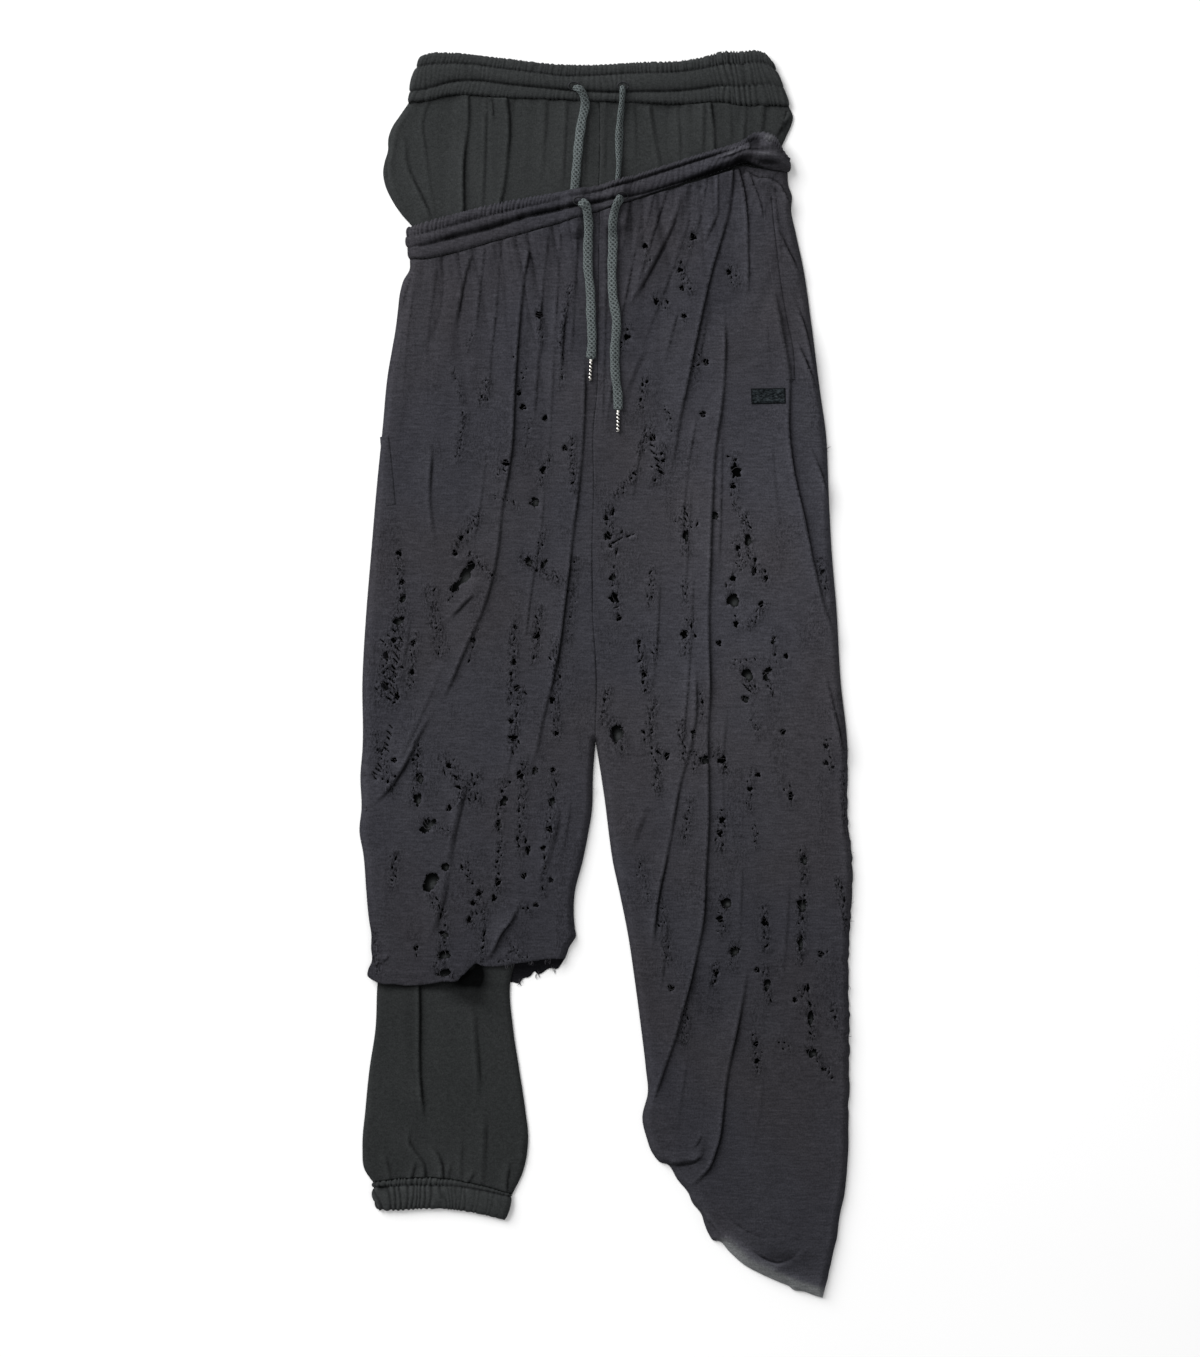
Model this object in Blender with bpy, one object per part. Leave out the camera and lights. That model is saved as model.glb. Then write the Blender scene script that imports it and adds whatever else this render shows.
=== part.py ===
"""Layered joggers laid out flat: heavy fleece joggers inside a longer, thin, ripped jersey pair.

They lie on a level surface as the photograph shows them from straight above. +X is the photograph's
right, which is the wearer's left, +Y points to the waist and +Z up. R and L are the wearer's sides.
Places come from the photograph, in its pixels; lengths off the surface are in metres.
Each panel is a wall of cloth with its real thickness, and the panels lie on each other.
"""

from collections import namedtuple

import bpy
import numpy as np
from mathutils import Vector
from mathutils.bvhtree import BVHTree
from mathutils.geometry import delaunay_2d_cdt

# The size: the inner pair's side length, waist to ankle, and how many pixels it spans.
OUTSEAM = 1.08
OUTSEAM_PIXELS = 1166
PIXEL = OUTSEAM / OUTSEAM_PIXELS
PICTURE_CENTRE = (606.0, 674.5)

# The cloth, and how the layers lie on each other.
JERSEY = 0.0012
FLEECE = 0.0020
BAND = 0.0030
BACK_BAND = 0.0020
CUFF = 0.0028
CUFF_BACK = 0.0020
GAP = 0.0003
INNER_LIFT = BACK_BAND + GAP
OUTER_REST = INNER_LIFT + FLEECE + GAP + FLEECE + GAP
CLOSED_EDGE = JERSEY + GAP
SLACK = 0.0006

# How finely the walls are faceted, in metres.
EDGE_STEP = 0.022
FOLD_STEP = 0.024
FILL_STEP = 0.031
HIDDEN_STEP = 0.060
EDGE_RAMP = 0.013
EDGE_ROUND = 0.004
ROW_RISE = 0.866
CLEAR_SHARE = 0.55
SAME_POINT = 0.0006
MERGE = 0.0002
LINE_MARGIN = 0.0035
WIDE_FOLD = 0.009
SHARP_ANGLE = 0.7

# The drawcords: an 8 mm braid about 4 mm thick, as a tube of its mean size.
CORD = 0.0055
CORD_STEP = 0.014
TIP = 0.0032
TIP_LENGTH = 0.0205
RIDGE_TOP = 0.0055
RIDGE_FOOT = 0.014
CORD_REACH = 1.6
ABOVE_ALL = 0.1

Body = namedtuple("Body", "right_x right_y centre_x centre_y left_x left_y")
Leg = namedtuple("Leg", "photo_left_x photo_left_y photo_right_x photo_right_y")
BandStation = namedtuple("BandStation", "top_x top_y bottom_x bottom_y lift")
Fold = namedtuple("Fold", "height rise fall route")
Rip = namedtuple("Rip", "x y width length")
Material = namedtuple("Material", "red green blue roughness metallic")

# The outer pair: a section for each level, from the waist seam down to the crotch.
OVER_BODY = (
    Body(406, 261.5, 600, 211.5, 788, 172),
    Body(401, 290, 599, 270, 800, 250),
    Body(395, 330, 598, 330, 811, 325),
    Body(388, 370, 597, 395, 821, 395),
    Body(382, 430, 593.5, 430, 826, 430),
    Body(376, 490, 594, 490, 829, 490),
    Body(371, 550, 592, 550, 832, 550),
    Body(366, 610, 592.6, 610, 837, 610),
    Body(362, 680, 596, 680, 841, 680),
    Body(362, 750, 595.5, 741, 848, 750),
)
OVER_LEG_R = (
    Leg(360, 775, 593, 775),
    Leg(361, 810, 592, 810),
    Leg(359, 830, 588, 835),
    Leg(363, 855, 583, 860),
    Leg(366, 890, 576, 895),
    Leg(369, 930, 576, 930),
    Leg(371, 952, 570, 946),
    Leg(376, 980, 565, 959),
)
OVER_LEG_L = (
    Leg(601, 775, 848, 775),
    Leg(606, 810, 848, 810),
    Leg(609, 835, 850, 835),
    Leg(612.5, 860, 853, 865),
    Leg(620, 895, 852, 900),
    Leg(628, 935, 850, 935),
    Leg(634, 975, 849, 985),
    Leg(640, 1020, 850, 1025),
    Leg(646, 1070, 850, 1070),
    Leg(648, 1092, 849, 1100),
    Leg(643, 1120, 848, 1140),
    Leg(651, 1149, 846, 1170),
    Leg(669, 1170, 842, 1200),
    Leg(697, 1211, 838, 1232),
    Leg(728, 1250, 833, 1258),
    Leg(776, 1283, 829, 1283),
)
OVER_HEM_R = ((376, 980), (399, 983), (420, 984.5), (447, 982), (461, 977), (479, 964), (511, 964),
              (565, 959))
# Where the short leg's hem stands open round the inner leg: from and to these rows, left of this column.
HEM_OPENS_FROM = 860
HEM_OPEN = 925
HEM_OPEN_TO = 455
HEM_OPEN_FADE = 0.03
OVER_HEM_L = ((776, 1283), (800, 1292), (821, 1299), (826, 1297), (829, 1283))
OVER_BACK_HEM_R = ((376, 974), (440, 977), (511, 984), (521, 984), (537, 974), (554, 969), (565, 959))

# The inner pair, most of which the outer one hides.
UNDER_BODY = (
    Body(407, 101, 600, 100.8, 789, 108),
    Body(390, 130, 600, 150, 785.5, 122),
    Body(384, 165, 599, 190, 781, 140),
    Body(387, 192, 598, 220, 773, 152),
    Body(397, 210, 598, 260, 768, 175),
    Body(411, 222.5, 598, 300, 768, 205),
    Body(423, 236, 598, 340, 769, 262),
    Body(424, 262, 597, 400, 780, 330),
    Body(418, 330, 597, 480, 791, 420),
    Body(400, 500, 597, 560, 802, 520),
    Body(390, 600, 597, 620, 809, 620),
    Body(384, 690, 597, 690, 815, 690),
)
UNDER_LEG_R = (
    Leg(380, 770, 572, 750),
    Leg(380, 850, 553, 850),
    Leg(384, 930, 527, 930),
    Leg(377, 985, 510, 985),
    Leg(375, 1030, 513, 1030),
    Leg(369, 1070, 519, 1070),
    Leg(365, 1110, 525, 1110),
    Leg(362, 1148, 528, 1140),
    Leg(364, 1170, 523, 1172),
    Leg(372, 1182.5, 512, 1195.5),
)
UNDER_LEG_L = (
    Leg(620, 760, 822, 770),
    Leg(632, 850, 826, 850),
    Leg(650, 950, 827, 950),
    Leg(662, 1040, 826, 1040),
    Leg(668, 1100, 824, 1100),
    Leg(680, 1130, 826, 1130),
    Leg(694, 1160, 822, 1160),
)
CUFF_R = (
    BandStation(372, 1183, 377, 1210, 0),
    BandStation(398, 1184, 396, 1210, 0),
    BandStation(426, 1180, 426, 1209.5, 0),
    BandStation(455, 1183, 455, 1212, 0),
    BandStation(485, 1189, 485, 1218, 0),
    BandStation(512, 1196, 507, 1220, 0),
)
CUFF_L = (
    BandStation(694, 1160, 706, 1192, 0),
    BandStation(750, 1161, 752, 1195, 0),
    BandStation(822, 1160, 815, 1192, 0),
)

# The waistbands, from the photograph's left to its right. lift is how far the outer one rolls up.
UNDER_BAND = (
    BandStation(421, 56, 407, 101, 0),
    BandStation(450, 53, 449, 95.5, 0),
    BandStation(500, 58, 500, 97, 0),
    BandStation(560, 64, 560, 99, 0),
    BandStation(600, 65, 600, 100.8, 0),
    BandStation(640, 64, 640, 102, 0),
    BandStation(700, 58, 705, 104, 0),
    BandStation(740, 52, 750, 105.5, 0),
    BandStation(760, 50.5, 776, 106.5, 0),
    BandStation(772, 60, 789, 108, 0),
)
OVER_BAND = (
    BandStation(404, 231.5, 406, 261.5, 0),
    BandStation(410, 227.7, 414, 260.5, 0),
    BandStation(421, 224.4, 423, 259.8, 0),
    BandStation(443, 217.6, 443, 257, 0),
    BandStation(500, 203, 505, 239, 0),
    BandStation(560, 192, 560, 223.5, 0),
    BandStation(600, 184.7, 600, 211.5, 0),
    BandStation(660, 167, 660, 192.5, 0),
    BandStation(700, 154, 700, 180, 0.001),
    BandStation(720, 148, 725, 172.5, 0.003),
    BandStation(741, 142, 746, 165.5, 0.007),
    BandStation(758, 132.5, 762, 167, 0.013),
    BandStation(775.5, 137.5, 777, 170, 0.010),
    BandStation(788, 155, 788, 172, 0.002),
)
# Across a band, from its upper edge: where it is stitched down, and where its channels crown.
UNDER_CHANNELS = ((0, 0.2), (0.10, 1), (0.23, 0.1), (0.34, 1), (0.60, 1), (0.71, 0.1), (0.85, 1), (1, 0))
OVER_CHANNELS = ((0, 0.2), (0.14, 1), (0.27, 0.1), (0.45, 1), (0.62, 0.1), (0.82, 1), (1, 0))
CUFF_CHANNELS = ((0, 0), (0.18, 0.8), (0.5, 1), (0.82, 0.8), (1, 0.2))
BAND_PUFF = 0.0022
CUFF_PUFF = 0.0008
UNDER_BAND_GATHERS = 26
OVER_BAND_GATHERS = 28
CUFF_GATHERS = 13
GATHER_DEPTH = 0.0011
# What a band keeps of its thickness, its gathers and its puff where it is stitched down or ends, how
# deep the hollows between its gathers are, and how many columns its ends close over.
STITCHED_THICKNESS = 0.7
STITCHED_GATHERS = 0.4
END_PUFF = 0.5
HOLLOW = 0.15
END_COLUMNS = 2.2
GATHER_STRAY = 0.18
# The outer band's roll across its width: how broad it is, and how deep and where it dips.
ROLL_BREADTH = 4.2
ROLL_DIP = 0.28
ROLL_WAVE = 9.5

# Folds: height, how wide they rise on the photograph's left and fall on its right, and their course.
OVER_FOLDS_R = (
    Fold(0.0085, 0.026, 0.007, ((527, 250), (521, 290), (513, 385), (510, 446), (501, 507), (493, 567),
                                (482, 607), (459, 659), (440, 706))),
    Fold(0.0070, 0.020, 0.009, ((440, 704), (424, 724), (399, 770), (376, 800), (363, 809))),
    Fold(0.0045, 0.018, 0.008, ((482, 586), (466, 599), (443, 624))),
    Fold(0.0030, 0.016, 0.010, ((468, 252), (461, 281), (456, 313), (451, 336))),
    Fold(0.0040, 0.014, 0.006, ((570, 286), (564, 315), (559, 388))),
    Fold(0.0030, 0.012, 0.006, ((543, 325), (536, 376))),
    Fold(0.0075, 0.022, 0.007, ((584, 350), (580, 458), (573, 519), (564, 594), (556, 655), (539, 731),
                                (531, 775))),
    Fold(0.0045, 0.016, 0.008, ((432, 430), (428, 500), (436, 560))),
    Fold(0.0060, 0.018, 0.008, ((524, 900), (501, 930), (482, 961))),
    Fold(0.0040, 0.018, 0.012, ((560, 790), (548, 850), (530, 900))),
    Fold(0.0040, 0.020, 0.012, ((470, 760), (452, 830), (440, 900), (425, 950))),
)
OVER_FOLDS_L = (
    Fold(0.0090, 0.026, 0.007, ((733, 176), (728, 213), (714, 265), (699, 319), (689, 368), (676, 436),
                                (671, 475))),
    Fold(0.0040, 0.010, 0.006, ((717, 184), (714, 224), (705, 246))),
    Fold(0.0060, 0.014, 0.006, ((743, 178), (747, 203), (749, 275), (747, 305))),
    Fold(0.0095, 0.028, 0.007, ((724, 306), (722, 389), (714, 448), (710, 516), (708, 574), (707, 640),
                                (708, 690), (706, 744), (707, 815), (704, 872), (700, 930), (687, 987),
                                (674, 1036), (656, 1089), (650, 1112))),
    Fold(0.0045, 0.018, 0.010, ((679, 195), (670, 224), (650, 265), (622, 316))),
    Fold(0.0040, 0.018, 0.010, ((650, 337), (638, 360), (621, 402))),
    Fold(0.0055, 0.016, 0.007, ((694, 655), (692, 734), (678, 786), (668, 843), (656, 901), (651, 955))),
    Fold(0.0070, 0.020, 0.008, ((789, 380), (786, 428), (798, 494), (813, 569), (832, 637), (838, 668))),
    Fold(0.0080, 0.014, 0.006, ((757, 178), (773, 184), (780, 196), (787, 214), (796, 246))),
    Fold(0.0050, 0.012, 0.006, ((781, 257), (792, 266), (803, 288))),
    Fold(0.0050, 0.014, 0.006, ((792, 300), (801, 318), (817, 362), (820, 380))),
    Fold(0.0050, 0.012, 0.006, ((793, 334), (811, 382), (823, 425))),
    Fold(0.0040, 0.012, 0.007, ((808, 442), (825, 489), (829, 525))),
    Fold(0.0045, 0.012, 0.007, ((825, 680), (839, 731), (842, 758))),
    Fold(0.0080, 0.024, 0.009, ((748, 960), (743, 990), (730, 1052), (722, 1111), (711, 1157), (692, 1184))),
    Fold(0.0040, 0.008, 0.008, ((668, 1162), (690, 1161), (700, 1147))),
    Fold(0.0045, 0.020, 0.012, ((648, 800), (636, 830), (628, 858))),
    Fold(0.0040, 0.010, 0.006, ((745, 1254), (764, 1263), (790, 1259), (806, 1245))),
)
UNDER_FOLDS_R = (
    Fold(0.0035, 0.012, 0.006, ((404, 149), (409, 176), (419, 200))),
    Fold(0.0030, 0.012, 0.006, ((467, 109), (463, 150), (461, 196))),
    Fold(0.0030, 0.010, 0.006, ((505, 106), (507, 133), (503, 182))),
    Fold(0.0022, 0.010, 0.006, ((544, 106), (541, 140), (538, 168))),
    Fold(0.0030, 0.014, 0.008, ((416, 1014), (415, 1055), (417, 1095), (424, 1122))),
    Fold(0.0035, 0.012, 0.007, ((411, 1122), (407, 1143), (420, 1168))),
    Fold(0.0030, 0.012, 0.007, ((430, 1142), (439, 1160), (440, 1176))),
    Fold(0.0035, 0.012, 0.008, ((482, 1124), (481, 1178))),
    Fold(0.0030, 0.012, 0.008, ((470, 1020), (476, 1075))),
)
UNDER_FOLDS_L = (
    Fold(0.0035, 0.012, 0.006, ((707, 109), (710, 122), (714, 138))),
    Fold(0.0025, 0.012, 0.008, ((648, 120), (655, 148))),
    Fold(0.0035, 0.010, 0.005, ((781, 112), (777, 130))),
    Fold(0.0022, 0.010, 0.006, ((745, 112), (743, 130))),
)

FOLD_FADE = 0.010
FOLD_END = 0.016
FOLD_END_SHARE = 0.4

# Gathers that fan down from a waist seam: their number and size, and how unevenly they start and lean.
GATHERS = 11
GATHER_START = 0.25
GATHER_LEAN = 0.22
GATHER_FOLD = Fold(0.0016, 0.006, 0.004, None)
GATHER_LENGTHS = (0.036, 0.052, 0.030, 0.046, 0.040)
UNDER_GATHER_LENGTHS = (0.022, 0.030, 0.018, 0.026)

# Gaps in the ripped jersey: centre and size in pixels. Small, middling and large ones have more corners.
SMALL_RIP = 7
LARGE_RIP = 12
RIP_CORNERS = (5, 6, 8)
RIP_WOBBLE = 0.16
RIPS_R = (
    Rip(539, 315, 7, 7), Rip(523, 407, 6, 6), Rip(519, 393, 5, 5),
    Rip(545, 418, 5, 6), Rip(534, 502, 10, 8),
    Rip(543, 470, 6, 7), Rip(505, 463, 6, 6), Rip(565, 448, 5, 6),
    Rip(463, 577, 9, 32), Rip(528, 561, 7, 7),
    Rip(545, 563, 5, 6), Rip(455, 553, 5, 6), Rip(461, 538, 5, 5), Rip(399, 553, 5, 6), Rip(402, 582, 5, 6),
    Rip(403, 599, 7, 7), Rip(397, 622, 9, 9), Rip(394, 640, 5, 6), Rip(386, 656, 5, 9), Rip(395, 668, 5, 8),
    Rip(385, 686, 6, 10), Rip(397, 696, 5, 7), Rip(413, 643, 5, 6),
    Rip(473, 640, 5, 6), Rip(537, 636, 6, 8),
    Rip(412, 672, 5, 6), Rip(514, 662, 5, 6), Rip(517, 688, 6, 6), Rip(552, 700, 5, 7), Rip(511, 721, 5, 5),
    Rip(513, 738, 8, 6), Rip(558, 733, 6, 6), Rip(520, 775, 6, 9), Rip(553, 770, 5, 5), Rip(551, 799, 7, 7),
    Rip(504, 799, 6, 9), Rip(498, 826, 6, 10), Rip(419, 778, 8, 9),
    Rip(415, 797, 7, 7), Rip(423, 812, 5, 5),
    Rip(427, 827, 15, 10), Rip(374, 776, 5, 6), Rip(394, 760, 5, 5),
    Rip(449, 766, 5, 5), Rip(449, 808, 5, 6),
    Rip(446, 867, 9, 9), Rip(428, 882, 12, 18), Rip(479, 893, 6, 6),
    Rip(473, 903, 5, 5), Rip(551, 880, 5, 5),
    Rip(469, 920, 6, 6), Rip(445, 934, 8, 7), Rip(443, 951, 11, 6),
    Rip(440, 971, 12, 7), Rip(549, 829, 6, 6),
    Rip(543, 848, 5, 5), Rip(528, 850, 5, 8), Rip(524, 876, 5, 6), Rip(498, 882, 5, 8), Rip(494, 898, 5, 6),
    Rip(416, 948, 5, 5), Rip(536, 905, 5, 5),
)
RIPS_L = (
    Rip(653, 438, 6, 6), Rip(660, 456, 9, 9), Rip(736, 471, 9, 13),
    Rip(733, 486, 5, 6), Rip(723, 514, 6, 9),
    Rip(747, 519, 5, 5), Rip(748, 539, 7, 10), Rip(738, 548, 5, 5),
    Rip(684, 522, 5, 5), Rip(685, 537, 5, 14),
    Rip(606, 518, 5, 5), Rip(608, 536, 7, 8), Rip(613, 576, 8, 10),
    Rip(614, 598, 9, 9), Rip(619, 618, 5, 6),
    Rip(733, 579, 6, 6), Rip(754, 571, 5, 8), Rip(766, 578, 5, 5),
    Rip(731, 600, 14, 14), Rip(761, 604, 5, 6),
    Rip(736, 624, 5, 6), Rip(684, 634, 7, 8), Rip(719, 643, 5, 6),
    Rip(773, 640, 6, 10), Rip(786, 656, 5, 5),
    Rip(746, 674, 10, 10), Rip(767, 674, 8, 12), Rip(745, 697, 7, 7),
    Rip(681, 732, 5, 9), Rip(644, 674, 5, 8),
    Rip(783, 732, 5, 6), Rip(826, 746, 5, 5), Rip(616, 733, 13, 13),
    Rip(693, 237, 7, 6), Rip(645, 246, 5, 5),
    Rip(680, 270, 5, 5), Rip(682, 288, 5, 5), Rip(729, 272, 5, 5), Rip(656, 301, 5, 6), Rip(684, 316, 5, 5),
    Rip(627, 337, 6, 6), Rip(706, 362, 6, 6), Rip(703, 414, 6, 6), Rip(667, 756, 5, 7), Rip(722, 760, 8, 8),
    Rip(826, 763, 5, 5), Rip(758, 775, 5, 5), Rip(750, 789, 5, 5), Rip(791, 796, 5, 8), Rip(720, 833, 6, 6),
    Rip(722, 820, 6, 6), Rip(805, 859, 8, 9), Rip(725, 904, 11, 9),
    Rip(720, 919, 7, 6), Rip(802, 904, 12, 12),
    Rip(765, 922, 6, 9), Rip(800, 946, 5, 16), Rip(733, 953, 9, 9),
    Rip(821, 954, 6, 6), Rip(716, 973, 5, 8),
    Rip(671, 988, 6, 6), Rip(757, 970, 5, 6), Rip(766, 986, 6, 13),
    Rip(807, 988, 5, 8), Rip(795, 1000, 5, 5),
    Rip(811, 1020, 6, 17), Rip(810, 1052, 9, 6), Rip(756, 1044, 5, 5),
    Rip(757, 1061, 5, 5), Rip(824, 1069, 5, 5),
)

# What is sewn on the outer pair: the courses of its pocket mouths and the corners of its patch.
POCKET_R = ((384, 436), (387, 463), (391, 505))
POCKET_L = ((766.5, 196), (768.5, 219), (772, 250), (777, 288), (783, 322), (788, 346), (790.5, 380))
POCKET_WIDTH = 0.0085
PATCH = ((751, 388.5), (785, 388), (785.5, 403.5), (751.5, 404))
TRIM_GAP = 0.0003
TRIM = 0.0010

# Drawcords: each leaves its waistband and lies down the front. Those of the inner pair pass under the
# outer waistband and end there, out of sight below this row.
HIDDEN_FROM = 160
UNDER_CORD_R = ((574, 86), (581, 91), (585, 101), (582, 120), (579, 141), (577, 162), (575, 186),
                (574, 206), (574, 226))
UNDER_CORD_L = ((623, 86), (622, 101), (620, 122), (619, 146), (619, 162), (618, 180), (617, 200),
                (617, 220))
OVER_CORD_R = ((579, 202), (585, 206), (588, 218), (588, 245), (588, 269), (590.5, 292), (591, 316),
               (592, 339), (591, 360))
OVER_CORD_L = ((622, 197), (617, 205), (613, 221), (613, 245), (612, 269), (613, 297), (616.5, 321),
               (614.7, 351), (615.4, 375), (618, 398), (618, 411))

JERSEY_LOOK = Material(0.045, 0.041, 0.045, 0.92, 0.0)
FLEECE_LOOK = Material(0.026, 0.031, 0.029, 0.95, 0.0)
CORD_LOOK = Material(0.075, 0.095, 0.090, 0.85, 0.0)
TRIM_LOOK = Material(0.012, 0.012, 0.013, 0.80, 0.0)
METAL_LOOK = Material(0.42, 0.40, 0.38, 0.35, 1.0)


# ---------------------------------------------------------------- curves in the plane


def place(points):
    """Picture pixels as metres on the surface."""
    points = np.array(points, float)
    return (points - PICTURE_CENTRE) * (PIXEL, -PIXEL)


def smooth_line(points, step):
    """A smooth line through the points, keeping each of them, with a point about every step."""
    points = np.asarray(points, float)
    gaps = np.linalg.norm(np.diff(points, axis=0), axis=1)
    slopes = np.diff(points, axis=0) / gaps[:, None]
    tangents = np.vstack([slopes[:1], slopes[:1], slopes[1:]])[: len(points)]
    before, after = gaps[:-1, None], gaps[1:, None]
    tangents[1:-1] = (slopes[:-1] * after + slopes[1:] * before) / (before + after)
    tangents[-1] = slopes[-1]
    line = [points[0]]
    for i, gap in enumerate(gaps):
        count = max(1, round(gap / step))
        for t in np.arange(1, count + 1) / count:
            line.append(
                (2 * t**3 - 3 * t**2 + 1) * points[i]
                + (t**3 - 2 * t**2 + t) * gap * tangents[i]
                + (3 * t**2 - 2 * t**3) * points[i + 1]
                + (t**3 - t**2) * gap * tangents[i + 1]
            )
    return np.array(line)


def beside(route, points):
    """Each point's distance from a route, positive on the left of its course, and how far along it is."""
    best = np.full(len(points), np.inf)
    side = np.ones(len(points))
    along = np.zeros(len(points))
    passed = 0.0
    for start, end in zip(route, route[1:]):
        way = end - start
        length = np.linalg.norm(way)
        share = np.clip((points - start) @ way / length**2, 0, 1)
        apart = points - (start + share[:, None] * way)
        distance = np.linalg.norm(apart, axis=1)
        nearer = distance < best
        best[nearer] = distance[nearer]
        side[nearer] = np.sign(way[0] * apart[nearer, 1] - way[1] * apart[nearer, 0])
        along[nearer] = passed + share[nearer] * length
        passed += length
    return best * side, along, passed


def moved_aside(route, distance):
    """The route moved to the left of its course by a distance."""
    ways = np.gradient(route, axis=0)
    ways /= np.linalg.norm(ways, axis=1)[:, None]
    return route + distance * np.column_stack([-ways[:, 1], ways[:, 0]])


def inside(outline, points):
    """Which points lie inside a closed outline."""
    found = np.zeros(len(points), bool)
    x, y = points[:, 0], points[:, 1]
    for (x1, y1), (x2, y2) in zip(outline, np.roll(outline, -1, axis=0)):
        if y1 == y2:
            continue
        crosses = (y1 > y) != (y2 > y)
        found ^= crosses & (x < (x2 - x1) * (y - y1) / (y2 - y1) + x1)
    return found


def ease(share):
    """0 to 1 with level ends."""
    share = np.clip(share, 0, 1)
    return share * share * (3 - 2 * share)


def mixed(least, share):
    """From least, where share is 0, to 1."""
    return least + (1 - least) * share


def uneven(index, pace):
    """A repeatable value from -1 to 1 for each index."""
    return np.sin(pace * np.asarray(index))


# ---------------------------------------------------------------- the forms of the cloth


def fold_course(fold):
    return smooth_line(place(fold.route), FOLD_STEP)


def fold_heights(folds, points):
    """How far the folds lift the cloth. Each rises gently on one side of its crest and drops on the other."""
    lifted = np.zeros(len(points))
    for fold in folds:
        distance, along, length = beside(fold_course(fold), points)
        width = np.where(distance < 0, fold.rise, fold.fall)
        ends = ease(np.minimum(along, length - along) / min(FOLD_END, FOLD_END_SHARE * length))
        lifted += fold.height * ease(1 - np.abs(distance) / width) * ends
    return lifted


def gathers(seam, count, lengths):
    """Small folds that run down from a waist seam, unevenly spaced and leaning a little."""
    found = []
    for i in range(count):
        share = (i + 0.6 + GATHER_START * uneven(i, 2.7)) / (count + 0.2)
        spot = seam[0] + share * (seam[-1] - seam[0])
        nearest = seam[np.argmin(np.abs(seam[:, 0] - spot[0]))]
        start = np.array([spot[0], nearest[1] - 2 * GAP])
        length = lengths[i % len(lengths)]
        end = start + length * np.array([GATHER_LEAN * uneven(i, 1.9), -1])
        found.append(GATHER_FOLD._replace(route=to_pixels([start, (start + end) / 2, end])))
    return tuple(found)


def to_pixels(points):
    """The reverse of place."""
    return np.array(points) / (PIXEL, -PIXEL) + PICTURE_CENTRE


def band_edge(stations, edge):
    """A waistband's or cuff's upper or lower edge."""
    points = [(s.top_x, s.top_y) if edge == "top" else (s.bottom_x, s.bottom_y) for s in stations]
    return smooth_line(place(points), EDGE_STEP)


OVER_SEAM = band_edge(OVER_BAND, "bottom")
OVER_TOP = band_edge(OVER_BAND, "top")
OVER_BAND_ENDS = [np.array([OVER_TOP[i], OVER_SEAM[i]]) for i in (0, -1)]
UNDER_SEAM = band_edge(UNDER_BAND, "bottom")

# The inner pair lies on the surface, and climbs onto the outer pair's back where that begins.
CLIMB_START = 0.016
CLIMB_END = 0.003
BACK_HEM_R = smooth_line(place(OVER_BACK_HEM_R), EDGE_STEP)


def climbed(points):
    """How much of the climb onto the outer back the inner pair has made: 0 on the surface, 1 on the cloth."""
    above_band = beside(OVER_TOP, points)[0]
    past_hem = -beside(BACK_HEM_R, points)[0]
    right_leg = points[:, 0] < place([(600, 0)])[0, 0]
    outside = np.where(right_leg, np.maximum(above_band, past_hem), above_band)
    return np.clip((CLIMB_START - outside) / (CLIMB_START - CLIMB_END), 0, 1)


def hidden_course(course):
    """The stretch of an inner drawcord, with its tip, that the outer pair covers."""
    hidden = place([point for point in course if point[1] > HIDDEN_FROM])
    return np.vstack([hidden, hidden[-1] + (0, -TIP_LENGTH - RIDGE_TOP)])


def cord_ridge(points):
    """The outer pair rides over the inner drawcords where they pass under it."""
    lifted = np.zeros(len(points))
    for course in (UNDER_CORD_R, UNDER_CORD_L):
        distance = np.abs(beside(hidden_course(course), points)[0])
        lifted = np.maximum(lifted, np.clip((RIDGE_FOOT - distance) / (RIDGE_FOOT - RIDGE_TOP), 0, 1))
    return lifted * (CORD + 3 * GAP)


def ridge_lines(course):
    """The lines that carry the ridge over a hidden drawcord."""
    hidden = hidden_course(course)
    beyond = hidden[-1] + (0, RIDGE_TOP - RIDGE_FOOT)
    sides = [moved_aside(hidden, distance) for distance in (RIDGE_TOP, -RIDGE_TOP, RIDGE_FOOT, -RIDGE_FOOT)]
    return sides + [np.vstack([hidden, beyond])]


# ---------------------------------------------------------------- walls


def triangles_within(outline, rings, points):
    """Triangles that fill an outline, with every ring and line among their edges."""
    spots, edges = [], []
    for line, closed in rings:
        first = len(spots)
        spots.extend(Vector(point) for point in line)
        edges.extend((first + i, first + i + 1) for i in range(len(line) - 1))
        if closed:
            edges.append((first + len(line) - 1, first))
    spots.extend(Vector(point) for point in points)
    found = delaunay_2d_cdt(spots, edges, [], 0, MERGE, False)
    corners = np.array([tuple(spot) for spot in found[0]])
    faces = np.array([tuple(face) for face in found[2]])
    keep = inside(outline, corners[faces].mean(axis=1))
    return corners, faces[keep]


def upward(corners, faces):
    """The faces turned so that they face up."""
    a, b, c = (corners[faces[:, i]] for i in range(3))
    turn = (b[:, 0] - a[:, 0]) * (c[:, 1] - a[:, 1]) - (b[:, 1] - a[:, 1]) * (c[:, 0] - a[:, 0])
    return np.where((turn < 0)[:, None], faces[:, ::-1], faces)


def material(name, look):
    found = bpy.data.materials.new(name)
    found.use_nodes = True
    shader = found.node_tree.nodes["Principled BSDF"]
    shader.inputs["Base Color"].default_value = (look.red, look.green, look.blue, 1)
    shader.inputs["Roughness"].default_value = look.roughness
    shader.inputs["Metallic"].default_value = look.metallic
    return found


def mesh_object(name, corners, faces, look):
    mesh = bpy.data.meshes.new(name)
    mesh.from_pydata([tuple(corner) for corner in corners], [], [tuple(face) for face in faces])
    mesh.shade_smooth()
    mesh.set_sharp_from_angle(angle=SHARP_ANGLE)
    mesh.materials.append(material(name, look))
    placed = bpy.data.objects.new(name, mesh)
    bpy.context.collection.objects.link(placed)
    return placed


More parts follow.
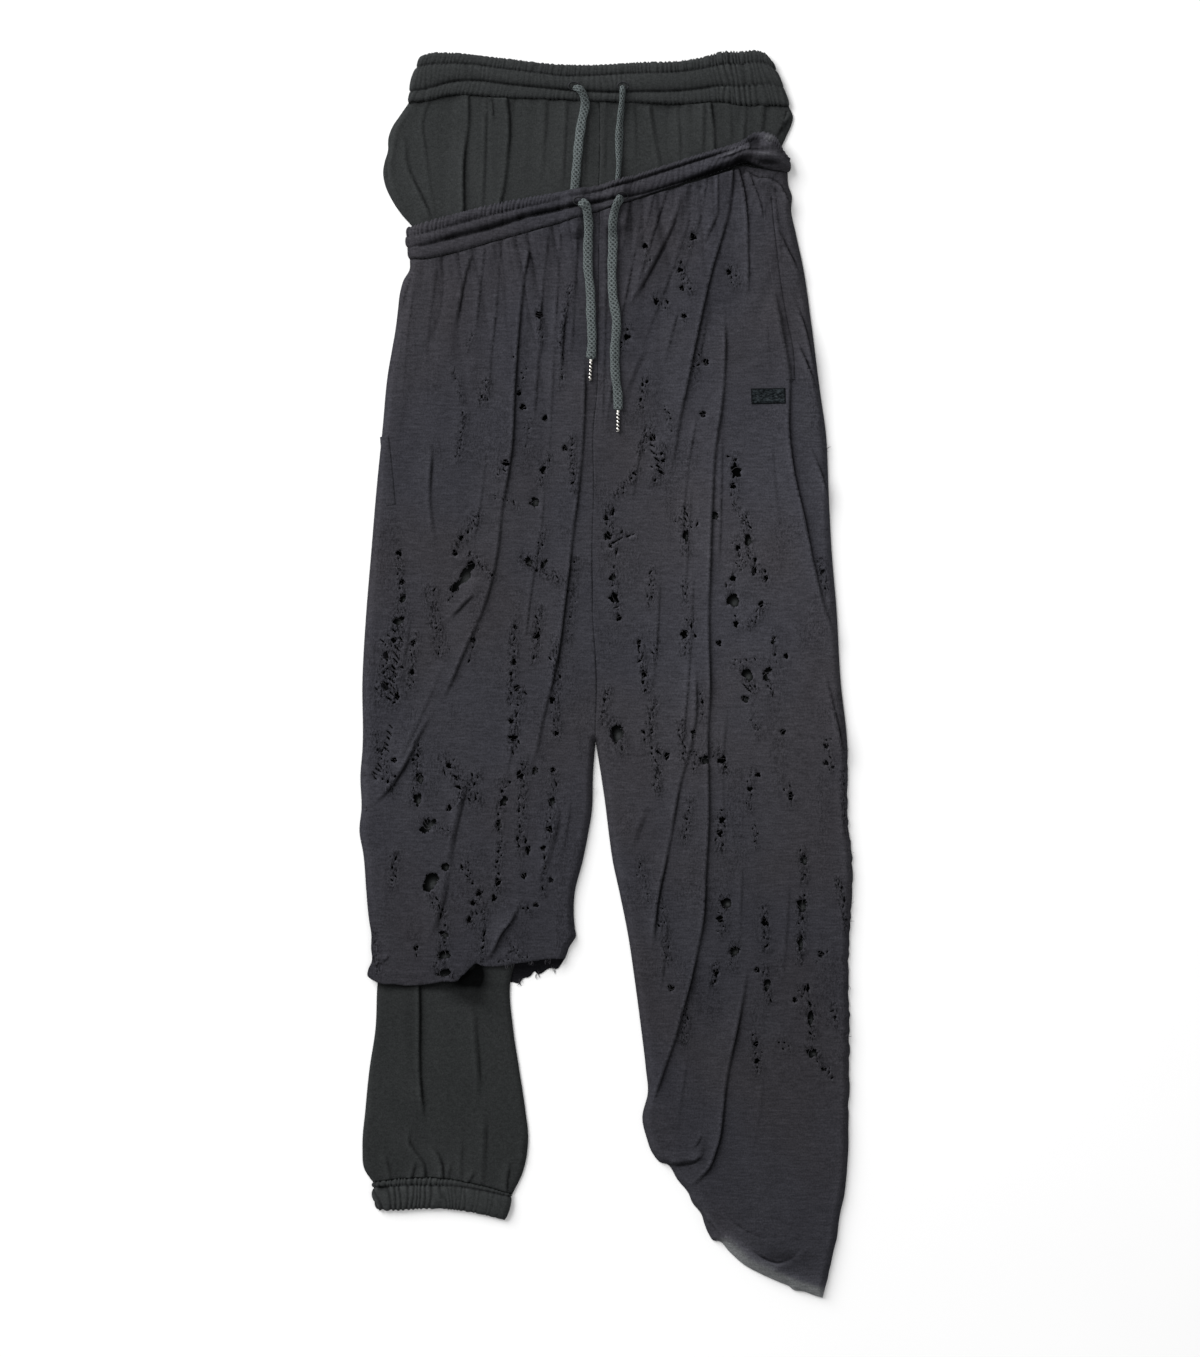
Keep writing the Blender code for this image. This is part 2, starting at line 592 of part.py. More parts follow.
def wall(name, corners, faces, low, high, look):
    """A solid between two heights over the same triangles."""
    used, index = np.unique(faces, return_inverse=True)
    faces = upward(corners[used], index.reshape(faces.shape))
    corners, low, high = corners[used], low[used], high[used]
    count = len(corners)
    ends = {(a, b) for face in faces for a, b in zip(face, np.roll(face, -1))}
    rim = [(a, b) for a, b in ends if (b, a) not in ends]
    solid = [tuple(face) for face in faces]
    solid += [tuple(face[::-1] + count) for face in faces]
    solid += [(b, a, a + count, b + count) for a, b in sorted(rim)]
    points = np.vstack([np.column_stack([corners, high]), np.column_stack([corners, low])])
    return mesh_object(name, points, solid, look)


def steepness(corners, faces, low):
    """How much taller than its thickness a wall stands where it slopes, at each corner."""
    steepest = 0.62
    points = np.column_stack([corners, low])
    a, b, c = (points[faces[:, i]] for i in range(3))
    normals = np.cross(b - a, c - a)
    normals *= np.sign(normals[:, 2:])
    total = np.zeros_like(points)
    for i in range(3):
        np.add.at(total, faces[:, i], normals)
    length = np.linalg.norm(total, axis=1)
    level = np.divide(total[:, 2], length, out=np.ones(len(points)), where=length > 0)
    return 1 / np.clip(level, steepest, 1)


def filling(outline, lines, step):
    """Points in rows that fill an outline, clear of its lines."""
    low, high = outline.min(axis=0), outline.max(axis=0)
    rows = np.arange(low[1], high[1], step * ROW_RISE)
    points = np.array([
        (x + step / 2 * (row % 2), y)
        for row, y in enumerate(rows)
        for x in np.arange(low[0], high[0] + step, step)
    ])
    points = points[inside(outline, points)]
    return thinned(points, np.vstack(lines), step * CLEAR_SHARE)


def thinned(points, others, clear):
    """The points that stay clear of some others."""
    if not len(points):
        return points
    gaps = np.linalg.norm(points[:, None] - others[None], axis=2).min(axis=1)
    return points[gaps > clear]


def rip_outline(rip):
    """A ragged hole: its corners lie on an uneven ellipse."""
    size = max(rip.width, rip.length)
    count = RIP_CORNERS[int(size >= SMALL_RIP) + int(size >= LARGE_RIP)]
    turn = rip.x * 0.7 + rip.y * 0.3
    angles = turn + np.arange(count) * 2 * np.pi / count
    wobble = 1 + RIP_WOBBLE * np.sin(3.1 * np.arange(count) + turn)
    shape = np.column_stack([np.cos(angles) * rip.width, np.sin(angles) * rip.length]) / 2
    return place(shape * wobble[:, None] + (rip.x, rip.y))


def fold_lines(folds, outline):
    """The lines that carry a fold's form: its crest, its foot and half-way down its long side."""
    lines = []
    for fold in folds:
        crest = fold_course(fold)
        lines.append(crest)
        lines.append(moved_aside(crest, fold.fall))
        if fold.rise > WIDE_FOLD:
            lines.append(moved_aside(crest, -0.5 * fold.rise))
    return [part for line in lines for part in clipped(line, outline)]


def clipped(line, outline):
    """The stretches of a line that lie well inside an outline."""
    closed = np.vstack([outline, outline[:1]])
    good = inside(outline, line) & (np.abs(beside(closed, line)[0]) > LINE_MARGIN)
    parts, run = [], []
    for point, is_good in zip(line, good):
        if is_good:
            run.append(point)
        elif run:
            parts.append(np.array(run))
            run = []
    if run:
        parts.append(np.array(run))
    return [part for part in parts if len(part) > 1]


class Panel:
    """A flat pattern piece: its outline, the edges that come down to the layer below, and its triangles."""

    def __init__(self, outline, closing, folds, step, insets=(), lines=(), rips=(), trims=()):
        self.outline = outline
        self.closing = closing
        self.folds = folds
        carried = fold_lines(folds, outline) + list(lines)
        holes = [rip_outline(rip) for rip in rips]
        rings = [(outline, True)] + [(hole, True) for hole in holes] + [(trim, True) for trim in trims]
        rings += [(line, False) for line in carried]
        taken = np.vstack([line for line, _ in rings])
        inner = np.vstack([taken[:0]] + [self.inset(distance) for distance in insets])
        inner = thinned(inner, taken, EDGE_ROUND * 0.8)
        fill = filling(outline, [taken, inner], step)
        self.corners, faces = triangles_within(outline, rings, np.vstack([inner, fill]))
        middles = self.corners[faces].mean(axis=1)
        torn = np.zeros(len(faces), bool)
        for hole in holes:
            torn |= inside(hole, middles)
        self.faces = faces[~torn]

    def inset(self, distance):
        """Points inside the closing edges, a distance from them."""
        points = []
        for edge in self.closing:
            for moved in (moved_aside(edge, distance), moved_aside(edge, -distance)):
                near = np.abs(self.from_edge(moved))
                points.append(moved[inside(self.outline, moved) & (near > 0.9 * distance)])
        return np.vstack(points)

    def from_edge(self, points):
        """Distance from the nearest closing edge."""
        return np.min([np.abs(beside(edge, points)[0]) for edge in self.closing], axis=0)


def joined(*lines):
    """Lines joined end to end, with shared ends kept once."""
    points = [lines[0][0]]
    for line in lines:
        for point in line:
            if np.linalg.norm(point - points[-1]) > SAME_POINT:
                points.append(point)
    if np.linalg.norm(points[0] - points[-1]) < SAME_POINT:
        points.pop()
    return np.array(points)


def side_edges(body, leg_r, leg_l):
    """Both outer side seams, the centre seam and both inner leg seams, each from the waist down."""
    right = [(s.right_x, s.right_y) for s in body] + [(s.photo_left_x, s.photo_left_y) for s in leg_r]
    left = [(s.left_x, s.left_y) for s in body] + [(s.photo_right_x, s.photo_right_y) for s in leg_l]
    centre = [(s.centre_x, s.centre_y) for s in body]
    inner_r = centre[-1:] + [(s.photo_right_x, s.photo_right_y) for s in leg_r]
    inner_l = centre[-1:] + [(s.photo_left_x, s.photo_left_y) for s in leg_l]
    return [smooth_line(place(line), EDGE_STEP) for line in (right, left, centre, inner_r, inner_l)]


def split_at(line, x):
    """A line that runs to the photograph's right, in two at x."""
    cut = int(np.argmin(np.abs(line[:, 0] - x)))
    return line[: cut + 1], line[cut:]


HALF_SEAM = np.array([GAP / 2, 0])
BELOW_SEAM = np.array([0, -GAP])


def half_outline(seam_half, centre, inner, outer, hem, towards):
    """One side's outline, from its waist seam. towards is the direction of the centre seam."""
    seam = seam_half + BELOW_SEAM
    middle = np.vstack([centre[1:], inner[1:]]) - towards * HALF_SEAM
    seam_inner = seam + 0.0
    if towards > 0:
        seam_inner[-1] -= HALF_SEAM
        return joined(seam_inner, middle, hem[::-1], outer[::-1][:-1])
    seam_inner[0] += HALF_SEAM
    return joined(seam_inner, outer[1:], hem[::-1], middle[::-1])


# ---------------------------------------------------------------- bands


def band_wall(name, stations, channels, count, floor, thickness, puff, look):
    """A gathered band: plain below, with stitched channels and uneven gathers raised on top.

    floor gives its underside at some points.
    """
    shares, top, bottom = band_columns(stations, count)
    lifts = station_lifts(stations, shares)
    crest = gather_crests(len(shares))
    rounded = ease(np.minimum(shares, 1 - shares) * len(shares) / END_COLUMNS)
    rows_high, rows_low = [], []
    for v, crown in channels:
        spots = top + v * (bottom - top)
        low = floor(spots)
        puffed = puff * crown * mixed(END_PUFF, rounded)
        gathered = GATHER_DEPTH * crest * mixed(STITCHED_GATHERS, crown)
        dipped = 1 - ROLL_DIP * (1 - np.cos(ROLL_WAVE * v))
        rolled = lifts * dipped * np.clip(ROLL_BREADTH * v * (1 - v), 0, 1)
        high = low + thickness * mixed(STITCHED_THICKNESS, crown) + (puffed + gathered) * rounded + rolled
        rows_high.append(np.column_stack([spots, high]))
        if v in (0, 1):
            rows_low.append(np.column_stack([spots, low]))
    return grid_solid(name, np.array(rows_high), np.array(rows_low), look)


def gather_crests(columns):
    """How high each column of a band stands: every second one is a gather, and no two are alike."""
    index = np.arange(columns)
    crest = 0.55 + 0.45 * uneven(index, 1.7) * np.cos(0.61 * index)
    return np.where(index % 2, 1 + 0.5 * crest, HOLLOW * crest)


def band_columns(stations, count):
    """A band's columns, two for each gather: their shares of its length and their upper and lower ends."""
    columns = 2 * count + 1
    shares = np.linspace(0, 1, columns)
    shares[1:-1] += GATHER_STRAY / columns * uneven(np.arange(1, columns - 1), 2.3)
    top = band_points([(s.top_x, s.top_y) for s in stations], shares)
    bottom = band_points([(s.bottom_x, s.bottom_y) for s in stations], shares)
    return shares, top, bottom


def band_points(points, shares):
    """Points at even shares of a band's edge."""
    line = smooth_line(place(points), EDGE_STEP / 3)
    run = np.concatenate([[0], np.cumsum(np.linalg.norm(np.diff(line, axis=0), axis=1))])
    return np.column_stack([np.interp(shares * run[-1], run, line[:, axis]) for axis in (0, 1)])


def station_lifts(stations, shares):
    """Each column's roll height, read between the stations."""
    middles = place([((s.top_x + s.bottom_x) / 2, (s.top_y + s.bottom_y) / 2) for s in stations])
    run = np.concatenate([[0], np.cumsum(np.linalg.norm(np.diff(middles, axis=0), axis=1))])
    return np.interp(shares, run / run[-1], [s.lift for s in stations])


def grid_solid(name, high, low, look):
    """A closed solid from a top of several rows and a bottom of two, over the same columns."""
    rows, columns = high.shape[:2]
    points = np.vstack([high.reshape(-1, 3), low.reshape(-1, 3)])
    base = rows * columns

    def top(row, column):
        return row * columns + column

    def under(row, column):
        return base + row * columns + column

    last = rows - 1
    end = columns - 1
    faces = []
    for i in range(end):
        for row in range(last):
            faces.append((top(row, i), top(row + 1, i), top(row + 1, i + 1), top(row, i + 1)))
        faces.append((under(0, i), under(0, i + 1), under(1, i + 1), under(1, i)))
        faces.append((top(0, i), top(0, i + 1), under(0, i + 1), under(0, i)))
        faces.append((top(last, i + 1), top(last, i), under(1, i), under(1, i + 1)))
    faces.append((*[top(row, 0) for row in range(rows)][::-1], under(0, 0), under(1, 0)))
    faces.append((*[top(row, end) for row in range(rows)], under(1, end), under(0, end)))
    return mesh_object(name, points, faces, look)


# ---------------------------------------------------------------- the pieces


def open_hem(points):
    """How far the outer right leg stands open round the inner one: 0 up the leg, 1 at its hem."""
    start, end, middle = place([(0, HEM_OPENS_FROM), (0, HEM_OPEN), (HEM_OPEN_TO, 0)])
    down = (start[1] - points[:, 1]) / (start[1] - end[1])
    across = (middle[0] - points[:, 0]) / HEM_OPEN_FADE
    return ease(down) * ease(across)


def outer_rest(away, points):
    """The outer front's underside before its folds: on the inner pair, and down to the back at its sides."""
    closed = np.sin(np.pi / 2 * np.clip(away / EDGE_RAMP, 0, 1))
    full = np.maximum(closed, open_hem(points))
    return CLOSED_EDGE + (OUTER_REST - CLOSED_EDGE) * full + cord_ridge(points)


def over_front(name, panel, trims, look):
    """An outer front, and what is sewn on it, made from its own points moved out."""
    away = panel.from_edge(panel.corners)
    low = outer_rest(away, panel.corners)
    low += fold_heights(panel.folds, panel.corners) * ease(away / FOLD_FADE)
    high = low + JERSEY * steepness(panel.corners, panel.faces, low)
    front = wall(name, panel.corners, panel.faces, low, high, look)
    middles = panel.corners[panel.faces].mean(axis=1)
    for trim_name, outline in trims:
        mine = panel.faces[inside(outline, middles)]
        wall(trim_name, panel.corners, mine, high + TRIM_GAP, high + TRIM_GAP + TRIM, TRIM_LOOK)
    return front


def under_layer(name, panel, base, folds, look):
    """An inner front or back: on the surface where it shows, and on the outer back inside the outer pair."""
    climb = climbed(panel.corners)
    inward = ease(panel.from_edge(panel.corners) / EDGE_ROUND)
    low = base + INNER_LIFT * climb + (SLACK * 4 * climb * (1 - climb) if base else 0)
    low += fold_heights(folds, panel.corners) * inward * (1 - climb)
    return wall(name, panel.corners, panel.faces, low, low + FLEECE * mixed(STITCHED_THICKNESS, inward), look)


def flat_panel(name, outline, thickness, look):
    """A plain back, flat on the surface."""
    fill = filling(outline, [outline], HIDDEN_STEP)
    corners, faces = triangles_within(outline, [(outline, True)], fill)
    level = np.zeros(len(corners))
    return wall(name, corners, faces, level, level + thickness, look)


def strip_outline(course, width):
    """A narrow strip along a course."""
    line = smooth_line(place(course), EDGE_STEP)
    return np.vstack([moved_aside(line, width / 2), moved_aside(line, -width / 2)[::-1]])


def make_under():
    right, left, centre, inner_r, inner_l = side_edges(UNDER_BODY, UNDER_LEG_R, UNDER_LEG_L)
    seam_r, seam_l = split_at(UNDER_SEAM, centre[0, 0])
    cuff_r = band_columns(CUFF_R, CUFF_GATHERS)[1] - BELOW_SEAM
    cuff_l = band_edge(CUFF_L, "top") - BELOW_SEAM
    outlines = {
        "R": half_outline(seam_r, centre, inner_r, right, cuff_r, 1),
        "L": half_outline(seam_l, centre, inner_l, left, cuff_l, -1),
    }
    closing = {"R": [right, inner_r], "L": [left, inner_l]}
    folds = {
        "R": UNDER_FOLDS_R + gathers(seam_r, GATHERS, UNDER_GATHER_LENGTHS),
        "L": UNDER_FOLDS_L + gathers(seam_l, GATHERS, UNDER_GATHER_LENGTHS),
    }
    gates = [moved_aside(OVER_TOP, CLIMB_END), moved_aside(OVER_TOP, CLIMB_START)]
    hem_gates = [moved_aside(BACK_HEM_R, -CLIMB_END), moved_aside(BACK_HEM_R, -CLIMB_START)]
    for side in ("R", "L"):
        lines = gates + hem_gates if side == "R" else gates
        front = Panel(outlines[side], closing[side], folds[side], HIDDEN_STEP, [EDGE_ROUND], lines)
        back = Panel(outlines[side], closing[side], (), HIDDEN_STEP, lines=lines)
        under_layer(f"under_front_{side}", front, FLEECE + GAP, folds[side], FLEECE_LOOK)
        under_layer(f"under_back_{side}", back, 0.0, (), FLEECE_LOOK)


def make_over():
    right, left, centre, inner_r, inner_l = side_edges(OVER_BODY, OVER_LEG_R, OVER_LEG_L)
    seam_r, seam_l = split_at(OVER_SEAM, centre[0, 0])
    hem_r = smooth_line(place(OVER_HEM_R), EDGE_STEP)
    hem_l = smooth_line(place(OVER_HEM_L), EDGE_STEP)
    outline_r = half_outline(seam_r, centre, inner_r, right, hem_r, 1)
    outline_l = half_outline(seam_l, centre, inner_l, left, hem_l, -1)
    pocket_r = strip_outline(POCKET_R, POCKET_WIDTH)
    pocket_l = strip_outline(POCKET_L, POCKET_WIDTH)
    patch = place(PATCH)
    folds_r = OVER_FOLDS_R + gathers(seam_r, GATHERS, GATHER_LENGTHS)
    folds_l = OVER_FOLDS_L + gathers(seam_l, GATHERS, GATHER_LENGTHS)
    insets = [EDGE_ROUND, EDGE_RAMP]
    ridge_r, ridge_l = ridge_lines(UNDER_CORD_R), ridge_lines(UNDER_CORD_L)
    panel_r = Panel(outline_r, [right, inner_r], folds_r, FILL_STEP, insets, ridge_r, RIPS_R, [pocket_r])
    panel_l = Panel(
        outline_l, [left, inner_l, hem_l], folds_l, FILL_STEP, insets, ridge_l, RIPS_L, [pocket_l, patch]
    )
    over_front("over_front_R", panel_r, [("over_pocket_R", pocket_r)], JERSEY_LOOK)
    over_front("over_front_L", panel_l, [("over_pocket_L", pocket_l), ("over_patch", patch)], JERSEY_LOOK)
    back_r = half_outline(seam_r, centre, inner_r, right, BACK_HEM_R, 1)
    flat_panel("over_back_R", back_r, JERSEY, JERSEY_LOOK)
    flat_panel("over_back_L", outline_l, JERSEY, JERSEY_LOOK)


def band_outline(stations):
    return joined(band_edge(stations, "top"), band_edge(stations, "bottom")[::-1])


def make_bands():
    def on_surface(spots):
        return np.full(len(spots), BAND + GAP)

    def on_inner_pair(spots):
        away = np.min([np.abs(beside(end, spots)[0]) for end in OVER_BAND_ENDS], axis=0)
        rise = np.sin(np.pi / 2 * np.clip(away / EDGE_RAMP, 0, 1))
        return BACK_BAND + GAP + (OUTER_REST - BACK_BAND - GAP) * rise + cord_ridge(spots)

    def on_cuff_back(spots):
        return np.full(len(spots), CUFF_BACK + GAP)

    band_wall("under_band_front", UNDER_BAND, UNDER_CHANNELS, UNDER_BAND_GATHERS, on_surface, BAND,
              BAND_PUFF, FLEECE_LOOK)
    flat_panel("under_band_back", band_outline(UNDER_BAND), BAND, FLEECE_LOOK)
    band_wall("over_band_front", OVER_BAND, OVER_CHANNELS, OVER_BAND_GATHERS, on_inner_pair, BAND,
              BAND_PUFF, JERSEY_LOOK)
    flat_panel("over_band_back", band_outline(OVER_BAND), BACK_BAND, JERSEY_LOOK)
    band_wall("under_cuff_front_R", CUFF_R, CUFF_CHANNELS, CUFF_GATHERS, on_cuff_back, CUFF, CUFF_PUFF,
              FLEECE_LOOK)
    flat_panel("under_cuff_back_R", band_outline(CUFF_R), CUFF_BACK, FLEECE_LOOK)
    hidden = band_outline(CUFF_L)
    for name, base in (("under_cuff_back_L", INNER_LIFT), ("under_cuff_front_L", INNER_LIFT + FLEECE + GAP)):
        fill = filling(hidden, [hidden], HIDDEN_STEP)
        corners, faces = triangles_within(hidden, [(hidden, True)], fill)
        level = np.full(len(corners), base)
        wall(name, corners, faces, level, level + FLEECE, FLEECE_LOOK)


# ---------------------------------------------------------------- drawcords


class Ground:
    """The cloth that a cord lies on."""

    def __init__(self, names):
        self.trees = []
        for name in names:
            mesh = bpy.data.objects[name].data
            points = [vertex.co.copy() for vertex in mesh.vertices]
            self.trees.append(BVHTree.FromPolygons(points, [tuple(face.vertices) for face in mesh.polygons]))

    def height(self, x, y, reach):
        """The highest cloth within reach of a point."""
        found = 0.0
        for turn in np.arange(8) * np.pi / 4:
            for share in (0.0, 0.5, 1.0):
                spot = Vector((x + share * reach * np.cos(turn), y + share * reach * np.sin(turn), ABOVE_ALL))
                for tree in self.trees:
                    hit = tree.ray_cast(spot, Vector((0, 0, -1)))[0]
                    if hit is not None:
                        found = max(found, hit.z)
        return found


def lying(course, ground, radius):
    """A course laid on the cloth: its points in space, clear of the cloth by the gap."""
    line = smooth_line(place(course), CORD_STEP)
    heights = np.array([ground.height(x, y, CORD_REACH * radius) for x, y in line])
    near = np.array([heights[max(0, i - 1): i + 2].max() for i in range(len(heights))])
    return np.column_stack([line, near + radius + 2 * GAP])


def tube(name, points, radius, look):
    curve = bpy.data.curves.new(name, "CURVE")
    curve.dimensions = "3D"
    curve.bevel_depth = radius
    curve.bevel_resolution = 2
    curve.use_fill_caps = True
    spline = curve.splines.new("POLY")
    spline.points.add(len(points) - 1)
    for spot, point in zip(spline.points, points):
        spot.co = (*point, 1)
    curve.materials.append(material(name, look))
    bpy.context.collection.objects.link(bpy.data.objects.new(name, curve))


def make_cord(name, course, ground):
    """A drawcord and the metal tip on its end."""
    radius = CORD / 2
    points = lying(course, ground, radius)
    tube(f"{name[0]}_cord_{name[1]}", points, radius, CORD_LOOK)
    way = points[-1, :2] - points[-2, :2]
    way /= np.linalg.norm(way)
    ends = [points[-1, :2] + way * distance for distance in (GAP, GAP + TIP_LENGTH)]
    level = max(ground.height(*spot, TIP / 2) for spot in (ends[0], sum(ends) / 2, ends[1]))
    level = max(level + TIP / 2 + GAP, points[-1, 2] - radius + TIP / 2)
    tube(f"{name[0]}_tip_{name[1]}", [(*spot, level) for spot in ends], TIP / 2, METAL_LOOK)


def make_cords():
    inner = Ground(("under_band_front", "under_front_R", "under_front_L"))
    outer = Ground(("over_band_front", "over_front_R", "over_front_L"))
    make_cord(("under", "R"), UNDER_CORD_R, inner)
    make_cord(("under", "L"), UNDER_CORD_L, inner)
    make_cord(("over", "R"), OVER_CORD_R, outer)
    make_cord(("over", "L"), OVER_CORD_L, outer)


def main():
    for old in list(bpy.data.objects):
        bpy.data.objects.remove(old, do_unlink=True)
    make_under()
    make_over()
    make_bands()
    make_cords()


main()
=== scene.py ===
"""Looks for the layered joggers: fleece joggers inside a longer, ripped jersey pair, laid out flat.

Every piece of cloth is a thin shell on the form of its solid in the frame. Places come from the
photograph, in its pixels, and are the same as the part's own; lengths off the surface are in metres.
R and L are the wearer's sides, so R is at the photograph's left.
"""

from collections import namedtuple

import bpy
import numpy as np
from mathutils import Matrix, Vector
from mathutils.bvhtree import BVHTree
from mathutils.geometry import delaunay_2d_cdt
from mathutils.kdtree import KDTree

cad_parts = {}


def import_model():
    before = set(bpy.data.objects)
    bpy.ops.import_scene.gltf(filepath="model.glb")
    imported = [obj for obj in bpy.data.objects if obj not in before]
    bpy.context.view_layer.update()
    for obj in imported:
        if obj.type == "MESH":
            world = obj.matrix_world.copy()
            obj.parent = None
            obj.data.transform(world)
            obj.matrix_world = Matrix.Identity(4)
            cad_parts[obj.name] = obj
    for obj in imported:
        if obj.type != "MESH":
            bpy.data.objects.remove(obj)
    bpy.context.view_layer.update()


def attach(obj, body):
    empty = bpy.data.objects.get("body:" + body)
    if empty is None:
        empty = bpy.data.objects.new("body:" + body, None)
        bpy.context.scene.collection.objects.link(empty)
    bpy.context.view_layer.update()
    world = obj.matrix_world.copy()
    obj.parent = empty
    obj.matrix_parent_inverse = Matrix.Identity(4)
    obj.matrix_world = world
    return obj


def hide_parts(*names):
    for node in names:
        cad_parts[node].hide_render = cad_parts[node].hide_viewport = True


# The size: the inner pair's side length, waist to ankle, and how many pixels it spans.
OUTSEAM = 1.08
OUTSEAM_PIXELS = 1166
PIXEL = OUTSEAM / OUTSEAM_PIXELS
PICTURE_CENTRE = (606.0, 674.5)
PICTURE_MIDDLE = (600.0, 678.5)
PICTURE_HEIGHT = 1357

# The cloth, and how the layers lie on each other.
JERSEY = 0.0012
FLEECE = 0.0020
BAND = 0.0030
BACK_BAND = 0.0020
GAP = 0.0003
INNER_LIFT = BACK_BAND + GAP
OUTER_REST = INNER_LIFT + FLEECE + GAP + FLEECE + GAP
# A closed side falls to its edge over a ramp in the outer pair, and rounds more tightly in the inner one.
EDGE_RAMP = 0.013
EDGE_ROUND = 0.005
# The inner pair is pressed flatter where the outer one covers it, and its back lies on the outer back.
PRESSED = 0.0032
COVERED_BACK = 0.0016

# How a closed side of the outer front rounds, how low its edge lies, and the painted light along it.
SIDE_ROUND = 0.0070
SIDE_EDGE = 0.0008
SIDE_LIGHT = 0.50
SIDE_REACH = 0.013
# How far in from its sides the inner pair is covered by the outer one, how dark the painted shade makes
# it there, and how dark it is down the leg, from this row over this length.
COVER_REACH = 0.016
COVERED_DARK = 4.0
LEG_DARK = 0.42
LEG_DARK_FROM = 860
LEG_DARK_FADE = 0.08

# How fine the shells are: where they show, where they don't, and along outlines and rips.
CLOTH_STEP = 0.0017
HIDDEN_STEP = 0.0075
BACK_STEP = 0.0042
OUTLINE_STEP = 0.0022
RIP_STEP = 0.0010
JITTER = 0.16
ROW_RISE = 0.866
FOLD_STEP = 0.006

Body = namedtuple("Body", "right_x right_y centre_x centre_y left_x left_y")
Leg = namedtuple("Leg", "photo_left_x photo_left_y photo_right_x photo_right_y")
BandStation = namedtuple("BandStation", "top_x top_y bottom_x bottom_y lift")
Fold = namedtuple("Fold", "height rise fall route")
Rip = namedtuple("Rip", "x y width length")


def rows_of(kind, *values):
    """A table's rows, each with its named columns."""
    return tuple(kind(*row) for row in values)


# The outer pair: a section for each level, from the waist seam down to the crotch.
OVER_BODY = rows_of(
    Body,
    (409.5, 259, 600, 211.5, 788, 172), (409.5, 268, 599.8, 222, 788.6, 184),
    (403, 280, 599.5, 235, 792.3, 196), (399.5, 293, 599.2, 250, 791.5, 208),
    (397.5, 310, 599, 275, 796, 232), (395, 330, 598.5, 300, 803, 264), (391.5, 350, 598, 340, 812, 325),
    (388, 370, 597, 395, 821, 395), (382, 430, 593.5, 430, 826, 430), (376, 490, 594, 490, 829, 490),
    (371, 550, 592, 550, 832, 550), (366, 610, 592.6, 610, 837, 610), (362, 680, 596, 680, 841, 680),
    (362, 750, 595.5, 741, 848, 750),
)
OVER_LEG_R = rows_of(
    Leg,
    (360, 775, 593, 775), (361, 810, 592, 810), (359, 830, 588, 835), (363, 855, 583, 860),
    (366, 890, 574.5, 895), (369, 920, 574, 920), (371.3, 935, 575, 930), (371, 948, 576, 936.5),
    (371.8, 961, 572.5, 942.5), (368, 970, 569, 948), (367.5, 976, 567, 954), (371.5, 979.5, 565, 959),
)
OVER_LEG_L = rows_of(
    Leg,
    (601, 775, 848, 775), (606, 810, 848, 810), (609, 835, 850, 835), (612.5, 860, 853, 865),
    (620, 895, 852, 900), (628, 935, 850, 935), (634, 975, 849, 985), (640, 1020, 850, 1025),
    (646, 1070, 850, 1070), (648, 1092, 849, 1100), (642.4, 1120, 848.6, 1120), (646.5, 1138, 848.9, 1146),
    (653, 1154.7, 847.8, 1165), (661.4, 1163.6, 846.4, 1182.8), (666, 1164.5, 844, 1200),
    (678, 1181, 841.5, 1210), (688.7, 1194.3, 839.8, 1219), (692, 1202.6, 838.5, 1229),
    (701.9, 1215.8, 837.3, 1239), (704.3, 1224, 835.5, 1246), (709.3, 1235.7, 834, 1252),
    (713.4, 1241.4, 832.5, 1259), (719.2, 1242, 831, 1266), (729, 1252, 829.5, 1272),
    (744, 1265.4, 828.3, 1278.6), (762.2, 1275.3, 825.5, 1289), (778.7, 1282.7, 823, 1298.8),
)
OVER_HEM_R = ((371.5, 979.5), (376.2, 982), (395.8, 984.5), (413.8, 985.7), (428, 984.5), (443.2, 981.7),
              (457.9, 980.4), (462.8, 975.5), (469.3, 969), (475.9, 963.5), (482.4, 965.2), (498.7, 965.7),
              (518.3, 963.3), (538, 960), (565, 959))
# Where the short leg's hem stands open round the inner leg: from and to these rows, left of this column.
HEM_OPENS_FROM = 860
HEM_OPEN = 925
HEM_OPEN_TO = 455
HEM_OPEN_FADE = 0.03
OVER_HEM_L = ((778.7, 1282.7), (791, 1288.5), (792.7, 1290.2), (805, 1292.7), (813.4, 1296), (823, 1298.8))
OVER_BACK_HEM_R = ((373, 978), (440, 977), (505, 980), (512.6, 983.7), (515.9, 985), (523.2, 980.4),
                   (531.4, 975.5), (534.7, 971.5), (538, 974.7), (541.2, 974.7), (547.7, 970.6), (556, 969),
                   (565, 959))

# The inner pair, most of which the outer one hides.
UNDER_BODY = rows_of(
    Body,
    (408, 102.5, 600, 100.8, 789.5, 106), (400, 114, 600, 112, 793.3, 116.5),
    (391.5, 127, 600, 124, 791.5, 124.5), (388, 137, 600, 136, 787, 134.5),
    (387.5, 150, 600, 150, 783, 143.5), (384, 162, 599.5, 170, 778, 155), (382.7, 171, 599, 190, 773, 165),
    (385, 185, 598.5, 215, 769, 180), (391.5, 199, 598, 245, 768, 205), (400, 212, 598, 275, 768, 235),
    (411, 224.5, 598, 305, 769, 262), (423, 238, 598, 340, 774, 295), (424, 262, 597, 400, 780, 330),
    (418, 330, 597, 480, 791, 420), (400, 500, 597, 560, 802, 520), (390, 600, 597, 620, 809, 620),
    (384, 690, 597, 690, 815, 690),
)
UNDER_LEG_R = rows_of(
    Leg,
    (380, 770, 572, 750), (380, 850, 553, 850), (384, 930, 527, 930), (377, 985, 510, 985),
    (375, 1030, 513, 1030), (369, 1070, 519, 1070), (365, 1110, 525, 1110), (362, 1148, 528, 1140),
    (364, 1170, 523, 1172), (372, 1182.5, 512, 1195.5),
)
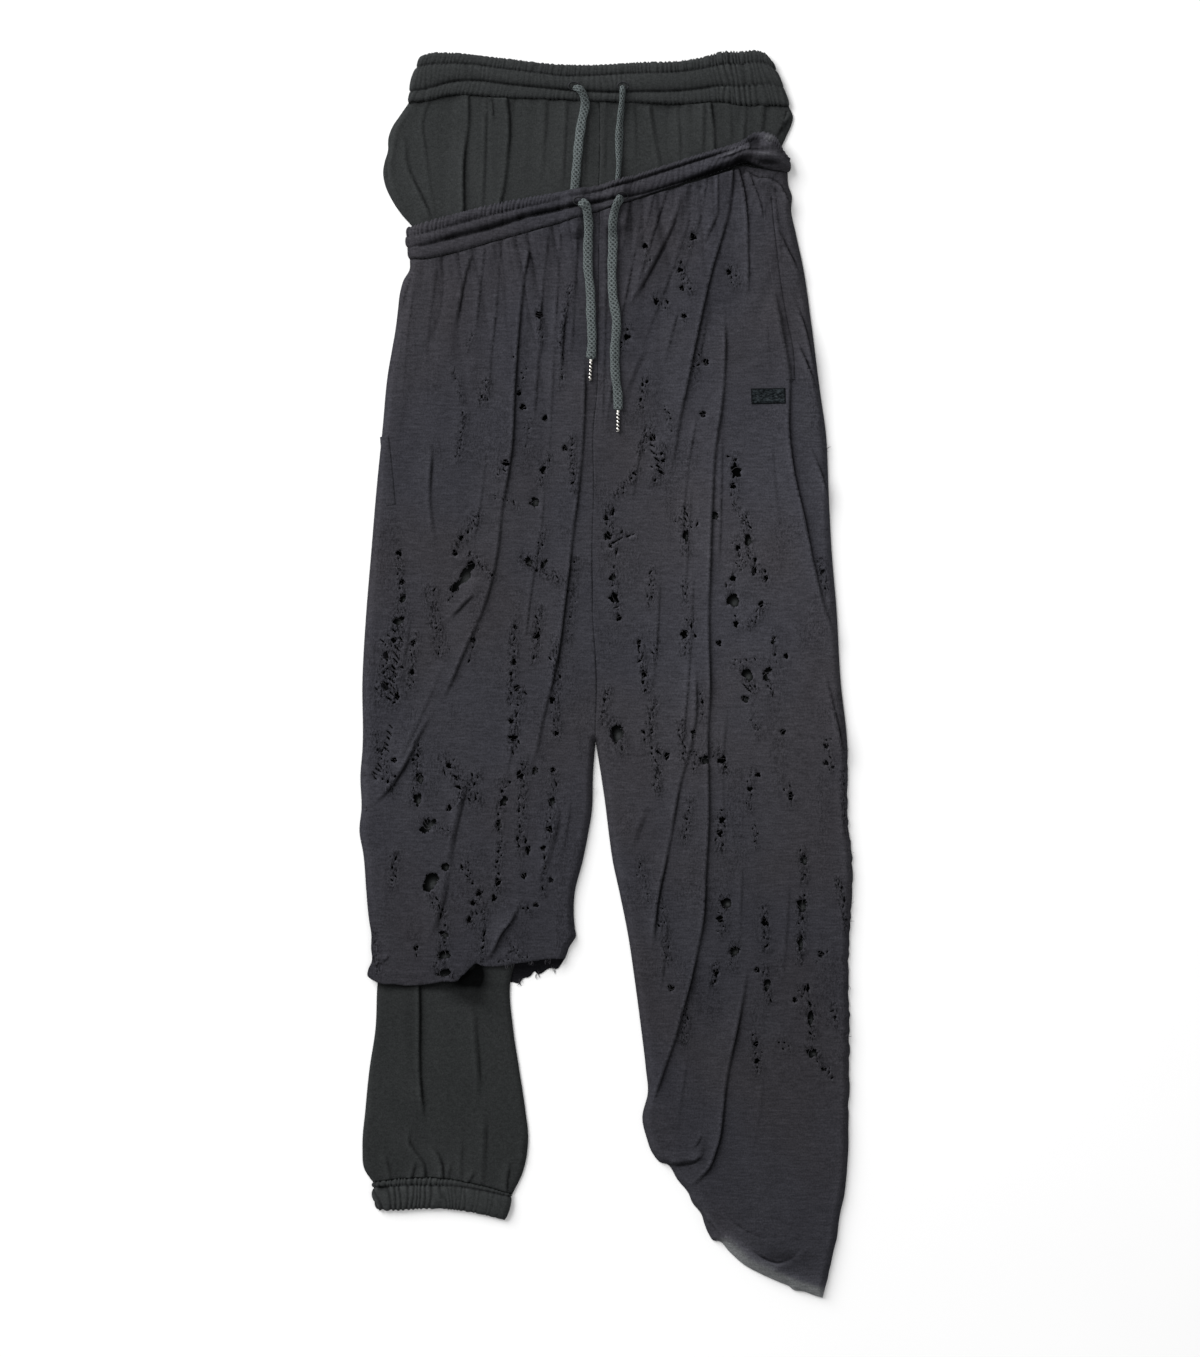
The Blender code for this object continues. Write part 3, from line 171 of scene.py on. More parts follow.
UNDER_LEG_L = rows_of(
    Leg,
    (620, 760, 822, 770), (632, 850, 826, 850), (650, 950, 827, 950), (662, 1040, 826, 1040),
    (668, 1100, 824, 1100), (680, 1130, 826, 1130), (694, 1160, 822, 1160),
)
CUFF_R = rows_of(
    BandStation,
    (372.5, 1182.5, 377, 1210, 0), (395, 1179.5, 396, 1210.5, 0), (425, 1177.5, 425, 1209, 0),
    (450, 1179.5, 452, 1210, 0), (480, 1185.5, 480, 1214.5, 0), (511, 1194, 504, 1220.5, 0),
)
CUFF_L = rows_of(
    BandStation,
    (694, 1160, 706, 1192, 0), (750, 1161, 752, 1195, 0), (822, 1160, 815, 1192, 0),
)

# The waistbands, from the photograph's left to its right. lift is how far the outer one rolls up.
UNDER_BAND = rows_of(
    BandStation,
    (421, 56, 408, 102.5, 0), (427, 53.5, 425, 101, 0), (450, 52.5, 448, 95.5, 0),
    (500, 57.5, 500, 97.5, 0), (560, 64, 560, 99.5, 0), (592, 64.5, 592, 101, 0), (640, 62, 640, 102.5, 0),
    (675, 61, 675, 103.8, 0), (700, 57.5, 700, 103.2, 0), (727, 51.5, 722, 102, 0),
    (740, 51.8, 742, 105.5, 0), (755, 50, 762, 105, 0), (765, 52.5, 778, 105.5, 0),
    (771, 60, 789.5, 106, 0),
)
OVER_BAND = rows_of(
    BandStation,
    (409, 227, 409.5, 259, 0), (421, 223.5, 423, 259.8, 0), (443, 217, 443, 256, 0),
    (500, 203, 505, 239, 0), (560, 192, 560, 223.5, 0), (600, 184.7, 600, 211.5, 0),
    (660, 167, 660, 192.5, 0), (700, 154, 700, 180, 0.001), (720, 148, 725, 172.5, 0.003),
    (741, 141, 746, 166, 0.006), (748, 136, 753, 167.5, 0.010), (757, 132.3, 762, 169, 0.012),
    (767, 132.6, 770, 170.5, 0.012), (775.5, 136.5, 778, 171.5, 0.010), (781.5, 147, 784, 172, 0.006),
    (787, 157, 788, 172, 0.002),
)

# Folds: height, how wide they rise on the photograph's left and fall on its right, and their course.
OVER_FOLDS_R = rows_of(
    Fold,
    (0.0085, 0.026, 0.007, ((527, 250), (521, 290), (513, 385), (510, 446), (501, 507), (493, 567),
        (482, 607), (459, 659), (440, 706))),
    (0.0070, 0.020, 0.009, ((440, 704), (424, 724), (399, 770), (376, 800), (363, 809))),
    (0.0045, 0.018, 0.008, ((482, 586), (466, 599), (443, 624))),
    (0.0060, 0.014, 0.006, ((470.5, 254), (464, 275), (459, 300), (453, 336))),
    (0.0040, 0.014, 0.006, ((570, 286), (564, 315), (559, 388))),
    (0.0030, 0.012, 0.006, ((543, 325), (536, 376))),
    (0.0075, 0.022, 0.007, ((584, 350), (580, 458), (573, 519), (564, 594), (556, 655), (539, 731),
        (531, 775))),
    (0.0045, 0.016, 0.008, ((432, 430), (428, 500), (436, 560))),
    (0.0100, 0.016, 0.006, ((524, 894), (510, 920), (498.7, 934.7), (493.8, 946), (489, 956), (481, 965))),
    (0.0040, 0.018, 0.012, ((560, 790), (548, 850), (530, 900))),
    (0.0040, 0.020, 0.012, ((470, 760), (452, 830), (440, 900), (425, 950))),
)
OVER_FOLDS_L = rows_of(
    Fold,
    (0.0090, 0.024, 0.006, ((731, 166), (730.3, 189.6), (727.6, 210.4), (720.6, 235.5), (710.9, 267.5),
        (699, 319), (689, 368), (676, 436), (671, 475))),
    (0.0055, 0.012, 0.005, ((716.4, 172), (716.4, 198), (715.7, 214.6), (709.5, 228.5), (701, 252))),
    (0.0065, 0.014, 0.005, ((737, 168), (742.9, 192.3), (745.7, 217.4), (747, 259), (747.4, 305))),
    (0.0095, 0.028, 0.007, ((724, 306), (722, 389), (714, 448), (710, 516), (708, 574), (707, 640),
        (708, 690), (706, 744), (707, 815), (704, 872), (700, 930), (687, 987), (674, 1036), (656, 1089),
        (650, 1112))),
    (0.0045, 0.018, 0.010, ((679, 195), (670, 224), (650, 265), (622, 316))),
    (0.0040, 0.018, 0.010, ((650, 337), (638, 360), (621, 402))),
    (0.0055, 0.016, 0.007, ((694, 655), (692, 734), (678, 786), (668, 843), (656, 901), (651, 955))),
    (0.0105, 0.016, 0.007, ((771, 279), (779, 326), (788, 378), (787, 430), (792, 472), (802, 516),
        (811.7, 563.5), (823, 608), (832.6, 636), (838, 655))),
    (0.0080, 0.010, 0.005, ((744, 172), (759.6, 179.8), (772, 181.2), (779, 186.8), (786, 199.3),
        (790.2, 210.4), (793, 224.3), (800, 246))),
    (0.0080, 0.012, 0.006, ((776, 222), (783, 244), (794, 266), (803, 287))),
    (0.0080, 0.013, 0.006, ((790, 290), (802.6, 326), (815.7, 383), (822, 408))),
    (0.0075, 0.012, 0.006, ((791, 328), (808, 373), (819, 403), (826, 440))),
    (0.0070, 0.012, 0.006, ((808, 442), (821.5, 480), (830, 513), (833, 535))),
    (0.0085, 0.012, 0.006, ((822, 664), (825.6, 680), (836.8, 730), (845, 772))),
    (0.0085, 0.022, 0.008, ((748, 960), (743, 990), (730, 1052), (722, 1100), (720, 1120), (717.6, 1136.5),
        (712.6, 1153), (707.7, 1166), (701, 1174.5), (692.8, 1182.8), (683, 1187))),
    (0.0090, 0.016, 0.005, ((704, 1143), (700, 1155), (694, 1160.5), (684.5, 1163), (669.7, 1164.6),
        (658, 1163))),
    (0.0030, 0.010, 0.005, ((702, 1130), (697, 1142), (690, 1150))),
    (0.0045, 0.020, 0.012, ((648, 800), (636, 830), (628, 858))),
    (0.0075, 0.014, 0.006, ((738, 1240), (752, 1253), (765, 1261.5), (777, 1265), (790, 1261.5),
        (802, 1252), (810, 1241))),
)
UNDER_FOLDS_R = rows_of(
    Fold,
    (0.0050, 0.014, 0.006, ((402, 122), (403.5, 140), (406, 166), (414.5, 187), (423, 204), (436, 238))),
    (0.0056, 0.016, 0.006, ((466, 92), (466.5, 126), (462, 154), (461.5, 212), (461, 250))),
    (0.0046, 0.014, 0.006, ((504, 92), (507, 119), (506, 154), (503, 182), (496, 212), (490, 240))),
    (0.0026, 0.014, 0.006, ((546, 92), (543, 140), (538, 200))),
    (0.0062, 0.022, 0.006, ((416, 955), (417, 1014), (417, 1055), (419, 1095), (425, 1130))),
    (0.0060, 0.014, 0.006, ((412, 1124), (407, 1143), (415, 1156), (422, 1166), (422, 1182))),
    (0.0050, 0.012, 0.006, ((424, 1143), (434, 1153), (440, 1168), (440, 1182))),
    (0.0026, 0.016, 0.008, ((483, 1100), (482, 1150), (480, 1186))),
    (0.0026, 0.016, 0.008, ((470, 990), (476, 1075), (478, 1110))),
)
UNDER_FOLDS_L = rows_of(
    Fold,
    (0.0070, 0.010, 0.006, ((708, 98), (710, 114), (712, 126), (713, 150), (712, 175))),
    (0.0036, 0.014, 0.007, ((648, 104), (652, 130), (657, 160), (662, 190))),
    (0.0024, 0.010, 0.006, ((702, 100), (702, 130), (701, 165))),
    (0.0030, 0.010, 0.006, ((745, 100), (743, 130), (742, 160))),
    (0.0050, 0.008, 0.005, ((777, 142), (782, 130), (788, 116), (790, 108))),
)


# Gaps in the ripped jersey that are cut through: centre and size in pixels.
RIPS_R = rows_of(
    Rip,
    (539, 315, 7, 7), (523, 407, 6, 6), (519, 393, 5, 5), (545, 418, 5, 6), (543, 470, 6, 7),
    (505, 463, 6, 6), (565, 448, 5, 6), (455, 553, 5, 6), (461, 538, 5, 5), (399, 553, 5, 6),
    (402, 582, 5, 6), (394, 640, 5, 6), (386, 656, 5, 9), (385, 686, 6, 10), (397, 696, 5, 7),
    (413, 643, 5, 6), (473, 640, 5, 6), (537, 636, 6, 8), (412, 672, 5, 6), (514, 662, 5, 6),
    (517, 688, 6, 6), (552, 700, 5, 7), (511, 721, 5, 5), (513, 738, 8, 6), (520, 775, 6, 9),
    (553, 770, 5, 5), (394, 760, 5, 5), (449, 766, 5, 5), (449, 808, 5, 6), (479, 893, 6, 6),
    (473, 903, 5, 5), (551, 880, 5, 5), (469, 920, 6, 6), (549, 829, 6, 6), (543, 848, 5, 5),
    (528, 850, 5, 8), (524, 876, 5, 6), (498, 882, 5, 8), (494, 898, 5, 6), (416, 948, 5, 5),
    (536, 905, 5, 5),
)
RIPS_L = rows_of(
    Rip,
    (653, 438, 6, 6), (736, 471, 9, 13), (733, 486, 5, 6), (738, 548, 5, 5), (606, 518, 5, 5),
    (608, 536, 7, 8), (614, 598, 9, 9), (619, 618, 5, 6), (754, 571, 5, 8), (766, 578, 5, 5),
    (761, 604, 5, 6), (736, 624, 5, 6), (684, 634, 7, 8), (719, 643, 5, 6), (786, 656, 5, 5),
    (644, 674, 5, 8), (783, 732, 5, 6), (826, 746, 5, 5), (693, 237, 7, 6), (645, 246, 5, 5),
    (680, 270, 5, 5), (682, 288, 5, 5), (729, 272, 5, 5), (656, 301, 5, 6), (684, 316, 5, 5),
    (627, 337, 6, 6), (706, 362, 6, 6), (703, 414, 6, 6), (667, 756, 5, 7), (722, 760, 8, 8),
    (826, 763, 5, 5), (758, 775, 5, 5), (750, 789, 5, 5), (791, 796, 5, 8), (720, 833, 6, 6),
    (722, 820, 6, 6), (720, 919, 7, 6), (765, 922, 6, 9), (821, 954, 6, 6), (716, 973, 5, 8),
    (671, 988, 6, 6), (757, 970, 5, 6), (807, 988, 5, 8), (795, 1000, 5, 5), (756, 1044, 5, 5),
    (757, 1061, 5, 5), (824, 1069, 5, 5),
)

# What is sewn on the outer pair: the courses of its pocket mouths and the corners of its patch.
POCKET_R = ((384, 436), (387, 463), (391, 505))
POCKET_L = ((766.5, 196), (768.5, 219), (772, 250), (777, 288), (783, 322), (788, 346), (790.5, 380))
POCKET_BARS = (((385.5, 501), (396, 502.3)), ((761, 190.3), (772, 191)))
POCKET_WIDTH = 0.0085
PATCH = ((751, 388.5), (785, 388), (785.5, 403.5), (751.5, 404))

# Drawcords: each leaves its waistband and lies down the front. Those of the inner pair pass under the
# outer waistband and end there, out of sight.
HIDDEN_FROM = 160
UNDER_CORD_R = ((574, 86), (581, 91), (585, 101), (582, 120), (579, 141), (577, 162), (575, 186),
                (574, 206), (574, 226))
UNDER_CORD_L = ((623, 86), (622, 101), (620, 122), (619, 146), (619, 162), (618, 180), (617, 200),
                (617, 220))
OVER_CORD_R = ((579, 202), (585, 206), (588, 218), (588, 245), (588, 269), (590.5, 292), (591, 316),
               (592, 339), (591, 360))
OVER_CORD_L = ((622, 197), (617, 205), (613, 221), (613, 245), (612, 269), (613, 297), (616.5, 321),
               (614.7, 351), (615.4, 375), (618, 398), (618, 411))

# Small creases of the outer pair that only the looks have, in the same terms as the folds.
OVER_CREASES_R = rows_of(
    Fold,
    (0.0030, 0.006, 0.0035, ((417, 261), (409, 278), (403, 296), (399, 325))),
    (0.0022, 0.010, 0.0035, ((484, 245), (478, 300), (474, 345))),
    (0.0024, 0.010, 0.0035, ((500, 243), (496, 300), (489, 372), (486, 420))),
    (0.0030, 0.011, 0.0035, ((548, 233), (541, 300), (536, 380), (533, 432))),
    (0.0026, 0.009, 0.0030, ((560, 230), (556, 300), (551, 400), (548, 470))),
    (0.0022, 0.009, 0.0030, ((577, 226), (574, 300), (569, 372))),
    (0.0018, 0.010, 0.0035, ((436, 268), (428, 330), (424, 380))),
    (0.0016, 0.012, 0.0040, ((415, 275), (407, 330), (402, 400))),
    (0.0022, 0.012, 0.0040, ((486, 445), (480, 500), (470, 560))),
    (0.0022, 0.012, 0.0040, ((545, 470), (540, 530), (529, 600), (522, 660))),
    (0.0020, 0.012, 0.0040, ((561, 600), (553, 660), (548, 720))),
    (0.0018, 0.010, 0.0040, ((412, 600), (404, 660), (398, 720))),
    (0.0024, 0.012, 0.0040, ((452, 640), (432, 690), (408, 740), (390, 772))),
    (0.0022, 0.012, 0.0040, ((518, 700), (511, 750), (500, 800))),
    (0.0020, 0.012, 0.0040, ((572, 780), (566, 830), (556, 880))),
    (0.0018, 0.010, 0.0040, ((386, 830), (384, 880), (388, 930))),
    (0.0030, 0.008, 0.0030, ((392, 950), (384, 960), (370, 966))),
    (0.0034, 0.008, 0.0030, ((366, 969), (378, 969), (395, 971), (414, 972), (440, 969))),
    (0.0022, 0.008, 0.0030, ((520, 946), (508, 952), (500, 962))),
)
OVER_CREASES_L = rows_of(
    Fold,
    (0.0024, 0.010, 0.0035, ((606, 226), (605, 300), (603, 380), (601, 440))),
    (0.0030, 0.011, 0.0035, ((621, 345), (611, 390), (604, 440))),
    (0.0026, 0.010, 0.0035, ((644, 196), (636, 240), (624, 300), (612, 350))),
    (0.0030, 0.011, 0.0035, ((667, 188), (655, 225), (638, 280), (622, 330))),
    (0.0024, 0.010, 0.0035, ((697, 180), (688, 220), (672, 268), (652, 320), (636, 360))),
    (0.0030, 0.010, 0.0035, ((747, 172), (755.4, 192.3), (762.3, 214.6), (767, 236))),
    (0.0026, 0.010, 0.0035, ((773, 186), (776.3, 217.4), (779, 245.2), (781, 290))),
    (0.0026, 0.009, 0.0035, ((706, 176), (701, 210), (690, 250), (676, 290))),
    (0.0022, 0.009, 0.0035, ((654, 191), (646, 222), (634, 258))),
    (0.0022, 0.009, 0.0035, ((629, 200), (624, 235), (616, 275))),
    (0.0026, 0.010, 0.0035, ((700, 400), (690, 450), (683, 510), (680, 560))),
    (0.0030, 0.012, 0.0035, ((693, 560), (690, 640), (684, 720), (680, 770))),
    (0.0022, 0.012, 0.0040, ((722, 420), (720, 500), (718, 580))),
    (0.0022, 0.010, 0.0035, ((684, 290), (672, 330), (662, 372))),
    (0.0026, 0.010, 0.0035, ((709, 300), (701, 345), (695, 392))),
    (0.0020, 0.012, 0.0040, ((645, 420), (636, 470), (630, 520))),
    (0.0020, 0.012, 0.0040, ((692, 470), (688, 530), (684, 600))),
    (0.0016, 0.012, 0.0040, ((763, 300), (768, 350), (770, 384))),
    (0.0016, 0.012, 0.0040, ((770, 420), (774, 480), (784, 560))),
    (0.0022, 0.012, 0.0040, ((660, 560), (656, 640), (648, 720))),
    (0.0020, 0.012, 0.0040, ((727, 700), (722, 770), (724, 840))),
    (0.0018, 0.012, 0.0040, ((742, 850), (740, 910), (738, 960))),
    (0.0016, 0.012, 0.0040, ((790, 860), (786, 930), (780, 1000))),
    (0.0020, 0.012, 0.0040, ((668, 900), (664, 960), (656, 1010))),
    (0.0022, 0.010, 0.0035, ((690, 1040), (682, 1090), (676, 1140))),
    (0.0016, 0.012, 0.0045, ((764, 1060), (758, 1120), (748, 1170))),
    (0.0022, 0.012, 0.0045, ((714, 1200), (735, 1225), (760, 1238), (790, 1236), (812, 1222))),
    (0.0016, 0.010, 0.0040, ((740, 1196), (765, 1204), (800, 1198))),
)
# The outer left hem: the front ends at this line, and the back's worn, paler hem shows below it, with
# painted light on it too.
HEM_LEDGE_L = Fold(0.0042, 0.006, 0.0035, ((752, 1254.5), (737.4, 1245.6), (725.8, 1237.3), (716, 1227.4),
                                           (704.3, 1214), (693.6, 1199), (688, 1192)))
HEM_FACING_L = ((724, 1248), (729, 1252), (744, 1265.4), (762.2, 1275.3), (778.7, 1282.7),
                (791, 1288.5), (805, 1292.7), (823, 1298.8))
FACING_REACH = 0.0105
FACING_PALE_AND_LIT = 4.6
UNDER_CREASES_R = rows_of(
    Fold,
    (0.0024, 0.012, 0.0050, ((428, 98), (421, 120), (424, 150), (432, 205), (440, 240))),
    (0.0026, 0.009, 0.0050, ((485, 92), (484, 130), (482, 190), (480, 235))),
    (0.0040, 0.005, 0.0050, ((489, 92), (491, 112), (492, 124))),
    (0.0018, 0.010, 0.0050, ((566, 92), (563, 150), (561, 200))),
    (0.0018, 0.010, 0.0050, ((586, 92), (584, 150), (582, 200))),
    (0.0044, 0.006, 0.0050, ((410, 228), (399, 205), (391, 186), (389, 168), (391, 148), (397, 126),
        (404, 112))),
    (0.0030, 0.010, 0.0050, ((382, 1150), (386, 1166), (390, 1186))),
    (0.0036, 0.009, 0.0050, ((414, 1158), (412, 1170), (407, 1184))),
    (0.0026, 0.009, 0.0050, ((450, 1160), (448, 1172), (446, 1184))),
    (0.0034, 0.008, 0.0050, ((475, 1166), (471, 1176), (463, 1186))),
    (0.0020, 0.010, 0.0050, ((461, 1130), (460, 1155), (459, 1186))),
    (0.0040, 0.009, 0.0050, ((511, 1156), (507, 1170), (505, 1184), (505, 1196))),
    (0.0044, 0.010, 0.0050, ((519, 1138), (524, 1144), (531, 1146))),
    (0.0040, 0.008, 0.0050, ((518, 1151), (523, 1157), (528, 1160))),
)
UNDER_CREASES_L = rows_of(
    Fold,
    (0.0018, 0.010, 0.0050, ((605, 92), (604, 140), (603, 190))),
    (0.0016, 0.010, 0.0050, ((632, 92), (634, 130), (633, 180))),
    (0.0018, 0.010, 0.0050, ((676, 94), (678, 140), (680, 180))),
    (0.0020, 0.007, 0.0050, ((728, 96), (730, 130), (731, 150))),
    (0.0022, 0.007, 0.0050, ((764, 98), (762, 120), (760, 140))),
)
# The rolls of cloth in the outer waistband's twisted end.
ROLL_FOLDS = rows_of(
    Fold,
    (0.0060, 0.006, 0.0060, ((792, 151), (776, 152), (762, 151), (750, 148), (742, 150), (728, 155),
        (700, 163))),
    (0.0075, 0.008, 0.0060, ((790, 165), (774, 167), (760, 166), (749, 161), (738, 163), (722, 171),
        (700, 178))),
    (0.0050, 0.004, 0.0050, ((786, 170), (770, 170.5), (756, 168), (746, 166))),
    (0.0035, 0.005, 0.0050, ((745, 140), (749, 146), (746, 154))),
)
# Deep hollows in it, sunk and darkened with painted shade, and rolls raised and lit with painted
# highlights where depth and darkness are below zero: where, how wide and high, how far turned, how deep
# and how dark.
Hollow = namedtuple("Hollow", "x y wide high turn depth dark")
ROLL_HOLLOWS = rows_of(
    Hollow,
    (740, 164, 12, 5.2, -0.50, 0.0062, 5.5), (753, 143, 7, 6.5, -0.2, 0.0034, 2.4),
    (759, 172.5, 10, 2.0, 0.15, 0.0028, 3.6), (752, 165.4, 9, 1.5, 0.25, 0.0018, 3.2),
    (716, 171, 17, 3.6, -0.42, 0.0026, 3.8), (696, 178.5, 12, 2.4, -0.40, 0.0008, 2.6),
    (764, 150.4, 14, 2.2, 0.0, 0.0022, 1.3), (768, 163.5, 10, 2.2, 0.1, 0.0022, 2.8),
    (769, 140, 8, 6.5, 0.2, -0.0044, -1.9), (764, 156.5, 16, 3.6, 0.05, -0.0034, -1.7),
    (756, 168.3, 11, 1.2, 0.18, -0.0018, -2.0), (733, 151, 14, 3.0, -0.45, -0.0006, -1.0),
)
# The inner leg lies in deep shade where the outer one's hem stands open, painted on it without sinking it.
LEG_HOLLOWS = rows_of(
    Hollow,
    (469, 977, 14, 8, 0.0, 0.0, 5.5), (479, 970, 5, 16, 0.0, 0.0, 4.0), (430, 986, 55, 4, 0.0, 0.0, 1.8),
    (468, 994, 22, 11, 0.4, 0.0, 1.4), (410, 1010, 9, 55, 0.0, 0.0, 0.45),
    (783, 128, 1.6, 11, 0.588, 0.0, 3.8),
)
# The back of that hem shows from inside, in painted shade.
BACK_HEM_HOLLOWS = rows_of(
    Hollow,
    (530, 972, 62, 20, 0.0, 0.0, 3.0),
)
# The outer left leg's deep tuck, and the creases above its hem, sunk and darkened with painted shade.
OVER_HOLLOWS_L = rows_of(
    Hollow,
    (683, 1162.6, 15, 1.7, -0.17, 0.0012, 3.4), (779, 1258, 24, 6.5, 0.0, 0.0008, 0.9),
    (703, 1150, 3, 12, 0.2, 0.0, 0.8),
)

# How folds end, and how far a fold's crest leans over its foot, for each metre of its height.
FOLD_END = 0.038
FOLD_END_SHARE = 0.42
HELD_END = 0.0025
SEAM_NEAR = 0.016
FOLD_FADE = 0.006
LEAN = 0.55
LEAN_REACH = 0.45
FOOT_WIDTH = 0.0006
# How folds form in each cloth: their share of the height they have, how sharply they fall and how dark
# the painted shade of the line at their foot is.
FoldForm = namedtuple("FoldForm", "share sharpen line")
JERSEY_FORM = FoldForm(0.43, 0.36, 2.2)
FLEECE_FORM = FoldForm(0.50, 0.48, 1.7)
ROLL_FORM = FoldForm(0.60, 0.36, 1.8)
# A crest has this much painted highlight, so far behind it and over this width. Folds from this height on
# have their full painted highlight and line of painted shade.
CREST_LIGHT = 0.62
CREST_BACK = 0.0012
CREST_WIDTH = 0.0018
FULL_FOLD = 0.0050
# Rows of the mesh along a fold: their distance behind its crest, their step, and the least cell.
CREST_ROW = 0.0017
ROW_STEP = 0.0019
ROW_CELL = 0.0011

# Long ripples hang from the waist seams: how high, and how soon they fade. A back's folds are set aside
# by so many pixels.
OVER_RIPPLES = 0.0013
OVER_RIPPLES_FADE = 0.10
UNDER_RIPPLES = 0.0011
UNDER_RIPPLES_FADE = 0.07
BACK_ASIDE = 9

# Gathers below a waist seam: how high, how long, how far apart, how much they stray, their seed and how
# dark the painted shade in their valleys is.
Gathers = namedtuple("Gathers", "height length pitch lean seed dark")
OVER_GATHERS_R = Gathers(0.0024, 0.085, 0.0190, 0.10, 3, 1.5)
OVER_GATHERS_L = Gathers(0.0024, 0.080, 0.0170, 0.30, 5, 1.5)
UNDER_GATHERS_R = Gathers(0.0012, 0.013, 0.0240, 0.03, 7, 0.5)
UNDER_GATHERS_L = Gathers(0.0012, 0.013, 0.0220, 0.03, 9, 0.5)
# Fine gathers lie between them: their pitch and height, for each of the main ones'.
FINE_PITCH = 0.29
FINE_SHARE = 0.42
# How far up a gather's wave the painted shade in its valley reaches.
VALLEY = 0.24

# The largest tears show the inner cloth: from this size, with its bulge and painted light at this side of
# their centre.
WINDOW_SIZE = 0.0070
WINDOW_STEP = 0.0013
WINDOW_SIDE = (0.50, -0.45)
WINDOW_LIFT = 0.0022
WINDOW_LIGHT = 4.6

# Pinholes and small tears run down the jersey in streaks: from and to these places, how many holes,
# how far they stray and how large they get, in pixels.
Streak = namedtuple("Streak", "x0 y0 x1 y1 count stray size")
STREAKS_R = rows_of(
    Streak,
    (471, 335, 466, 350, 6, 1.5, 1.8), (454, 370, 462, 400, 6, 2, 1.7), (487, 383, 482, 400, 12, 4, 2.2),
    (464, 415, 458, 460, 9, 3, 1.8), (539, 308, 541, 340, 9, 2, 2.2), (570, 286, 560, 345, 10, 2, 2.0),
    (563, 350, 561, 385, 6, 2, 1.8), (523, 343, 512, 357, 3, 2, 2.0), (526, 365, 517, 395, 5, 2, 2.4),
    (529, 420, 524, 460, 5, 3, 2.2), (572, 438, 573, 490, 14, 2.5, 2.8), (549, 455, 540, 485, 8, 3, 3.0),
    (508, 460, 498, 474, 12, 4, 3.0), (492, 494, 520, 508, 5, 3, 2.4), (478, 516, 457, 545, 12, 5, 2.6),
    (398, 553, 402, 612, 22, 3, 3.6), (544, 530, 538, 556, 8, 3, 2.6), (524, 558, 560, 580, 12, 6, 3.2),
    (470, 556, 492, 576, 14, 4, 3.4), (455, 585, 448, 600, 6, 3, 3.2), (400, 610, 390, 700, 40, 8, 3.8),
    (386, 640, 380, 700, 20, 5, 3.4), (415, 636, 408, 690, 14, 4, 3.0), (430, 590, 440, 650, 10, 6, 2.2),
    (474, 628, 470, 660, 6, 3, 2.6), (515, 620, 510, 700, 16, 4, 2.8), (540, 610, 534, 660, 12, 4, 2.8),
    (556, 640, 556, 735, 16, 4, 2.6), (520, 690, 512, 745, 14, 4, 3.0), (576, 560, 568, 640, 8, 3, 2.2),
    (376, 735, 392, 790, 14, 5, 3.0), (418, 745, 414, 800, 14, 4, 3.6), (444, 760, 476, 800, 22, 7, 3.0),
    (503, 780, 497, 830, 10, 3, 3.2), (524, 762, 520, 850, 18, 4, 3.0), (553, 775, 549, 836, 12, 4, 3.0),
    (501, 840, 495, 900, 16, 3, 3.0), (545, 848, 543, 895, 7, 2, 2.6), (466, 862, 470, 880, 8, 3, 2.6),
    (480, 890, 470, 925, 12, 4, 3.0), (395, 855, 392, 885, 8, 4, 2.4), (432, 896, 442, 916, 10, 4, 3.4),
    (444, 925, 442, 960, 14, 4, 3.6), (484, 905, 482, 960, 10, 3, 2.6), (372, 930, 378, 974, 8, 3, 2.6),
    (436, 966, 452, 976, 10, 3, 3.2), (522, 906, 530, 912, 8, 3, 2.6), (505, 940, 524, 960, 7, 4, 2.2),
    (414, 945, 417, 958, 3, 1, 2.8), (498, 962, 512, 962, 5, 2, 2.4), (420, 820, 450, 832, 7, 4, 3.0),
    (458, 800, 478, 775, 14, 4, 2.8),
)
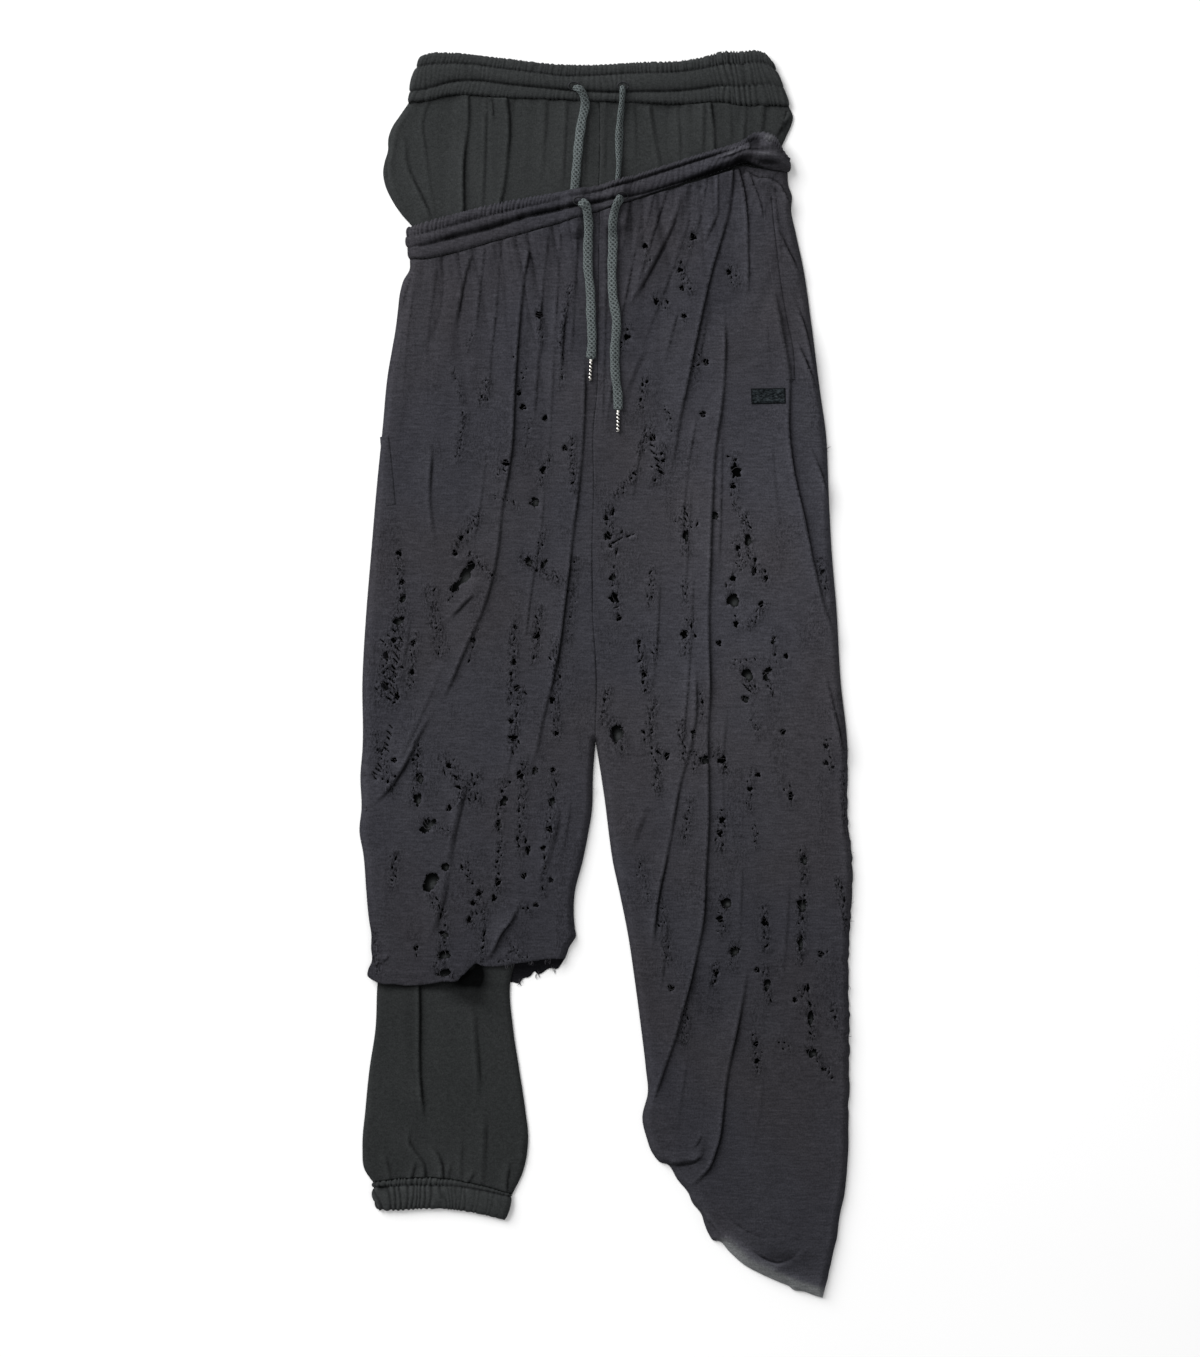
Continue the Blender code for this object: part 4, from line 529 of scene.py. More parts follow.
STREAKS_L = rows_of(
    Streak,
    (693, 232, 688, 248, 6, 4, 2.4), (646, 246, 646, 262, 6, 3, 2.2), (680, 266, 690, 290, 12, 4, 2.4),
    (731, 268, 736, 284, 9, 4, 2.0), (655, 296, 668, 310, 6, 4, 2.2), (685, 312, 684, 322, 5, 2, 2.2),
    (628, 325, 622, 350, 7, 3, 2.4), (696, 352, 694, 385, 6, 3, 2.0), (645, 380, 640, 410, 14, 3, 3.2),
    (666, 410, 672, 432, 5, 3, 2.4), (650, 428, 640, 450, 12, 4, 3.4), (662, 448, 656, 480, 22, 5, 3.8),
    (636, 472, 618, 494, 16, 4, 3.2), (608, 508, 614, 552, 22, 5, 3.6), (616, 530, 634, 536, 8, 3, 3.0),
    (684, 508, 686, 552, 18, 4, 3.4), (672, 518, 696, 524, 6, 3, 2.4), (733, 456, 736, 508, 9, 3, 2.8),
    (744, 515, 750, 560, 14, 4, 3.4), (736, 540, 742, 566, 12, 4, 3.0), (754, 564, 766, 580, 9, 4, 3.2),
    (734, 572, 728, 596, 6, 3, 2.6), (613, 566, 616, 612, 20, 4, 3.8), (652, 570, 650, 605, 12, 3, 2.8),
    (684, 582, 686, 604, 8, 3, 3.0), (690, 620, 684, 652, 14, 4, 3.2), (640, 640, 646, 690, 14, 3, 3.2),
    (658, 640, 654, 660, 6, 3, 2.4), (764, 606, 748, 626, 9, 4, 3.0), (736, 618, 738, 630, 5, 2, 2.6),
    (820, 560, 824, 590, 12, 4, 2.8), (774, 632, 776, 664, 6, 3, 3.0), (742, 668, 754, 690, 10, 4, 3.4),
    (766, 664, 772, 694, 8, 3, 3.2), (732, 664, 762, 660, 6, 4, 2.4), (608, 690, 602, 720, 10, 3, 2.6),
    (654, 700, 648, 740, 10, 4, 2.6), (612, 724, 622, 748, 14, 6, 3.4), (752, 720, 760, 734, 7, 3, 2.6),
    (681, 722, 684, 760, 12, 3, 3.2), (694, 752, 696, 770, 8, 3, 2.8), (716, 748, 726, 772, 10, 4, 3.4),
    (656, 748, 658, 790, 12, 4, 2.6), (752, 770, 748, 810, 8, 3, 2.6), (754, 826, 756, 846, 8, 2, 2.4),
    (788, 786, 792, 806, 6, 3, 3.0), (722, 812, 720, 850, 10, 4, 3.0), (690, 800, 684, 840, 9, 4, 2.4),
    (802, 850, 804, 880, 14, 3, 3.2), (724, 896, 722, 930, 14, 5, 3.4), (802, 896, 800, 960, 22, 4, 3.4),
    (764, 908, 766, 950, 10, 3, 2.8), (660, 900, 668, 960, 8, 5, 2.2), (734, 944, 732, 966, 10, 4, 3.2),
    (716, 962, 712, 984, 8, 3, 2.8), (765, 968, 768, 1000, 14, 3, 3.4), (799, 988, 808, 1000, 8, 3, 2.8),
    (811, 1004, 812, 1036, 22, 3.5, 3.4), (686, 1010, 684, 1040, 16, 4, 2.6),
    (808, 1048, 818, 1056, 9, 3, 3.0), (754, 1036, 758, 1070, 8, 4, 2.6), (834, 1004, 836, 1024, 9, 3, 2.4),
    (780, 1040, 790, 1050, 5, 4, 2.2), (820, 1062, 830, 1076, 6, 3, 2.6), (838, 880, 846, 930, 14, 3, 2.8),
    (842, 770, 846, 830, 10, 2, 2.6), (828, 952, 818, 960, 5, 3, 3.0), (700, 690, 702, 720, 6, 3, 2.2),
    (640, 860, 648, 900, 7, 4, 2.2), (826, 740, 832, 770, 6, 3, 2.6),
)
# The holes: their smallest size in pixels, how ragged they are, the cloth left between them and at the
# panel's edge, how many more and how much larger they are than the tables say, and how uneven a drawn
# tear's edge is.
SMALLEST_HOLE = 1.2
RAGGED = 0.36
HOLE_CLEAR = 0.0010
EDGE_CLEAR = 0.0020
MORE_HOLES = 1.5
LARGER_HOLES = 1.3
LARGER_RIPS = 1.06
TORN_EDGE = 0.00055
# The cloth is worn round its streaks of holes, in pixels past their stray, and thin in patches between
# these rows.
TORN_REACH = 2.5
THIN_SHARE = 0.34
THIN_TOP = 330
THIN_BOTTOM = 1090

# The largest tears, as they are drawn.
TEARS_R = (
    ((450, 589), (453, 584), (458, 580), (460, 574.5), (464, 568.5), (468, 563), (473, 561), (475, 566),
     (472, 570), (470, 577.5), (466, 582), (461, 584), (458, 590), (453, 593)),
    ((529, 503.5), (531, 499.5), (535, 497), (538.5, 499.5), (538, 503.5), (534, 506.5)),
    ((524, 558.5), (529, 557.5), (532, 560.5), (530.5, 566), (527, 565)),
    ((541, 565), (543.5, 560), (547.5, 559), (546.5, 564), (543, 568)),
    ((399.5, 601), (401, 596), (406, 594.5), (405.5, 599.5), (402, 602.5)),
    ((392.5, 623.5), (395, 618.5), (404, 617), (403, 622), (398, 625.5)),
    ((415.5, 780), (416.5, 774), (421, 772.5), (423.5, 777), (420.5, 784), (417, 783)),
    ((414, 802), (415.5, 794), (420.5, 793), (420, 802), (417.5, 806.5)),
    ((499.5, 805), (501, 798.5), (505.5, 796), (507.5, 799), (503, 806)),
    ((548.5, 805), (549.5, 800), (553.5, 796.5), (555, 801), (550.5, 806)),
    ((553.5, 730), (558, 732), (559, 735.5), (555, 736)),
    ((532, 775.5), (533, 768), (536, 766), (536.5, 773)),
    ((419.5, 830), (424, 824), (425, 819), (429, 817.5), (430.5, 822), (435.5, 819), (436.5, 822.5),
     (431, 827), (428.5, 832), (423, 833.5)),
    ((422.5, 889.5), (423.5, 881.5), (427, 875), (433, 873), (437, 874.5), (438, 881.5), (433.5, 887.5),
     (428.5, 892)),
    ((441, 869), (441.5, 864), (445.5, 862.5), (449, 865.5), (446.5, 870.5)),
    ((438.5, 931.5), (443, 931), (448.5, 935.5), (445.5, 939), (441, 936.5)),
    ((437, 955.5), (441.5, 951.5), (449, 952), (450.5, 957), (443, 959), (438.5, 959.5)),
    ((435, 975), (440, 971), (449.5, 970), (450.5, 973), (443, 977)),
    ((496, 827), (497.5, 820.5), (501, 819.5), (501.5, 825), (498.5, 830.5)),
)
TEARS_L = (
    ((711.5, 512.5), (715.5, 511), (718, 515), (716.5, 520), (713, 519)),
    ((744.5, 541.5), (746, 535.5), (749, 534), (751.5, 539), (749.5, 545.5), (747.5, 547.5)),
    ((683.5, 537.5), (684, 531), (687, 529.5), (688, 536), (687, 541.5)),
    ((725.5, 601), (728, 596), (731.5, 593.5), (736.5, 594), (739, 599), (738, 605), (734, 608),
     (731.5, 605.5), (727.5, 604)),
    ((741, 670.5), (745.5, 669), (751.5, 671.5), (752.5, 677.5), (749, 682), (745.5, 678.5), (742.5, 675.5)),
    ((762.5, 675), (765.5, 669), (770.5, 667.5), (771.5, 670.5), (768, 675.5), (768.5, 680), (764.5, 681)),
    ((741, 696.5), (745.5, 696), (749, 699), (747.5, 702), (743, 701)),
    ((771, 642.5), (772, 637.5), (775, 636), (775, 641), (773, 645.5)),
    ((730, 578), (732.5, 574), (736, 576.5), (735, 581), (731.5, 581)),
    ((609.5, 576), (613, 572.5), (616, 576), (614.5, 581), (610, 580.5)),
    ((609.5, 731), (614, 726), (621.5, 725.5), (624, 733), (620, 740), (615, 744), (611, 738.5)),
    ((690, 731.5), (693.5, 729), (694.5, 735), (692, 740)),
    ((699, 758), (703.5, 754.5), (707.5, 757.5), (708.5, 762.5), (703.5, 764.5), (699.5, 762.5)),
    ((720.5, 901), (725.5, 898.5), (731.5, 901), (730, 907), (724, 908.5)),
    ((797, 901.5), (805.5, 900), (806.5, 907), (802, 913), (798, 908.5)),
    ((729, 951.5), (733.5, 947), (739.5, 948), (737, 955), (731, 956.5)),
    ((797, 941.5), (801.5, 935.5), (803, 944), (800.5, 952)),
    ((800.5, 856.5), (805.5, 855), (807.5, 860), (805, 865), (801.5, 862.5)),
    ((763, 981.5), (768.5, 979), (770, 987), (766.5, 992)),
    ((807.5, 1015), (811.5, 1009.5), (813.5, 1020), (811, 1028.5), (808.5, 1022)),
    ((805.5, 1050.5), (816, 1049.5), (817, 1055), (809.5, 1057.5)),
)
# Ladders, where threads still cross a tear: from and to these places, how many slits, their size in
# pixels and how far they are turned.
Ladder = namedtuple("Ladder", "x0 y0 x1 y1 count width length turn")
LADDERS_R = rows_of(
    Ladder,
    (397, 645, 390, 702, 9, 2.2, 9.5, -0.75), (381, 764, 372, 779, 4, 2.2, 10, -0.8),
    (391, 724, 385, 752, 5, 1.9, 8, -0.8), (521, 740, 510, 754, 3, 2.0, 6, -0.5),
    (447, 563, 482, 571, 4, 1.6, 6, -1.0), (396, 628, 380, 643, 3, 1.8, 6, -0.9),
)
LADDERS_L = rows_of(
    Ladder,
    (650, 442, 660, 470, 4, 2.0, 8, -1.0), (610, 544, 632, 534, 3, 2.0, 7, 1.2),
    (686, 512, 684, 528, 3, 1.8, 6, -0.5), (747, 514, 750, 530, 3, 2.0, 5, -0.5),
    (742, 684, 750, 692, 3, 1.8, 6, -0.9), (766, 684, 772, 690, 2, 1.6, 5, -0.6),
)

# Frayed tufts along the outer pair's open edges: where, and how many threads.
Tuft = namedtuple("Tuft", "x y count")
TUFTS = rows_of(
    Tuft,
    (825, 432, 5), (826, 440, 4), (827, 450, 4), (848, 752, 4), (847, 790, 4), (849, 820, 5), (850, 832, 5),
    (852, 852, 7), (852, 868, 7), (851, 884, 6), (851, 902, 6), (851, 922, 5), (849, 985, 4),
    (849, 1018, 4), (850, 1028, 5), (850, 1036, 4), (850, 1078, 5), (362, 671, 5), (361, 776, 6),
    (362, 808, 6), (594, 784, 6), (849, 1128, 3), (372, 962, 4), (512, 966, 8), (530, 962, 8),
    (548, 960, 8), (520, 982, 6), (538, 974, 6), (554, 968, 6), (505, 965, 5),
)


# ---------------------------------------------------------------- curves and fields in the plane


def place(points):
    """Picture pixels as metres on the surface."""
    return (np.array(points, float) - PICTURE_CENTRE) * (PIXEL, -PIXEL)


def ease(share):
    """0 to 1 with level ends."""
    share = np.clip(share, 0, 1)
    return share * share * (3 - 2 * share)


def smooth_line(points, step):
    """A smooth line through the points, keeping each of them, with a point about every step."""
    points = np.asarray(points, float)
    gaps = np.linalg.norm(np.diff(points, axis=0), axis=1)
    slopes = np.diff(points, axis=0) / gaps[:, None]
    tangents = np.vstack([slopes[:1], slopes[:1], slopes[1:]])[: len(points)]
    before, after = gaps[:-1, None], gaps[1:, None]
    tangents[1:-1] = (slopes[:-1] * after + slopes[1:] * before) / (before + after)
    tangents[-1] = slopes[-1]
    line = [points[:1]]
    for i, gap in enumerate(gaps):
        count = max(1, round(gap / step))
        t = (np.arange(1, count + 1) / count)[:, None]
        line.append(
            (2 * t**3 - 3 * t**2 + 1) * points[i]
            + (t**3 - 2 * t**2 + t) * gap * tangents[i]
            + (3 * t**2 - 2 * t**3) * points[i + 1]
            + (t**3 - t**2) * gap * tangents[i + 1]
        )
    return np.vstack(line)


def near_course(route, points, reach):
    """The points within reach of a course: which they are, their distance (positive on the left of the
    course), how far along it they are, its length, and the way to its left."""
    low, high = route.min(axis=0) - reach, route.max(axis=0) + reach
    index = np.flatnonzero(((points > low) & (points < high)).all(axis=1))
    some = points[index]
    best = np.full(len(some), np.inf)
    side = np.ones(len(some))
    along = np.zeros(len(some))
    left = np.zeros((len(some), 2))
    passed = 0.0
    for start, end in zip(route, route[1:]):
        way = end - start
        length = np.linalg.norm(way)
        if length == 0:
            continue
        way = way / length
        apart = some - start
        share = np.clip(apart @ way, 0, length)
        apart = apart - share[:, None] * way
        distance = np.hypot(apart[:, 0], apart[:, 1])
        nearer = distance < best
        best[nearer] = distance[nearer]
        side[nearer] = np.where(way[0] * apart[nearer, 1] >= way[1] * apart[nearer, 0], 1, -1)
        along[nearer] = passed + share[nearer]
        left[nearer] = (-way[1], way[0])
        passed += length
    close = best < reach
    return index[close], (best * side)[close], along[close], passed, left[close]


def distance_from(route, points, reach):
    """Each point's distance from a line, up to reach."""
    found = np.full(len(points), reach)
    index, distance, *_ = near_course(route, points, reach)
    found[index] = np.abs(distance)
    return found


def directions(line):
    """The way that a line runs at each of its points."""
    ways = np.gradient(line, axis=0)
    return ways / np.linalg.norm(ways, axis=1)[:, None]


def run_along(line):
    """How far along a line each of its points is."""
    return np.concatenate([[0], np.cumsum(np.linalg.norm(np.diff(line, axis=0), axis=1))])


def read_along(line, run, at):
    """A line's points at some lengths along it."""
    return np.column_stack([np.interp(at, run, values) for values in line.T])


def moved_aside(route, distance):
    """The route moved to the left of its course by a distance, or by one for each point."""
    ways = directions(route)
    return route + distance * np.column_stack([-ways[:, 1], ways[:, 0]])


def closed(outline):
    """An outline with its first point again at its end."""
    return np.vstack([outline, outline[:1]])


# Up to this many pairs of points and edges are checked all at once.
SMALL_CHECK = 200000


def inside(outline, points):
    """Which points lie inside a closed outline."""
    if len(points) * len(outline) < SMALL_CHECK:
        x, y = points[:, :1], points[:, 1:]
        x1, y1 = outline.T
        x2, y2 = np.roll(outline, -1, axis=0).T
        rise = np.where(y1 == y2, 1, y2 - y1)
        crossed = ((y1 > y) != (y2 > y)) & (x < x1 + (x2 - x1) * (y - y1) / rise)
        return crossed.sum(axis=1) % 2 == 1
    order = np.argsort(points[:, 1])
    x, y = points[order].T
    crossed = np.zeros(len(points), int)
    for (x1, y1), (x2, y2) in zip(outline, np.roll(outline, -1, axis=0)):
        if y1 == y2:
            continue
        first, last = np.searchsorted(y, (min(y1, y2), max(y1, y2)))
        crossed[first:last] += x[first:last] < x1 + (x2 - x1) * (y[first:last] - y1) / (y2 - y1)
    found = np.empty(len(points), bool)
    found[order] = crossed % 2 == 1
    return found


# Uneven values repeat after this many grains, counted from well outside the picture.
WAVE_CELLS = 64
WAVE_START = 1000.0


def waves(points, grain, seed):
    """Smooth, uneven values from -1 to 1 over the plane, with a grain in x and in y."""
    table = np.random.default_rng(seed).uniform(-1, 1, (WAVE_CELLS, WAVE_CELLS))
    cell = np.asarray(points) / grain + WAVE_START
    low = np.floor(cell).astype(int)
    share = ease(cell - low)
    total = 0
    for i in (0, 1):
        for j in (0, 1):
            weight = np.abs(1 - i - share[:, 0]) * np.abs(1 - j - share[:, 1])
            total = total + weight * table[(low[:, 0] + i) % WAVE_CELLS, (low[:, 1] + j) % WAVE_CELLS]
    return total


# ---------------------------------------------------------------- outlines


# Points nearer than this are one. A rough edge starts smooth over so many points, and a frayed one over
# this length.
SAME_POINT = 0.0006
ROUGH_ENDS = 6
FRAY_FADE = 0.02


def joined(*lines):
    """Lines joined end to end, with shared ends kept once."""
    points = [lines[0][0]]
    for line in lines:
        for point in line:
            if np.linalg.norm(point - points[-1]) > SAME_POINT:
                points.append(point)
    if np.linalg.norm(points[0] - points[-1]) < SAME_POINT:
        points.pop()
    return np.array(points)


def side_edges(body, leg_r, leg_l):
    """Both outer side seams, the centre seam and both inner leg seams, each from the waist down."""
    right = [(s.right_x, s.right_y) for s in body] + [(s.photo_left_x, s.photo_left_y) for s in leg_r]
    left = [(s.left_x, s.left_y) for s in body] + [(s.photo_right_x, s.photo_right_y) for s in leg_l]
    centre = [(s.centre_x, s.centre_y) for s in body]
    inner_r = centre[-1:] + [(s.photo_right_x, s.photo_right_y) for s in leg_r]
    inner_l = centre[-1:] + [(s.photo_left_x, s.photo_left_y) for s in leg_l]
    return [smooth_line(place(line), OUTLINE_STEP) for line in (right, left, centre, inner_r, inner_l)]


def half_outline(seam, centre, inner, outer, hem, towards):
    """One side's outline, from its waist seam. towards is the direction of the centre seam."""
    middle = np.vstack([centre[1:], inner[1:]])
    if towards > 0:
        return joined(seam, middle, hem[::-1], outer[::-1][:-1])
    return joined(seam, outer[1:], hem[::-1], middle[::-1])


def station_ends(stations):
    """The upper and the lower ends of a band's stations."""
    return place([(s.top_x, s.top_y) for s in stations]), place([(s.bottom_x, s.bottom_y) for s in stations])


def band_edge(stations, edge):
    """A waistband's or cuff's upper or lower edge."""
    top, bottom = station_ends(stations)
    return smooth_line(top if edge == "top" else bottom, OUTLINE_STEP)


def split_at(line, x):
    """A line that runs to the photograph's right, in two at x."""
    cut = int(np.argmin(np.abs(line[:, 0] - x)))
    return line[: cut + 1], line[cut:]


def rough(line, amount, seed):
    """A line with a raw edge's small unevenness, its ends kept."""
    run = np.arange(len(line), dtype=float)
    spots = np.column_stack([run, run * 0])
    stray = waves(spots, (2.3, 1), seed) + 0.6 * waves(spots, (5.1, 1), seed + 1)
    stray *= ease(np.minimum(run, run[-1] - run) / ROUGH_ENDS)
    return moved_aside(line, amount * stray[:, None])


def frayed_edge(line, low, high, amount, seed):
    """A side that has frayed between two rows of the picture."""
    moved = rough(line, amount, seed)
    top, bottom = place([(0, low), (0, high)])[:, 1]
    share = ease((top - line[:, 1]) / FRAY_FADE) * ease((line[:, 1] - bottom) / FRAY_FADE)
    return line + share[:, None] * (moved - line)


# The faded thigh's centre and reach in pixels, and how light it is. How dark the shin is, from this row
# over so many, and how dark the rest is.
THIGH = (745, 560, 115, 190)
THIGH_FADED = 0.65
SHIN_DARK = 0.38
SHIN_FROM = 760
SHIN_OVER = 260
EVEN_DARK = 0.12


def fading(spots):
    """Where washing has faded the outer pair, and where it has kept its colour."""
    x, y = (spots / (PIXEL, -PIXEL) + PICTURE_CENTRE).T
    thigh = np.exp(-(((x - THIGH[0]) / THIGH[2]) ** 2) - ((y - THIGH[1]) / THIGH[3]) ** 2)
    return THIGH_FADED * thigh - SHIN_DARK * ease((y - SHIN_FROM) / SHIN_OVER) - EVEN_DARK


# ---------------------------------------------------------------- rips


def ragged_hole(x, y, width, length, turn, rng):
    """A torn hole's outline: uneven, with small tongues of cloth."""
    count = max(7, int(np.pi * (width + length) / 2 * PIXEL / RIP_STEP))
    angles = np.arange(count) * 2 * np.pi / count
    stray = np.zeros(count)
    for wave, size in ((2, 0.4), (3, 0.6), (5, 0.55), (8, 0.4)):
        stray += size * np.sin(wave * angles + rng.uniform(0, 2 * np.pi)) * rng.uniform(0.4, 1)
    reach = 1 + RAGGED * stray
    shape = np.column_stack([np.cos(angles) * width, np.sin(angles) * length]) / 2 * reach[:, None]
    cos, sin = np.cos(turn), np.sin(turn)
    return place(shape @ np.array([[cos, sin], [-sin, cos]]) + (x, y))


def drawn_tear(points, rng):
    """A tear's outline through its drawn points, with a torn edge's unevenness."""
    line = smooth_line(place([*points, points[0]]), RIP_STEP)[:-1]
    return line + rng.normal(0, TORN_EDGE, line.shape)


def torn_holes(rips, streaks, tears, ladders, outline, seed):
    """The outlines of all a panel's holes, none closer to another or to the edge than a thread. tears
    are the largest, whose shapes are drawn."""
    rng = np.random.default_rng(seed)
    drawn = [drawn_tear(tear, rng) for tear in tears]
    asked = []
    for ladder in ladders:
        for share in (np.arange(ladder.count) + 0.5) / ladder.count:
            x = ladder.x0 + share * (ladder.x1 - ladder.x0) + rng.normal(0, 0.7)
            y = ladder.y0 + share * (ladder.y1 - ladder.y0) + rng.normal(0, 0.5)
            size = rng.uniform(0.7, 1.1, 2)
            width, length = ladder.width * size[0], ladder.length * size[1]
            asked.append((x, y, width, length, ladder.turn + rng.normal(0, 0.1)))
    slits = len(asked)
    asked += [(r.x, r.y, r.width * LARGER_RIPS, r.length * LARGER_RIPS, 0.0) for r in rips]
    for streak in streaks:
        start, end = np.array([streak.x0, streak.y0]), np.array([streak.x1, streak.y1])
        for share in rng.uniform(0, 1, int(streak.count * MORE_HOLES)):
            x, y = start + share * (end - start) + rng.normal(0, 0.55, 2) * streak.stray
            size = SMALLEST_HOLE + (streak.size * LARGER_HOLES - SMALLEST_HOLE) * rng.uniform(0, 1) ** 1.5
            width, length = size * rng.uniform(0.5, 1.05), size * rng.uniform(0.8, 2.3)
            asked.append((x, y, width, length, rng.normal(0, 0.55)))
    centres = place([(x, y) for x, y, *_ in asked])
    margins = distance_from(closed(outline), centres, 0.03) * inside(outline, centres)
    kept, holes = np.zeros((0, 3)), drawn
    for tear in drawn:
        middle = tear.mean(axis=0)
        kept = np.vstack([kept, (*middle, np.linalg.norm(tear - middle, axis=1).max())])
    for number, (hole, (at_x, at_y), margin) in enumerate(zip(asked, centres, margins)):
        x, y, width, length, turn = hole
        radius = (max(width, length) if number >= slits else 1.3 * width) / 2 * PIXEL
        apart = np.hypot(kept[:, 0] - at_x, kept[:, 1] - at_y) - kept[:, 2] - radius
        if (apart < HOLE_CLEAR).any() or margin < radius * 1.25 + EDGE_CLEAR:
            continue
        kept = np.vstack([kept, (at_x, at_y, radius)])
        holes.append(ragged_hole(x, y, width, length, turn, rng))
    return holes


# ---------------------------------------------------------------- sheets


def grid_points(outline, step, rng):
    """Points that fill an outline in uneven rows."""
    low, high = outline.min(axis=0), outline.max(axis=0)
    rows = np.arange(low[1], high[1], step * ROW_RISE)
    columns = np.arange(low[0], high[0] + step, step)
    x = columns[None, :] + (np.arange(len(rows))[:, None] % 2) * step / 2
    y = np.repeat(rows[:, None], len(columns), axis=1)
    points = np.column_stack([x.ravel(), y.ravel()])
    points += rng.uniform(-JITTER, JITTER, points.shape) * step
    return points[inside(outline, points)]


def clear_of(points, lines, reach):
    """The points that stay clear of some lines' points."""
    tree = KDTree(sum(len(line) for line in lines))
    for line in lines:
        for x, y in line:
            tree.insert((x, y, 0), 0)
    tree.balance()
    keep = [tree.find((x, y, 0))[2] > reach for x, y in points]
    return points[np.array(keep, bool)]


def triangulated(outline, holes, points):
    """Triangles that fill an outline apart from its holes."""
    rings = [outline, *holes]
    spots, edges = [], []
    for ring in rings:
        first = len(spots)
        spots.extend(Vector(point) for point in ring)
        edges.extend((first + i, first + (i + 1) % len(ring)) for i in range(len(ring)))
    spots.extend(Vector(point) for point in points)
    found = delaunay_2d_cdt(spots, edges, [], 0, 1e-6, False)
    corners = np.array([tuple(spot) for spot in found[0]])
    faces = np.array([tuple(face) for face in found[2]])
    middles = corners[faces].mean(axis=1)
    keep = inside(outline, middles)
    for hole in holes:
        low, high = hole.min(axis=0), hole.max(axis=0)
        near = np.flatnonzero(((middles > low) & (middles < high)).all(axis=1) & keep)
        keep[near[inside(hole, middles[near])]] = False
    faces = faces[keep]
    a, b, c = (corners[faces[:, i]] for i in range(3))
    turn = (b[:, 0] - a[:, 0]) * (c[:, 1] - a[:, 1]) - (b[:, 1] - a[:, 1]) * (c[:, 0] - a[:, 0])
    faces = np.where((turn < 0)[:, None], faces[:, ::-1], faces)
    used, index = np.unique(faces, return_inverse=True)
    return corners[used], index.reshape(faces.shape)


def filled(outline, holes, step, seed, hidden=None, rows=None):
    """A panel's flat points and triangles, finer where it shows. hidden is the outline that covers it,
    and rows are points that the mesh keeps."""
    rng = np.random.default_rng(seed)
    points = grid_points(outline, step, rng)
    if rows is not None:
        rows = rows[inside(outline, rows)]
        rows = clear_of(rows, [outline, *holes], 0.62 * step)
        points = clear_of(points, [rows], 0.70 * step)
    if hidden is not None:
        points = points[~inside(hidden, points)]
        covered = grid_points(outline, HIDDEN_STEP, rng)
        points = np.vstack([points, covered[inside(hidden, covered)]])
    points = clear_of(points, [outline, *holes], 0.62 * step)
    if rows is not None:
        points = np.vstack([points, rows])
    return triangulated(outline, holes, points)


def rim_edges(faces):
    """The edges that belong to one triangle only, in its order."""
    edges = np.vstack([faces[:, [0, 1]], faces[:, [1, 2]], faces[:, [2, 0]]])
    keys = np.sort(edges, axis=1)
    _, first, counts = np.unique(keys, axis=0, return_index=True, return_counts=True)
    return edges[first[counts == 1]]


def add_values(piece, name, values):
    """One number for each of a piece's points, for its material."""
    data = piece.data.attributes.new(name, "FLOAT", "POINT").data
    data.foreach_set("value", np.asarray(values, np.float32))


def mesh_points(piece):
    """Where a piece's points are."""
    points = np.empty(len(piece.data.vertices) * 3, np.float32)
    piece.data.vertices.foreach_get("co", points)
    return points.reshape(-1, 3)


def lift_points(piece, amounts):
    """Raises each of a piece's points by an amount."""
    points = mesh_points(piece)
    points[:, 2] += amounts
    piece.data.vertices.foreach_set("co", points.ravel())
    piece.data.update()


def mesh_piece(name, points, faces, looks, painted_light_and_wear=None):
    """A smooth mesh from its points and triangles."""
    mesh = bpy.data.meshes.new(name)
    mesh.vertices.add(len(points))
    mesh.vertices.foreach_set("co", np.asarray(points, np.float32).ravel())
    mesh.loops.add(faces.size)
    mesh.loops.foreach_set("vertex_index", faces.ravel().astype(np.int32))
    mesh.polygons.add(len(faces))
    mesh.polygons.foreach_set("loop_start", np.arange(0, faces.size, 3, dtype=np.int32))
    mesh.update(calc_edges=True)
    mesh.validate()
    mesh.shade_smooth()
    mesh.materials.append(looks)
    piece = bpy.data.objects.new(name, mesh)
    # These values hold painted light and shade as well as the cloth's wear, for its material.
    if painted_light_and_wear is not None:
        add_values(piece, "painted_light_and_wear", painted_light_and_wear)
    bpy.context.collection.objects.link(piece)
    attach(piece, "root")
    return piece


def shell(name, flat, faces, height, shift, thickness, looks, painted_light_and_wear):
    """A sheet of cloth at its height, with its cut edges turned down by its thickness. A sheet that lies
    face down has a thickness under zero: its faces look down and its edges turn up."""
    points = np.column_stack([flat + shift, height])
    rim = rim_edges(faces)
    edge, index = np.unique(rim, return_inverse=True)
    index = index.reshape(rim.shape) + len(points)
    turned = points[edge] - (0, 0, thickness)
    sides_a = np.column_stack([rim[:, 1], rim[:, 0], index[:, 0]])
    sides_b = np.column_stack([rim[:, 1], index[:, 0], index[:, 1]])
    if thickness < 0:
        faces = faces[:, ::-1]
        sides_a, sides_b = sides_a[:, ::-1], sides_b[:, ::-1]
    all_faces = np.vstack([faces, sides_a, sides_b])
    painted_light_and_wear = np.concatenate([painted_light_and_wear, painted_light_and_wear[edge]])
    return mesh_piece(name, np.vstack([points, turned]), all_faces, looks, painted_light_and_wear)


# ---------------------------------------------------------------- the forms of the cloth


def at_seam(point, held):
    """Whether a fold's end lies at one of the seams that hold it."""
    return any(distance_from(line, point[None], SEAM_NEAR)[0] < SEAM_NEAR for line in held)


